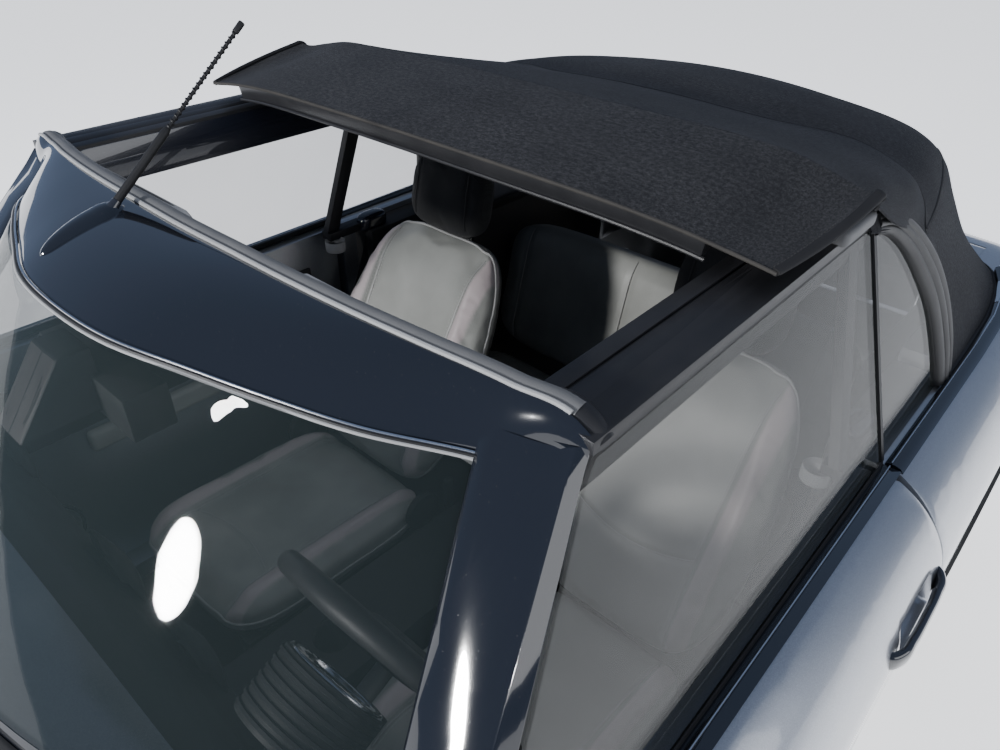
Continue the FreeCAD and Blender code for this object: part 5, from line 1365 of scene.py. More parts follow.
@dataclass
class Header:
    """The gloss header above the windscreen, with its trim, seal and visors."""

    # y, then x and z of the front edge, the crest and the rear edge
    stations: Rows = (
        (0, 309, 1346, 235, 1379.5, 150, 1390),
        (110, 300, 1344, 228, 1378, 148, 1390),
        (210, 270, 1338, 207, 1373.5, 143, 1387),
        (310, 236, 1330, 185, 1366.5, 134, 1383),
        (400, 199, 1321, 158, 1358.5, 121, 1377.5),
        (494, 140, 1307, 119, 1347, 101, 1366.5),
        (578, 108, 1302, 101, 1335, 91, 1354),
        (592, 104, 1298, 98, 1326, 90, 1343),
    )
    half_width: float = 589.0
    pillar_y: float = 494.0
    seal_radius: float = 12.5
    visor_y: Sequence[float] = (118.0, 470.0)

    def build(self) -> None:
        """Makes the header and all that is fixed to it."""
        self.lower_structure()
        self.cover_header()
        self.lay_trim()
        self.lay_seal()
        self.hang_visors()

    def edge(self, y: np.ndarray, part: float) -> np.ndarray:
        """Points of the header at given y.

        Args:
            y: the places across the car.
            part: the share from the front edge to the rear edge.

        Returns:
            The points, in millimetres.
        """
        table = np.array(self.stations)
        both = np.vstack((table[:0:-1] * np.array((-1.0, 1, 1, 1, 1, 1, 1)), table))
        row = through(both[:, 0], both[:, 1:], y)
        front, crest, rear = row[:, 0:2], row[:, 2:4], row[:, 4:6]
        place = arched(front, crest, rear, np.broadcast_to(part, y.shape))
        return np.stack((place[:, 0], y, place[:, 1]), -1)

    def lower_structure(self) -> None:
        """The frame under the cover, and the pillars beside the windscreen."""
        piece = node_copy("windscreen_frame", "windscreen_pillars")
        for vertex in piece.data.vertices:
            if vertex.co.z > 1.296 and abs(vertex.co.y) < 0.574:
                vertex.co.z -= 0.006
                vertex.co.x -= 0.003
        round_edges(piece, 3.0, segments=3)
        smooth(piece, 40.0)
        fit(piece, Finishes.BLACK_GLOSS, Body.SHELL, ("windscreen_frame",))

    def cover_header(self) -> None:
        """The smooth lacquered cover."""

        def rule(across: np.ndarray, along: np.ndarray) -> np.ndarray:
            """The cover's points."""
            y = (2.0 * across - 1.0) * self.half_width
            points = self.edge(y, along)
            points[:, 2] += 1.5
            return points

        cover = shaped_sheet("header_cover", 120, 18, rule)
        thicken(cover, 3.0)
        round_edges(cover, 1.0, 50.0)
        smooth(cover, 50.0)
        fit(cover, Finishes.BLACK_GLOSS, Body.SHELL)

    def lay_trim(self) -> None:
        """The bright and the grey line along the windscreen, and the pale edge on each pillar."""
        y = np.linspace(-self.pillar_y, self.pillar_y, 120)
        line = self.edge(y, 0.0)
        bright = swept("screen_bright_line", line + np.array((2.0, 0.0, 2.6)), ring(1.7, 8))
        fit(bright, Finishes.BRIGHT, Body.SHELL)
        groove = swept("screen_groove", line + np.array((4.6, 0.0, 0.4)), ring(2.2, 8))
        fit(groove, Finishes.EDGE_RUBBER, Body.SHELL)
        grey = swept("screen_grey_line", line + np.array((7.6, 0.0, -1.4)), ring(1.9, 8))
        fit(grey, Finishes.VISOR, Body.SHELL)
        y = np.linspace(self.pillar_y, self.half_width, 16)
        joint = swept("pillar_top_joint", self.edge(y, 0.0) + np.array((1.5, 0.0, 1.6)), ring(1.4, 6))
        pair(joint, Finishes.VISOR, Body.SHELL)

    def lay_seal(self) -> None:
        """The rolled seal behind the cover, its front ridge, joints and end castings."""
        y = np.linspace(-562.0, 562.0, 130)
        line = self.edge(y, 1.0)
        roll = swept("header_seal_roll", line + np.array((-14, 0, -4)),
                     ring(self.seal_radius, 14, 0.8))
        fit(roll, Finishes.SEAL, Body.SHELL, ("header_seal",))
        ridge = swept("header_seal_ridge", line + np.array((-1.5, 0.0, 2.4)), ring(3.0, 8))
        fit(ridge, Finishes.VISOR, Body.SHELL)
        back = swept("header_seal_lip", line + np.array((-24, 0, -10)),
                     [(-4.0, -9.0), (-2.0, 3.0), (2.0, 3.0), (4.0, -9.0)])
        fit(back, Finishes.EDGE_RUBBER, Body.SHELL)
        for order, middle in enumerate((-86.0, -54.0)):
            y = np.linspace(middle - 3.5, middle + 3.5, 4)
            spot = self.edge(y, 1.0) + np.array((-13, 0, -5))
            fit(swept("seal_joint_%d" % order, spot, ring(self.seal_radius + 0.9, 14, 0.72)),
                Finishes.EDGE_RUBBER, Body.SHELL)
        y = np.linspace(512.0, 590.0, 14)
        spot = self.edge(y, 1.0) + np.array((-16, 0, -7))
        casting = swept("header_corner", spot, ring(17.0, 12, 0.7),
                        scale=lambda share: 0.7 + 0.3 * math.sin(share * math.pi))
        pair(casting, Finishes.RAIL, Body.SHELL)
        screw = rod("header_corner_screw", (74, 561, 1352), (75.5, 561, 1359.5), 6.0, 16, 0.8)
        pair(screw, Finishes.CAST_STEEL, Body.SHELL)

    def hang_visors(self) -> None:
        """The padded sun visors behind the header, on their arms."""
        low, high = self.visor_y
        count = 44
        y = np.linspace(low, high, count)
        path = placed(74.0, y, 1279.0)
        oval = [(13.0 * eased(math.cos(a), 0.8), 68.0 * eased(math.sin(a), 0.45))
                for a in (FULL_TURN * i / 28 for i in range(28))]
        pad = swept("sun_visor", path, oval, angle=60.0,
                    scale=lambda share: max(0.5, 1.0 - max(0.0, abs(2.0 * share - 1.0) - 0.86) ** 2 * 24.0))
        right = mirrored_piece(pad, "sun_visor_right")
        fit(pad, Finishes.VISOR, Body.SHELL, ("sun_visors",))
        fit(right, Finishes.VISOR, Body.SHELL)
        seam = swept("sun_visor_welt", np.array([(74.0, y0, z0 + 5.0) for y0, z0 in self.visor_loop()]),
                     ring(1.6, 6), (1.0, 0.0, 0.0), closed=True)
        pair(seam, Finishes.SEAL, Body.SHELL)
        arms = [rod("arm_%d" % y0, (72.0, y0, 1322.0), (118.0, y0, 1334.0), 4.5, 12)
                for y0 in (150, 440)]
        pair(joined("sun_visor_arm", arms), Finishes.TRIM, Body.SHELL)

    def visor_loop(self) -> list[tuple[float, float]]:
        """Points of y and z round a visor's outline."""
        low, high = self.visor_y
        middle, half = (low + high) / 2.0, (high - low) / 2.0
        loop = []
        for step in range(72):
            angle = FULL_TURN * step / 72
            across, up = math.cos(angle), math.sin(angle)
            loop.append((middle + half * eased(across, 0.28),
                         1274.0 + 68.5 * eased(up, 0.42)))
        return loop


@dataclass
class Antenna:
    """The roof aerial: a low foot, a thick sleeve, a wound rod and its cap."""

    foot: Point = (193, -105, 1382)
    tip: Point = (-45, -100, 1583)
    sleeve_share: float = 0.45
    turns: int = 19

    def build(self) -> None:
        """Makes the aerial's pieces."""
        self.form_foot()
        self.raise_mast()

    def along(self, share: float) -> Point:
        """A point of the mast's line."""
        return tuple(a + (b - a) * share for a, b in zip(self.foot, self.tip))

    def form_foot(self) -> None:
        """The drop-shaped foot, drawn out forwards and flat below."""
        clear_selection()
        bpy.ops.mesh.primitive_uv_sphere_add(segments=32, ring_count=20, radius=1.0)
        foot = bpy.context.object
        foot.name = "antenna_foot"
        for vertex in foot.data.vertices:
            ahead, side, up = vertex.co
            reach = 74.0 if ahead > 0.0 else 46.0
            narrow = 1.0 - 0.35 * max(0.0, ahead) ** 1.5
            vertex.co = ((204.0 + reach * ahead) * MM, (-109.0 + 29.0 * side * narrow) * MM,
                         (1366.0 - 8.0 * ahead + 30.0 * max(up, -0.35) * (1.0 - 0.25 * ahead)) * MM)
        smooth(foot, 60.0)
        fit(foot, Finishes.BLACK_GLOSS, Body.SHELL, ("antenna",))
        path = np.array([self.along(share) for share in (-0.035, 0.0, 0.035, 0.07, 0.09)])
        cone = swept("antenna_cone", spread(path, 12), ring(11.0, 20), (0.0, 1.0, 0.0),
                     lambda share: 1.25 - 0.7 * share)
        fit(cone, Finishes.DARK_GLOSS, Body.SHELL)

    def raise_mast(self) -> None:
        """The sleeve, the rod with its winding and the cap."""
        path = np.array([self.along(share) for share in np.linspace(0.05, self.sleeve_share, 20)])
        sleeve = swept("antenna_sleeve", path, ring(5.6, 16), (0.0, 1.0, 0.0),
                       lambda share: 1.0 + 0.06 * math.sin(share * 60.0) - (0.25 if share > 0.97 else 0.0))
        fit(sleeve, Finishes.EDGE_RUBBER, Body.SHELL)
        core = rod("antenna_core", self.along(self.sleeve_share - 0.01), self.along(0.955), 2.5, 12, 0.0)
        fit(core, Finishes.EDGE_RUBBER, Body.SHELL)
        ahead = Vector(np.subtract(self.tip, self.foot)).normalized()
        side = ahead.cross(Vector((0.0, 1.0, 0.0))).normalized()
        up = side.cross(ahead)
        shares = np.linspace(self.sleeve_share, 0.95, self.turns * 12)
        path = []
        for order, share in enumerate(shares):
            angle = FULL_TURN * order / 12.0
            path.append(Vector(self.along(share)) + (side * math.cos(angle) + up * math.sin(angle)) * 2.9)
        winding = swept("antenna_winding", np.array(path), ring(1.15, 6), tuple(ahead))
        fit(winding, Finishes.EDGE_RUBBER, Body.SHELL)
        cap = rod("antenna_cap", self.along(0.945), self.along(1.0), 4.4, 18, 1.4)
        fit(cap, Finishes.EDGE_RUBBER, Body.SHELL)


# Sides

@dataclass
class SideRails:
    """The rails along the roof opening and the rubber round the quarter glass."""

    start_x: float = 86.0
    end_x: float = -612.0
    glass_belt: tuple[float, float] = (714.5, 949.0)
    lean: float = 0.3275
    # x and z of the quarter glass edge, x and z of its rubber's outer edge
    quarter: Rows = (
        (-604, 1318, -606, 1346),
        (-650, 1306, -668, 1334),
        (-720, 1265, -749, 1296),
        (-791, 1195, -828, 1244),
        (-858, 1099, -910, 1166),
        (-884, 1013, -958, 1085),
        (-889, 975, -975, 1010),
        (-889, 950, -960, 946),
    )
    bar_x: float = -604.0

    def build(self) -> None:
        """Makes the rails, the rubber and the cloth between them."""
        self.cover_rails()
        self.frame_quarter()
        self.fill_side()
        self.divide_glass()
        self.lay_belt()

    def plane_y(self, z: "np.ndarray | float") -> "np.ndarray | float":
        """The y of the side glass's outer face at a height."""
        return self.glass_belt[0] - self.lean * (z - self.glass_belt[1])

    def cover_rails(self) -> None:
        """The soft-touch cover, the track inside it and the rubber outside it."""
        x = np.linspace(self.start_x, self.end_x, 60)
        flat = 0.0 * x
        rise = np.interp(x, (self.end_x, self.start_x), (-3.0, 0.0))
        for name, y, z, section, finish, start in (
            ("rail_cover", 543.0, 1340.0,
             [(-24.0, -12.0), (-24.0, 4.0), (-20.0, 9.5), (-10.0, 12.5), (2.0, 13.0), (14.0, 11.5),
              (21.0, 7.0), (24.0, -1.0), (24.0, -12.0)],
             Finishes.RAIL, 0.0),
            ("rail_track", 507.0, 1310.0,
             [(-9.0, -36.0), (-9.0, 34.0), (-6.0, 38.0), (4.0, 38.0), (8.0, 33.0), (8.0, -36.0)],
             Finishes.TRACK, -10.0),
            ("rail_groove", 518.0, 1338.0, [(-4.0, -8.0), (-4.0, 4.0), (4.0, 4.0), (4.0, -8.0)],
             Finishes.EDGE_RUBBER, -4.0),
            ("rail_rubber", 578.0, 1336.0,
             [(-12.0, -9.0), (-11.5, 8.0), (-7.0, 10.5), (0.0, 8.0), (7.0, 4.0), (12.0, -1.0),
              (12.5, -7.0), (8.0, -10.0)],
             Finishes.RAIL_RUBBER, 6.0),
        ):
            path = np.stack((x + start, flat + y, flat + z + rise), -1)
            piece = swept(name, path, [(-side, up) for side, up in section],
                          scale=lambda share: 1.0 - 0.35 * max(0.0, 1.0 - share * 40.0) ** 2, angle=50.0)
            pair(piece, finish, Body.SHELL)
        lip = swept("rail_lip", np.stack((x, flat + 566.5, flat + 1347.0 + rise), -1), ring(2.0, 8))
        pair(lip, Finishes.EDGE_RUBBER, Body.SHELL)
        pad = block("rail_pad", (-560, 560, 1346), (-452, 604, 1372), 9.0, 4)
        pair(pad, Finishes.SEAL, Body.SHELL)

    def frame_quarter(self) -> None:
        """The ribbed rubber between the quarter glass and the cloth."""
        table = np.array(self.quarter)
        inner = spread(np.stack((table[:, 0], self.plane_y(table[:, 1]), table[:, 1]), -1), 49)
        outer = spread(np.stack((table[:, 2], self.plane_y(table[:, 3]), table[:, 3]), -1), 49)
        outward = np.array((0.0, 1.0, self.lean)) / math.hypot(1.0, self.lean)

        def rule(across: np.ndarray, along: np.ndarray) -> np.ndarray:
            """Ribs across the band, its lips turned in."""
            spot = np.rint(along * 48).astype(int)
            flat = inner[spot] * (1.0 - across[:, None]) + outer[spot] * across[:, None]
            ribs = 4.0 * np.abs(np.sin(across * math.pi * 3.0)) ** 0.7 + 3.0 * np.sin(across * math.pi)
            ribs -= np.where((across < 0.02) | (across > 0.98), 9.0, 0.0)
            return flat + outward * (ribs[:, None] + 1.0)

        band = shaped_sheet("quarter_rubber", 36, 48, rule)
        thicken(band, 5.0)
        smooth(band, 50.0)
        pair(band, Finishes.EDGE_RUBBER, Body.SHELL)
        edge = swept("quarter_glass_lip", inner + outward * 3.0, ring(2.6, 8), tuple(outward))
        pair(edge, Finishes.RAIL, Body.SHELL)

    def fill_side(self) -> None:
        """The cloth between the fold and the rubber of the quarter glass."""
        roof = SoftTop()
        table = np.array(self.quarter)

        def rule(across: np.ndarray, along: np.ndarray) -> np.ndarray:
            """A sheet from under the fold down to the rubber."""
            x = -572.0 - 400.0 * along
            top = roof.skin(x, np.full_like(x, 0.5)) + np.array((0.0, -5.0, -5.0))
            side = roof.skin(x, np.full_like(x, 0.66)) + np.array((0.0, -4.0, 0.0))
            order = np.argsort(table[:6, 2])
            z = np.interp(x, table[:6, 2][order], table[:6, 3][order])
            foot = np.stack((x, self.plane_y(z) + 2.0, z + 2.0), -1)
            share = across[:, None]
            part = np.clip(share * 2.0, 0.0, 1.0)
            rest = np.clip(share * 2.0 - 1.0, 0.0, 1.0)
            spot = (top * (1.0 - part) + side * part) * (1.0 - rest) + foot * rest
            spot[:, 1] += 2.0 * np.sin(along * 17.0) * np.sin(across * math.pi)
            return spot

        cloth = shaped_sheet("roof_side_cloth", 26, 44, rule, (0.14, 0.40))
        thicken(cloth, 2.5)
        smooth(cloth, 60.0)
        right = mirrored_piece(cloth, "roof_side_cloth_right")
        for piece in (cloth, right):
            fit(piece, Finishes.CLOTH_MAPPED, Body.SHELL)

    def divide_glass(self) -> None:
        """The slim bar between the door glass and the quarter glass."""
        z = np.linspace(947.0, 1322.0, 12)
        path = placed(self.bar_x, self.plane_y(z) + 1.0, z)
        bar = swept("glass_division", path, [(-5.0, -3.0), (-5.0, 2.0), (5.0, 2.0), (5.0, -3.0)],
                    (0.0, 1.0, self.lean))
        pair(bar, Finishes.EDGE_RUBBER, Body.SHELL)

    def lay_belt(self) -> None:
        """The gloss moulding along the quarter, under the cloth's edge."""
        x = np.r_[np.linspace(-601.0, -1240.0, 30), np.linspace(-1260.0, -1500.0, 20)]
        outer = np.interp(-x, (600, 1080, 1240, 1345, 1430, 1500),
                          (737, 738, 735, 724, 708, 684))
        rise = np.interp(-x, (600, 1000, 1500), (945, 948, 956))
        path = np.stack((x, outer, rise), -1)
        section = [(-15.0, -7.0), (-15.0, 2.0), (-10.0, 6.0), (0.0, 7.0), (10.0, 4.5), (16.0, -2.0),
                   (15.0, -7.0)]
        moulding = swept("quarter_belt_moulding", path, section, angle=45.0)
        pair(moulding, Finishes.BLACK_GLOSS, Body.SHELL)
        line = swept("quarter_belt_line", path + np.array((0.0, -6.0, 8.2)), ring(1.7, 8))
        pair(line, Finishes.BRIGHT, Body.SHELL)
        cap = swept("quarter_belt_cap", path[34:44] + np.array((0.0, 0.5, 0.5)),
                    [(1.08 * a, 1.08 * b) for a, b in section])
        pair(cap, Finishes.BRIGHT, Body.SHELL)


@dataclass
class DoorTrim:
    """What is fixed to each door's outside: belt strip, mirror and grip."""

    grip: Rows = (
        (-354, 840, 800), (-358, 858, 800), (-374, 868, 800.5), (-410, 871.5, 801),
        (-470, 872.5, 801.5), (-528, 871, 801), (-562, 867, 800.5), (-577, 857, 800),
        (-580, 840, 800),
    )

    def build(self) -> None:
        """Makes the pieces of both doors."""
        for node, body in (("door_left_trim", Body.DOOR_LEFT), ("door_right_trim", Body.DOOR_RIGHT)):
            piece = node_copy(node, node + "_skin")
            edit(piece, lambda middle, _: middle.x < -0.33 and abs(middle.y) > 0.80)
            bpy.ops.mesh.delete(type="FACE")
            leave()
            round_edges(piece, 2.5)
            smooth(piece, 35.0)
            fit(piece, Finishes.BLACK_GLOSS, body, (node,))
        oval = [(17.0 * eased(math.cos(t), 0.8), 8.2 * math.sin(t))
                for t in (FULL_TURN * i / 20 for i in range(20))]
        grip = swept("door_grip", spread(self.grip, 48), oval, (0.0, 1.0, 0.001),
                     lambda share: 1.0 + 0.1 * math.cos(share * FULL_TURN), angle=60.0)
        pair(grip, Finishes.DARK_GLOSS, Body.DOOR_LEFT, Body.DOOR_RIGHT)
        feet = [rod("foot_%d" % x, (x, 828.0, 800.0), (x, 846.0, 800.0), 20.0, 20, 3.0)
                for x in (-357, -577)]
        pair(joined("door_grip_feet", feet), Finishes.TRIM, Body.DOOR_LEFT, Body.DOOR_RIGHT)
        x = np.linspace(-594.0, 330.0, 40)
        path = placed(x, 731.0, 951.5)
        line = swept("door_belt_line", path, ring(1.8, 8))
        pair(line, Finishes.BRIGHT, Body.DOOR_LEFT, Body.DOOR_RIGHT)
        wiper = swept("door_glass_wiper", path + np.array((0, -12, -2)),
                      [(-3.0, -4.0), (-1.0, 5.0), (1.0, 5.0), (3.0, -4.0)])
        pair(wiper, Finishes.EDGE_RUBBER, Body.DOOR_LEFT, Body.DOOR_RIGHT)


# Soft pads

@dataclass(frozen=True)
class Couch:
    """The axes in which a pad is shaped: its middle, and its side, up and front directions."""

    middle: Point
    up: Point
    front: Point
    side: Point = (0.0, 1.0, 0.0)

    def out(self, spots: np.ndarray) -> np.ndarray:
        """Turns side, height and depth into places on the car, in millimetres."""
        axes = np.array((self.side, self.up, self.front))
        return np.array(self.middle) + spots @ axes


def pad_form(name: str, couch: Couch, half: Point, square: float = 5.0, cuts: int = 26,
             shape: Callable[[np.ndarray], np.ndarray] | None = None) -> bpy.types.Object:
    """A rounded closed form cut finely enough to be moulded.

    Args:
        name: the piece's name.
        couch: the axes it lies in.
        half: half its width, height and depth, in millimetres.
        square: how square its outline is, 2 for an oval.
        cuts: the cuts of each side.
        shape: moves the shares of width, height and depth, given with the places in millimetres.

    Returns:
        The new object.
    """
    clear_selection()
    bpy.ops.mesh.primitive_cube_add(size=2.0)
    piece = bpy.context.object
    piece.name = name
    edit(piece)
    bpy.ops.mesh.subdivide(number_cuts=cuts)
    leave()
    flat = np.empty(3 * len(piece.data.vertices), np.float32)
    piece.data.vertices.foreach_get("co", flat)
    cube = flat.reshape(-1, 3).astype(float)
    reach = (np.abs(cube) ** square).sum(axis=1) ** (1.0 / square)
    spots = cube / reach[:, None] * np.abs(cube).max(axis=1)[:, None] * np.array(half)
    if shape is not None:
        spots = shape(spots)
    piece.data.vertices.foreach_set("co", (couch.out(spots) * MM).astype(np.float32).ravel())
    even_faces(piece, 0.000001)
    smooth(piece, 70.0)
    return piece


def stuffed(piece: bpy.types.Object, voxel: float = 6.0, cap: float = 12.0, pressure: float = 4.0) -> None:
    """Blows a pad up as cloth from inside, no point moving further than a cap.

    Args:
        piece: the pad.
        voxel: the size of its remeshed faces, in millimetres.
        cap: the furthest a point may move, in millimetres.
        pressure: the cloth's inner pressure.
    """
    modify(piece, "REMESH", mode="VOXEL", voxel_size=voxel * MM)
    count = len(piece.data.vertices)
    before = np.empty(3 * count, np.float32)
    piece.data.vertices.foreach_get("co", before)
    take(piece)
    made = piece.modifiers.new("stuffing", "CLOTH")
    made.settings.use_pressure = True
    made.settings.uniform_pressure_force = pressure
    made.settings.effector_weights.gravity = 0.0
    made.settings.quality = 4
    scene = bpy.context.scene
    for step in range(1, 21):
        scene.frame_set(step)
    after = np.empty(3 * count, np.float32)
    piece.evaluated_get(bpy.context.evaluated_depsgraph_get()).data.vertices.foreach_get("co", after)
    piece.modifiers.remove(made)
    scene.frame_set(1)
    move = (after - before).reshape(-1, 3)
    length = np.linalg.norm(move, axis=1)
    held = np.minimum(1.0, cap * MM / np.maximum(length, 1e-9))
    piece.data.vertices.foreach_set("co", (before.reshape(-1, 3) + move * held[:, None]).ravel())
    piece.data.update()
    modify(piece, "SMOOTH", factor=0.5, iterations=4)
    smooth(piece, 70.0)
    log.info("%s: stuffed, %d points, mean move %.1f mm", piece.name, count, float(length.mean()) * 1000.0)


def laid_on(piece: bpy.types.Object, line: np.ndarray, way: Point) -> tuple[np.ndarray, np.ndarray]:
    """A line dropped on a piece's surface.

    Args:
        piece: the piece.
        line: points outside the piece, in millimetres.
        way: the direction in which they are dropped.

    Returns:
        The points on the surface and the surface's normals there.
    """
    heading = Vector(way).normalized()
    spots, normals = [], []
    for point in line:
        hit, place, normal, _ = piece.ray_cast(Vector(point) * MM, heading)
        if hit:
            spots.append(tuple(place / MM))
            normals.append(tuple(normal))
    return np.array(spots), np.array(normals)


def press_seam(piece: bpy.types.Object, line: np.ndarray, depth: float, width: float) -> None:
    """Presses a line into a padded surface.

    Args:
        piece: the pad.
        line: the line's points on the surface, in millimetres.
        depth: the depth in the middle of the line.
        width: how far from the line its edges lie.
    """
    fine = spread(line, max(8, int(np.linalg.norm(np.diff(line, axis=0), axis=1).sum() / 5.0))) * MM
    mesh = piece.data
    spots = np.empty(3 * len(mesh.vertices), np.float32)
    normals = np.empty_like(spots)
    mesh.vertices.foreach_get("co", spots)
    mesh.vertices.foreach_get("normal", normals)
    spots, normals = spots.reshape(-1, 3), normals.reshape(-1, 3)
    near = np.full(len(spots), 9.0)
    for point in fine:
        near = np.minimum(near, ((spots - point) ** 2).sum(axis=1))
    fall = np.exp(-near / (width * MM) ** 2)
    sunk = spots - normals * fall[:, None] * depth * MM
    mesh.vertices.foreach_set("co", sunk.astype(np.float32).ravel())
    mesh.update()


def smooth_rise(value: np.ndarray, low: float, high: float) -> np.ndarray:
    """0 below the lower value, 1 above the higher, eased between."""
    share = np.clip((value - low) / (high - low), 0.0, 1.0)
    return share * share * (3.0 - 2.0 * share)


@dataclass
class FrontSeats:
    """The two bolstered front seats with their piping, seams and mesh head rests."""

    side_y: float = 370.0
    back: Couch = Couch((-533, 370, 726), (-0.5006, 0.0, 0.8657), (0.8657, 0.0, 0.5006))
    back_half: Point = (230, 318, 44)
    cushion: Couch = Couch((-112, 370, 424), (1.0, 0.0, 0.04), (-0.04, 0.0, 1.0))
    cushion_half: Point = (232, 285, 44)
    rest: Couch = Couch((-697, 370, 1096), (-0.2, 0.0, 0.98), (0.98, 0.0, 0.2))
    rest_half: Point = (114, 100, 42)
    bolster_y: float = 148.0

    def build(self) -> None:
        """Makes the driver's seat and its twin."""
        self.stuff_back()
        self.stuff_cushion()
        self.stuff_rest()
        self.add_base()

    def back_shape(self, spots: np.ndarray) -> np.ndarray:
        """Narrow shoulders, raised bolsters and a hollow middle."""
        side, height, depth = spots.T.copy()
        high = height / self.back_half[1]
        side *= 1.0 - 0.12 * smooth_rise(high, 0.1, 1.0) - 0.10 * smooth_rise(-high, 0.2, 1.0)
        edge = smooth_rise(np.abs(side), self.bolster_y - 26.0, self.bolster_y + 34.0)
        front = smooth_rise(depth, -4.0, 12.0)
        wing = smooth_rise(-high, -0.75, 0.3)
        depth += front * edge * (12.0 + 22.0 * wing) - front * (1.0 - edge) * 6.0
        depth += front * (1.0 - edge) * 12.0 * np.exp(-((high + 0.45) / 0.35) ** 2)
        depth -= 16.0 * smooth_rise(high, 0.55, 1.0) * front
        return np.stack((side, height, depth), -1)

    def cushion_shape(self, spots: np.ndarray) -> np.ndarray:
        """A wide pad with raised sides and a rolled front edge."""
        side, ahead, depth = spots.T.copy()
        edge = smooth_rise(np.abs(side), self.bolster_y - 20.0, self.bolster_y + 36.0)
        top = smooth_rise(depth, -4.0, 12.0)
        far = ahead / self.cushion_half[1]
        depth += top * edge * 16.0 - top * (1.0 - edge) * 5.0 - top * 16.0 * smooth_rise(far, 0.75, 1.0)
        return np.stack((side, ahead, depth), -1)

    def twin(self, piece: bpy.types.Object, finish: Finish, fill: float | None = None,
             replaces: Sequence[str] = ()) -> None:
        """Fits a piece of the driver's seat and the same piece of the passenger's."""
        other = copied(piece, piece.name + "_passenger",
                       Matrix.Translation((0.0, -2.0 * self.side_y * MM, 0.0)))
        fit(piece, finish, Body.SHELL, replaces)
        fit(other, finish, Body.SHELL)

    def dress(self, name: str, pad: bpy.types.Object, couch: Couch, half: Point, cross: float) -> None:
        """Adds the seams, stitches and piping of a pad.

        Args:
            name: the start of the pieces' names.
            pad: the finished pad.
            couch: the pad's axes.
            half: the pad's half sizes.
            cross: the height of the seam across the pad.
        """
        way = tuple(-value for value in couch.front)
        reach = half[2] + 90.0
        height = np.linspace(-half[1] * 0.86, half[1] * 0.86, 60)
        bend = self.bolster_y - 10.0 * np.cos(height / half[1] * 1.4)
        lines = []
        for sign in (-1.0, 1.0):
            lines.append(couch.out(placed(sign * bend, height, reach)))
        side = np.linspace(-self.bolster_y + 8.0, self.bolster_y - 8.0, 40)
        lines.append(couch.out(placed(side, cross + 0.0016 * side**2, reach)))
        for line in lines:
            spots, _ = laid_on(pad, line, way)
            press_seam(pad, spots, 4.5, 6.0)
        for order, line in enumerate(lines):
            spots, _ = laid_on(pad, line, way)
            if order < 2:
                shift = np.array(couch.side) * (6.5 if order else -6.5)
                for lane, step in enumerate((shift, -shift)):
                    row, lift = laid_on(pad, line + step, way)
                    self.twin(row_of("%s_stitches_%d_%d" % (name, order, lane), row + lift * 0.5,
                                     (5.0, 1.1, 0.9), lift, 3.0), Finishes.STITCH)
                self.twin(swept("%s_piping_%d" % (name, order), spread(spots, 60), ring(2.2, 8),
                                tuple(couch.front)), Finishes.PIPING)
            else:
                self.twin(swept("%s_seam" % name, spread(spots, 40), ring(1.5, 6), tuple(couch.front)),
                          Finishes.PIPING)
        angle = np.linspace(0.0, FULL_TURN, 120, endpoint=False)
        outline = []
        for turn in angle:
            across, up = math.cos(turn), math.sin(turn)
            outline.append((half[0] * 1.25 * eased(across, 0.45),
                            half[1] * 1.15 * eased(up, 0.45)))
        points = []
        for across, up in outline:
            start = Vector(couch.out(np.array((across, up, 4.0)))) * MM
            goal = Vector(couch.out(np.array((across * 0.2, up * 0.5, 4.0)))) * MM
            hit, place, normal, _ = pad.ray_cast(start, (goal - start).normalized())
            if hit:
                points.append(tuple((place + normal * 0.0008) / MM))
        self.twin(swept(name + "_edge_piping", np.array(points), ring(3.0, 8), tuple(couch.front),
                        closed=True), Finishes.PIPING)

    def paint_sunlit_bolsters(self, pad: bpy.types.Object, couch: Couch, dark_below: float) -> None:
        """Marks the painted sunlight along the bolsters and the dark rear of a pad.

        Args:
            pad: the finished pad.
            couch: the pad's axes.
            dark_below: the depth behind which the hide is dark.
        """
        axes = np.array((couch.side, couch.up, couch.front))
        spots = np.empty(3 * len(pad.data.vertices), np.float32)
        pad.data.vertices.foreach_get("co", spots)
        turned = (spots.reshape(-1, 3) * 1000.0 - np.array(couch.middle)) @ axes.T
        side, depth = np.abs(turned[:, 0]), turned[:, 2]
        # painted light: a strip along each bolster that the leather's finish turns pale rosy, standing for
        # sunlight on it
        strip = smooth_rise(side, self.bolster_y, self.bolster_y + 7.0)
        strip -= smooth_rise(side, self.bolster_y + 36.0, self.bolster_y + 44.0)
        for mark, values in (("bolster", strip),
                             ("rear", 1.0 - smooth_rise(depth, dark_below - 4.0, dark_below + 4.0))):
            layer = pad.data.attributes.new(mark, "FLOAT", "POINT")
            layer.data.foreach_set("value", values.astype(np.float32))

    def stuff_back(self) -> None:
        """The seat's back."""
        pad = pad_form("seat_back", self.back, self.back_half, 5.0, 40, self.back_shape)
        stuffed(pad, 7.0, 14.0)
        self.dress("seat_back", pad, self.back, self.back_half, -118.0)
        self.paint_sunlit_bolsters(pad, self.back, -12.0)
        self.twin(pad, Finishes.LEATHER, 0.7, ("front_seats",))

    def stuff_cushion(self) -> None:
        """The seat's cushion."""
        pad = pad_form("seat_cushion", self.cushion, self.cushion_half, 5.0, 40, self.cushion_shape)
        stuffed(pad, 7.0, 12.0)
        self.dress("seat_cushion", pad, self.cushion, self.cushion_half, 120.0)
        self.paint_sunlit_bolsters(pad, self.cushion, -14.0)
        self.twin(pad, Finishes.LEATHER, 0.7)

    def stuff_rest(self) -> None:
        """The dark mesh head rest on its two posts."""

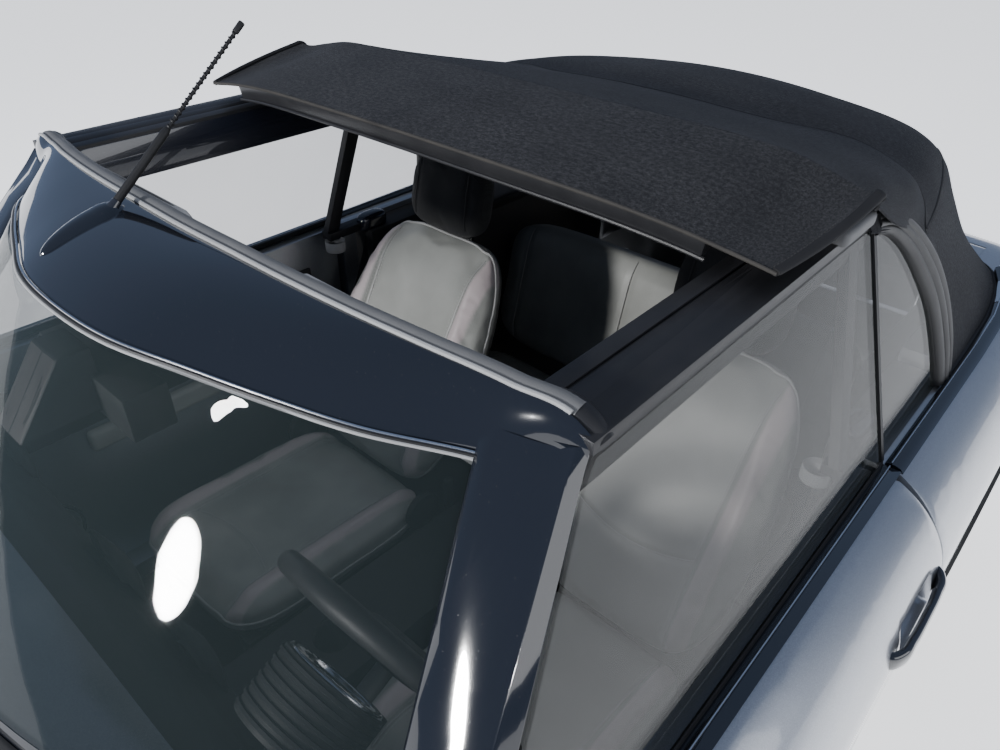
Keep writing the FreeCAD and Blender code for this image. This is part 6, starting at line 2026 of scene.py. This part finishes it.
        def shape(spots: np.ndarray) -> np.ndarray:
            """Narrower above, its face slightly hollow."""
            side, height, depth = spots.T.copy()
            side *= 1.0 - 0.10 * smooth_rise(height, 0.0, 88.0)
            depth += np.where(depth > 0.0, -5.0 + 8.0 * (side / 112.0) ** 2, 0.0)
            return np.stack((side, height, depth), -1)

        pad = pad_form("head_rest", self.rest, self.rest_half, 4.0, 26, shape)
        stuffed(pad, 6.0, 8.0)
        way = tuple(-value for value in self.rest.front)
        height = np.linspace(-74.0, 74.0, 30)
        for order, sign in enumerate((-1.0, 1.0)):
            line = self.rest.out(placed(sign * (80.0 - height * 0.04), height, 120.0))
            spots, _ = laid_on(pad, line, way)
            press_seam(pad, spots, 3.0, 5.0)
            self.twin(swept("head_rest_seam_%d" % order, spots, ring(1.3, 6), tuple(self.rest.front)),
                      Finishes.SEAT_DARK)
        self.twin(pad, Finishes.SEAT_MESH, 0.8)
        for y in (-60.0, 60.0):
            post = rod("head_rest_post_%d" % y, (-684.0, self.side_y + y, 965.0),
                       (-700.0, self.side_y + y, 1050.0), 6.5, 16, 0.0)
            self.twin(post, Finishes.BRIGHT)
            collar = rod("head_rest_collar_%d" % y, (-680.0, self.side_y + y, 996.0),
                         (-686.0, self.side_y + y, 1020.0), 12.0, 20, 2.0)
            self.twin(collar, Finishes.TRIM)

    def add_base(self) -> None:
        """The slides under the cushion and the hinge covers beside it."""
        for offset in (-180.0, 180.0):
            y = self.side_y + offset
            rail = block("seat_slide_%d" % offset, (-300.0, y - 20.0, 252.0), (140.0, y + 20.0, 385.0),
                         5.0, 2)
            inset_faces(rail, lambda middle, normal: abs(normal.y) > 0.9, (0.012, -0.006))
            self.twin(rail, Finishes.UNDER_METAL)
        for sign in (-1.0, 1.0):
            y = self.side_y + sign * 234.0
            cover = rod("seat_hinge_%d" % sign, (-335.0, y - 9.0, 455.0), (-335.0, y + 9.0, 455.0), 48.0,
                        36, 5.0)
            inset_faces(cover, lambda middle, normal: abs(normal.y) > 0.95, (0.010, -0.003))
            self.twin(cover, Finishes.TRIM)


@dataclass
class RearSeat:
    """The rear bench and its backrest, two hollowed places with a pad between."""

    rest: Couch = Couch((-1113, 0, 655), (-0.25, 0.0, 0.968), (0.968, 0.0, 0.25))
    rest_half: Point = (540, 208, 44)
    bench: Couch = Couch((-872, 0, 410), (1.0, 0.0, 0.05), (-0.05, 0.0, 1.0))
    bench_half: Point = (540, 158, 46)

    def build(self) -> None:
        """Makes both pads with their seams."""
        for name, couch, half in (("rear_rest", self.rest, self.rest_half),
                                  ("rear_bench", self.bench, self.bench_half)):

            def shape(spots: np.ndarray) -> np.ndarray:
                """Two shallow seats beside a raised middle."""
                side, height, depth = spots.T.copy()
                front = smooth_rise(depth, -4.0, 10.0)
                hollow = np.exp(-((np.abs(side) - 285.0) / 120.0) ** 2)
                depth -= front * (10.0 * hollow - 4.0)
                return np.stack((side, height, depth), -1)

            pad = pad_form(name, couch, half, 6.0, 40, shape)
            stuffed(pad, 9.0, 10.0)
            way = tuple(-value for value in couch.front)
            height = np.linspace(-half[1] * 0.9, half[1] * 0.9, 30)
            for order, y in enumerate((-450, -90, 90, 450)):
                line = couch.out(placed(y, height, 160.0))
                spots, _ = laid_on(pad, line, way)
                press_seam(pad, spots, 5.0, 9.0)
                fit(swept("%s_seam_%d" % (name, order), spots, ring(1.6, 6), tuple(couch.front)),
                    Finishes.PIPING, Body.SHELL)
            fit(pad, Finishes.LEATHER, Body.SHELL, ("rear_seat",) if name == "rear_rest" else ())
        plinth = block("rear_seat_base", (-1040, -552, 303), (-722, 552, 372), 8.0, 3)
        fit(plinth, Finishes.SEAT_DARK, Body.SHELL)


# Cabin

@dataclass
class Cabin:
    """The steering wheel, instrument pod, dashboard details, belts and door linings."""

    wheel: Couch = Couch((165, 370, 905), (0.4067, 0.0, 0.9135), (-0.9135, 0.0, 0.4067))
    rim_radius: float = 185.0
    grip_radius: float = 16.0
    pod_radius: float = 76.0
    pod_start: Point = (260.9, 370, 950.3)
    ribs: int = 7
    steps: int = 64
    frit_half: float = 16.0
    # shares of the screen's height at the band and at the dots
    frit_shares: Sequence[float] = (0.93, 0.88)

    def build(self) -> None:
        """Makes every piece."""
        self.form_wheel()
        self.rib_pod()
        self.dress_dash()
        self.line_doors()
        self.hang_belts()
        self.print_frit()

    def form_wheel(self) -> None:
        """The leather rim with thumb grips, the hub pad and the spokes."""
        flat = hoop(self.rim_radius, 120)
        path = self.wheel.out(flat)
        grip = swept("steering_rim", path, ring(self.grip_radius, 14), self.wheel.front, closed=True,
                     scale=lambda share: 1.0 + 0.10 * math.cos(4.0 * math.pi * share) ** 6, angle=70.0)
        fit(grip, Finishes.SEAT_DARK, Body.STEERING_WHEEL, ("steering_wheel",))
        inner = self.wheel.out(flat * np.array((0.912, 0.912, 1.0)))
        fit(row_of("steering_rim_stitches", inner, (5.0, 1.0, 1.0), self.wheel.front, 4.0),
            Finishes.STITCH, Body.STEERING_WHEEL)
        hub = pad_form("steering_hub", self.wheel, (62, 52, 24), 4.0, 18)
        fit(hub, Finishes.TRIM, Body.STEERING_WHEEL)
        for order, angle in enumerate((0.0, math.pi, 1.5 * math.pi)):
            share = np.linspace(0.24, 0.94, 12)
            spots = np.stack((self.rim_radius * share * math.cos(angle),
                              self.rim_radius * share * math.sin(angle),
                              10.0 * np.sin(share * math.pi)), -1)
            bar = swept("steering_spoke_%d" % order, self.wheel.out(spots),
                        [(-19.0, -5.0), (-15.0, 5.0), (15.0, 5.0), (19.0, -5.0)],
                        self.wheel.front, lambda part: 1.1 - 0.3 * math.sin(part * math.pi))
            fit(bar, Finishes.BRIGHT if order < 2 else Finishes.TRIM, Body.STEERING_WHEEL)
        middle = Vector(self.wheel.out(np.zeros(3)))
        ahead = -Vector(self.wheel.front)
        shaft = rod("steering_shaft", middle + ahead * 8.0, middle + ahead * 99.0, 14.0, 24, 0.0)
        fit(shaft, Finishes.CAST_STEEL, Body.STEERING_WHEEL)

    def rib_pod(self) -> None:
        """The ribs round the instrument pod and the dial in its rear end."""
        ahead = -Vector(self.wheel.front)
        start = Vector(self.pod_start)
        for order in range(self.ribs):
            middle = start + ahead * (8.0 + order * 12.0)
            couch = Couch(tuple(middle), self.wheel.up, self.wheel.front)
            path = couch.out(hoop(self.pod_radius + 0.6, self.steps))
            rib = swept("pod_rib_%d" % order, path, [(-1.5, -3.2), (-1.5, 3.2), (1.8, 2.0), (1.8, -2.0)],
                        tuple(ahead), closed=True)
            fit(rib, Finishes.RAIL_RUBBER, Body.SHELL)
        couch = Couch(tuple(start - ahead * 1.5), self.wheel.up, self.wheel.front)
        path = couch.out(hoop(68.0, self.steps))
        fit(swept("pod_bezel", path, ring(4.0, 10), tuple(ahead), closed=True), Finishes.BRIGHT, Body.SHELL)
        face = rod("pod_dial", start - ahead * 2.2, start + ahead * 2.0, 65.0, 64, 0.6)
        fit(face, Finishes.BLACK_GLOSS, Body.SHELL)
        ticks = []
        for order in range(21):
            angle = math.radians(-40.0 + 13.0 * order)
            spots = couch.out(np.array([(radius * math.cos(angle), radius * math.sin(angle), 2.6)
                                        for radius in (52, 56, 60)]))
            ticks.append(swept("pod_tick", spots, [(-0.8, -0.5), (-0.8, 0.5), (0.8, 0.5), (0.8, -0.5)],
                               tuple(ahead)))
        fit(joined("pod_ticks", ticks), Finishes.STITCH, Body.SHELL)

    def dress_dash(self) -> None:
        """Vents, the demister slots and the screen's shelf on the dashboard."""
        first = block("dash_slat", (500, -300, 926), (506, 300, 930), 1.2, 2)
        slats = [copied(first, "dash_slat", Matrix.Translation((0.012 * order, 0.0, 0.0)))
                 for order in range(1, 3)]
        fit(joined("dash_demister", [first, *slats]), Finishes.RAIL, Body.SHELL)
        for order, y in enumerate((-520, -115, 115, 530)):
            vent = rod("dash_vent_%d" % order, (318.0, y, 812.0), (336.0, y, 812.0), 40.0, 40, 3.0)
            inset_faces(vent, lambda middle, normal: normal.x < -0.9, (0.006, 0.0), (0.002, -0.010))
            fit(vent, Finishes.TRIM, Body.SHELL)
            blades = [block("blade", (317.0, y - 30.0, z - 1.2), (328.0, y + 30.0, z + 1.2), 0.8, 1)
                      for z in (792, 805, 819, 832)]
            fit(joined("dash_vent_blades_%d" % order, blades), Finishes.TRIM, Body.SHELL)
        screen = rod("dash_centre_dial", (306, 0, 720), (330, 0, 720), 82.0, 64, 4.0)
        inset_faces(screen, lambda middle, normal: normal.x < -0.9, (0.010, -0.004))
        fit(screen, Finishes.BLACK_GLOSS, Body.SHELL)
        lever = rod("gear_lever", (40, 0, 462), (28, 0, 560), 8.0, 20, 1.0)
        fit(lever, Finishes.BRIGHT, Body.SHELL)
        knob = pad_form("gear_knob", Couch((26, 0, 580), (0.0, 0.0, 1.0), (1.0, 0.0, 0.0)),
                        (21, 28, 21), 2.6, 10)
        fit(knob, Finishes.SEAT_DARK, Body.SHELL)
        path = np.array([(42.0, 0.0, z) for z in (462, 476, 490, 504, 516)])
        gaiter = swept("gear_gaiter", path, ring(46.0, 24), (1.0, 0.0, 0.0),
                       lambda share: 1.0 - 0.78 * share + 0.06 * math.sin(share * 18.0))
        fit(gaiter, Finishes.SEAT_DARK, Body.SHELL)

    def line_doors(self) -> None:
        """Arm rest, pull and speaker ring on each door's inner side."""
        rest = block("door_arm_rest", (-360, 664, 636), (160, 693, 690), 12.0, 4)
        pair(rest, Finishes.LEATHER, Body.DOOR_LEFT, Body.DOOR_RIGHT)
        card = block("door_card_band", (-480, 682, 700), (330, 692, 860), 4.0, 2)
        pair(card, Finishes.SEAT_DARK, Body.DOOR_LEFT, Body.DOOR_RIGHT)
        speaker = swept("door_speaker_ring", hoop(74.0, 48, (300, 689, 470), 1), ring(4.5, 8),
                        (0.0, 1.0, 0.0), closed=True)
        pair(speaker, Finishes.RAIL, Body.DOOR_LEFT, Body.DOOR_RIGHT)
        pull = swept("door_pull", spread(((150, 690, 760), (140, 668, 762), (80, 664,
            764), (20, 668, 762), (10, 690, 760)), 24),
                     ring(7.0, 10), (0.0, 1.0, 0.001))
        pair(pull, Finishes.BRIGHT, Body.DOOR_LEFT, Body.DOOR_RIGHT)

    def hang_belts(self) -> None:
        """The belts beside the front seats, their caps and buckles."""
        path = spread(((-668, 646, 926), (-640, 644, 850), (-560, 640, 690),
                       (-430, 636, 480), (-400, 634, 330)), 40)
        strap = swept("belt_webbing", path, [(-0.8, -22.0), (-0.8, 22.0), (0.8, 22.0), (0.8, -22.0)],
                      (0.35, 0.0, 0.1))
        pair(strap, Finishes.WEBBING, Body.SHELL)
        cap = pad_form("belt_cap", Couch((-668, 650, 944), (0.0, 0.0, 1.0), (1.0, 0.0, 0.0)),
                       (22, 26, 44), 3.0, 12)
        pair(cap, Finishes.TRACK, Body.SHELL)
        cup = rod("belt_cup", (-536, 640, 905), (-536, 640, 934), 26.0, 32, 4.0)
        inset_faces(cup, lambda middle, normal: normal.z > 0.9, (0.005, -0.008))
        pair(cup, Finishes.VISOR, Body.SHELL)
        buckle = block("belt_buckle", (-420, 108, 430), (-395, 126, 520), 5.0, 3)
        pair(buckle, Finishes.TRIM, Body.SHELL)

    def print_frit(self) -> None:
        """The black band printed along the windscreen's foot and its row of dots."""
        glass = node_copy("windscreen", "windscreen_guide")
        header = Header()
        y = np.linspace(-470.0, 470.0, 80)
        top = header.edge(y, 0.0) + np.array((9, 0, 40))
        foot = placed(594.0 - 180.0 * (y / 494.0) ** 2, y * 608.0 / 494.0, 1100.0)
        rows = []
        for share in self.frit_shares:
            line = top * (1.0 - share) + foot * share + np.array((0, 0, 200))
            rows.append(laid_on(glass, line, (0.0, 0.0, -1.0)))
        (spots, lift), (dots, dots_lift) = rows
        half = self.frit_half
        band = swept("screen_frit", spots + lift * 0.4,
                     [(-half, -0.3), (-half, 0.3), (half, 0.3), (half, -0.3)], lift)
        fit(band, Finishes.BLACK_GLOSS, Body.SHELL)
        fit(row_of("screen_frit_dots", dots + dots_lift * 0.3, (4.6, 4.6, 0.6), dots_lift, 5.0),
            Finishes.TRIM, Body.SHELL)
        bpy.data.objects.remove(glass)


# Outside

@dataclass
class Wheels:
    """What each wheel carries: tread, shoulder lines, brake disc, centre cap and bolts."""

    radius: float = 308.0
    half_track: float = 750.0
    tread_from: float = 0.296
    groove: float = 7.0
    blocks: int = 60
    bolts: int = 4
    bolt_circle: float = 50.0
    places: Sequence[tuple[str, Body, float, float]] = (
        ("front_left", Body.WHEEL_FRONT_LEFT, 1150.0, 1.0),
        ("front_right", Body.WHEEL_FRONT_RIGHT, 1150.0, -1.0),
        ("rear_left", Body.WHEEL_REAR_LEFT, -1345.0, 1.0),
        ("rear_right", Body.WHEEL_REAR_RIGHT, -1345.0, -1.0),
    )

    def build(self) -> None:
        """Makes one wheel's pieces and copies them to the four places."""
        pieces = [(self.cut_tread(), Finishes.TYRE), (self.turn_disc(), Finishes.CAST_STEEL),
                  (self.add_cap(), Finishes.TRIM),
                  (self.add_bolts(), Finishes.BRIGHT), (self.edge_rim(), Finishes.BRIGHT)]
        for place, body, x, side in self.places:
            tyre = node_copy("tyre_" + place, "tyre_%s_skin" % place)
            for vertex in tyre.data.vertices:
                across, up = vertex.co.x - x * MM, vertex.co.z - self.radius * MM
                reach = math.hypot(across, up)
                if reach > self.tread_from:
                    share = (reach - self.groove * MM) / reach
                    vertex.co.x, vertex.co.z = x * MM + across * share, self.radius * MM + up * share
            smooth(tyre, 32.0)
            fit(tyre, Finishes.TYRE, body, ("tyre_" + place,))
            move = Matrix.Translation((x * MM, side * self.half_track * MM,
                self.radius * MM)) @ Matrix.Rotation(0.0 if side > 0 else math.pi, 4, "Z")
            for piece, finish in pieces:
                fit(copied(piece, "%s_%s" % (piece.name, place), move), finish, body)
        for piece, _ in pieces:
            bpy.data.objects.remove(piece)

    def cut_tread(self) -> bpy.types.Object:
        """Rows of slanted tread blocks round the tyre."""
        rows = ((-74, 30, 0.35), (-38, 28, -0.25), (0, 32, 0), (38, 28, 0.25),
                (74, 30, -0.35))
        blocks = []
        for order, (middle, width, slant) in enumerate(rows):
            length = FULL_TURN * self.radius / self.blocks * 0.80
            drop = abs(middle) ** 3 * 0.0000055
            low, high = self.radius - self.groove - 3.0, self.radius - drop
            shape = block("tread_block", (-length / 2.0, middle - width / 2.0, low),
                          (length / 2.0, middle + width / 2.0, high), 1.6, 1)
            edit(shape, lambda point, normal: point.y > (middle + width * 0.3) * MM)
            bpy.ops.transform.translate(value=(slant * 0.018, 0.0, 0.0))
            leave()
            for step in range(self.blocks):
                turn = Matrix.Rotation(FULL_TURN * (step + 0.5 * (order % 2)) / self.blocks, 4, "Y")
                blocks.append(copied(shape, "tread_part", turn))
            bpy.data.objects.remove(shape)
        return joined("tread", blocks)

    def turn_disc(self) -> bpy.types.Object:
        """The brake disc, stepped and vented behind the spokes."""
        disc = rod("brake_disc", (0, -28, 0), (0.0, -6.0, 0.0), 117.0, 64, 1.5)
        inset_faces(disc, lambda middle, normal: normal.y > 0.9, (0.052, 0.0), (0.006, 0.016))
        smooth(disc)
        return disc

    def add_cap(self) -> bpy.types.Object:
        """The plain centre cap."""
        cap = rod("wheel_cap", (0, 66, 0), (0, 76, 0), 31.0, 40, 3.0)
        inset_faces(cap, lambda middle, normal: normal.y > 0.9, (0.004, -0.0015))
        return cap

    def add_bolts(self) -> bpy.types.Object:
        """Four wheel bolts round the cap."""
        bolts = []
        for order in range(self.bolts):
            angle = FULL_TURN / self.bolts * order + 0.4
            x, z = self.bolt_circle * math.cos(angle), self.bolt_circle * math.sin(angle)
            bolts.append(rod("bolt", (x, 60.0, z), (x, 75.0, z), 8.5, 6, 1.0))
        return joined("wheel_bolts", bolts)

    def edge_rim(self) -> bpy.types.Object:
        """The rolled edge of the rim."""
        return swept("rim_edge", hoop(217.0, 72, (0, 89, 0), 1), ring(4.0, 8), (0.0, 1.0, 0.0),
                     closed=True)


@dataclass
class Outside:
    """Lamps, grille surround, blank plates, scuttle slats and tail pipe rings."""

    lamp: Point = (1800, 565, 700)
    plate_front: tuple[Point, Point] = ((1903, -260, 474), (1912, 260, 584))
    plate_rear: tuple[Point, Point] = ((-1916, -260, 400), (-1907, 260, 510))

    def build(self) -> None:
        """Makes every piece."""
        self.fill_lamps()
        self.frame_grille()
        self.fix_plates()
        self.slat_scuttle()
        self.ring_pipes()

    def fill_lamps(self) -> None:
        """The reflector, projector and surround of each headlamp."""
        x, y, z = self.lamp
        bowl = rod("lamp_reflector", (x - 60.0, y, z), (x - 40.0, y, z), 78.0, 48, 2.0)
        edit(bowl, lambda middle, normal: normal.x > 0.9)
        for _ in range(3):
            bpy.ops.mesh.inset(thickness=0.010, depth=-0.004)
        leave()
        smooth(bowl, 50.0)
        pair(bowl, Finishes.BRIGHT, Body.SHELL)
        lens = pad_form("lamp_projector", Couch((x - 20.0, y, z), (0.0, 0.0, 1.0), (1.0, 0.0, 0.0)),
                        (34, 34, 30), 2.0, 14)
        pair(lens, Finishes.LAMP_GLASS, Body.SHELL)
        path = hoop(37.0, 64, (x - 14.0, y, z), 0)
        pair(swept("lamp_projector_ring", path, ring(3.2, 8), (1.0, 0.0, 0.0), closed=True),
             Finishes.BRIGHT, Body.SHELL)

    def frame_grille(self) -> None:
        """A bright line round the upper grille."""
        loop = []
        for y, z in ((318.0, 733.0), (-318.0, 733.0), (-318.0, 624.0), (318.0, 624.0)):
            loop.append((1903.0 - abs(y) * 0.02, y, z))
        path = []
        for start, goal in zip(loop, loop[1:] + loop[:1]):
            path += [np.array(start) + (np.array(goal) - np.array(start)) * share
                     for share in np.linspace(0.02, 0.98, 24)]
        surround = swept("grille_surround", np.array(path), ring(4.5, 8), (1.0, 0.0, 0.0), closed=True)
        fit(surround, Finishes.BRIGHT, Body.SHELL)

    def fix_plates(self) -> None:
        """Blank plates with a raised border and their screws."""
        for name, (low, high), out in (("front_plate", self.plate_front, 1.0),
                                       ("rear_plate", self.plate_rear, -1.0)):
            plate = block(name, low, high, 3.0, 2)
            inset_faces(plate, lambda middle, normal: normal.x * out > 0.9, (0.006, -0.0015))
            fit(plate, Finishes.PLATE, Body.SHELL)
            face = high[0] if out > 0 else low[0]
            screws = [rod("screw", (face - out * 3.0, y, (low[2] + high[2]) / 2.0),
                          (face + out * 0.6, y, (low[2] + high[2]) / 2.0), 5.0, 14, 0.6)
                      for y in (-200.0, 200.0)]
            fit(joined(name + "_screws", screws), Finishes.CAST_STEEL, Body.SHELL)

    def slat_scuttle(self) -> None:
        """The slatted air intake behind the bonnet."""
        tray = block("scuttle_tray", (596, -540, 896), (664, 540, 910), 4.0, 2)
        fit(tray, Finishes.TRIM, Body.SHELL)
        slat = block("scuttle_slat", (602, -536, 909), (658, -531, 918), 1.5, 1)
        slats = [copied(slat, "slat", Matrix.Translation((0.0, 0.0239 * order, 0.0)))
                 for order in range(1, 45)]
        fit(joined("scuttle_slats", [slat, *slats]), Finishes.TRIM, Body.SHELL)

    def ring_pipes(self) -> None:
        """Bright rolled ends on the two tail pipes."""
        for order, y in enumerate((-70.0, 70.0)):
            path = hoop(29.0, 40, (-1904.0, y, 240.0), 0)
            fit(swept("tail_pipe_ring_%d" % order, path, ring(3.0, 8), (1.0, 0.0, 0.0), closed=True),
                Finishes.BRIGHT, Body.SHELL)


# Studio

@dataclass
class Studio:
    """Pale floor, soft lights and the camera at the photograph's place."""

    camera_place: Point = (0.542000, 0.868623, 1.784128)
    camera_right: Point = (-0.664289, 0.747324, 0.015072)
    camera_down: Point = (0.421039, 0.390766, -0.818552)
    camera_ahead: Point = (-0.617613, -0.537410, -0.574234)
    lens: float = 27.507
    floor_half: float = 60.0
    floor_tone: Colour = (0.9, 0.9, 0.9)
    floor_glow: float = 1.2
    aim: Point = (-0.2, 0.0, 1.1)
    # name, place and size in metres, power in watts
    lights: Sequence[tuple[str, Point, tuple[float, float], float]] = (
        ("sun_disc", (4.138, -0.565, 2.236), (0.55, 0.55), 340.0),
        ("overhead_softbox", (-0.5, 0.6, 5.5), (9.0, 7.5), 200.0),
        ("side_softbox", (-0.5, 7.0, 3.2), (8.0, 3.0), 170.0),
    )
    light_tone: Colour = (0.30, 0.40, 0.62)
    light_strength: float = 0.55
    seen_tone: Colour = (0.80, 0.81, 0.82)

    def build(self) -> None:
        """Sets up the floor, lights, world and camera."""
        self.lay_floor()
        for light in self.lights:
            self.hang_light(*light)
        self.light_world()
        self.stand_camera()

    def lay_floor(self) -> None:
        """A plain pale floor under the wheels."""
        clear_selection()
        bpy.ops.mesh.primitive_plane_add(size=2.0 * self.floor_half, location=(0.0, 0.0, 0.0))
        floor = bpy.context.object
        floor.name = "studio_floor"
        bench = ShaderBench("studio_floor_paint")
        floor.data.materials.append(bench.surface(
            Base_Color=self.floor_tone, Roughness=0.9,
            Emission_Color=(1.0, 1.0, 1.0, 1.0), Emission_Strength=self.floor_glow))

    def hang_light(self, name: str, place: Point, size: tuple[float, float], power: float) -> None:
        """Adds a soft rectangular light that faces the car's cabin.

        Args:
            name: the light's name.
            place: its middle, in metres.
            size: its width and height.
            power: its power in watts.
        """
        data = bpy.data.lights.new(name, "AREA")
        data.shape = "ELLIPSE" if "disc" in name else "RECTANGLE"
        data.size, data.size_y = size
        data.energy = power
        light = bpy.data.objects.new(name, data)
        light.location = place
        aim = Vector(self.aim) - Vector(place)
        light.rotation_euler = aim.to_track_quat("-Z", "Y").to_euler()
        light.visible_glossy = "overhead" not in name
        bpy.context.scene.collection.objects.link(light)

    def light_world(self) -> None:
        """A pale surround for the camera, with a bluer light on the car."""
        world = bpy.data.worlds.new("studio_surround")
        world.use_nodes = True
        tree = world.node_tree
        lit = tree.nodes["Background"]
        lit.inputs["Color"].default_value = (*self.light_tone, 1.0)
        lit.inputs["Strength"].default_value = self.light_strength
        seen = tree.nodes.new("ShaderNodeBackground")
        seen.inputs["Color"].default_value = (*self.seen_tone, 1.0)
        ray = tree.nodes.new("ShaderNodeLightPath")
        choice = tree.nodes.new("ShaderNodeMixShader")
        tree.links.new(ray.outputs["Is Camera Ray"], choice.inputs[0])
        tree.links.new(lit.outputs[0], choice.inputs[1])
        tree.links.new(seen.outputs[0], choice.inputs[2])
        tree.links.new(choice.outputs[0], tree.nodes["World Output"].inputs["Surface"])
        bpy.context.scene.world = world

    def stand_camera(self) -> None:
        """Puts the camera where the photograph was taken."""
        data = bpy.data.cameras.new("photo_camera")
        data.lens = self.lens
        data.sensor_width = 36.0
        data.sensor_fit = "HORIZONTAL"
        data.clip_start = 0.02
        camera = bpy.data.objects.new("photo_camera", data)
        axes = (self.camera_right, [-value for value in self.camera_down],
                [-value for value in self.camera_ahead])
        turn = Matrix(axes).transposed().to_4x4()
        camera.matrix_world = Matrix.Translation(self.camera_place) @ turn
        bpy.context.scene.collection.objects.link(camera)
        bpy.context.scene.camera = camera


def main() -> None:
    """Builds the car's looks, one sub-assembly after another."""
    logging.basicConfig(level=logging.INFO, format="%(message)s")
    Studio().build()
    Shell().build()
    SoftTop().build()
    Header().build()
    Antenna().build()
    SideRails().build()
    DoorTrim().build()
    FrontSeats().build()
    RearSeat().build()
    Cabin().build()
    Wheels().build()
    Outside().build()


if __name__ == "__main__":
    main()
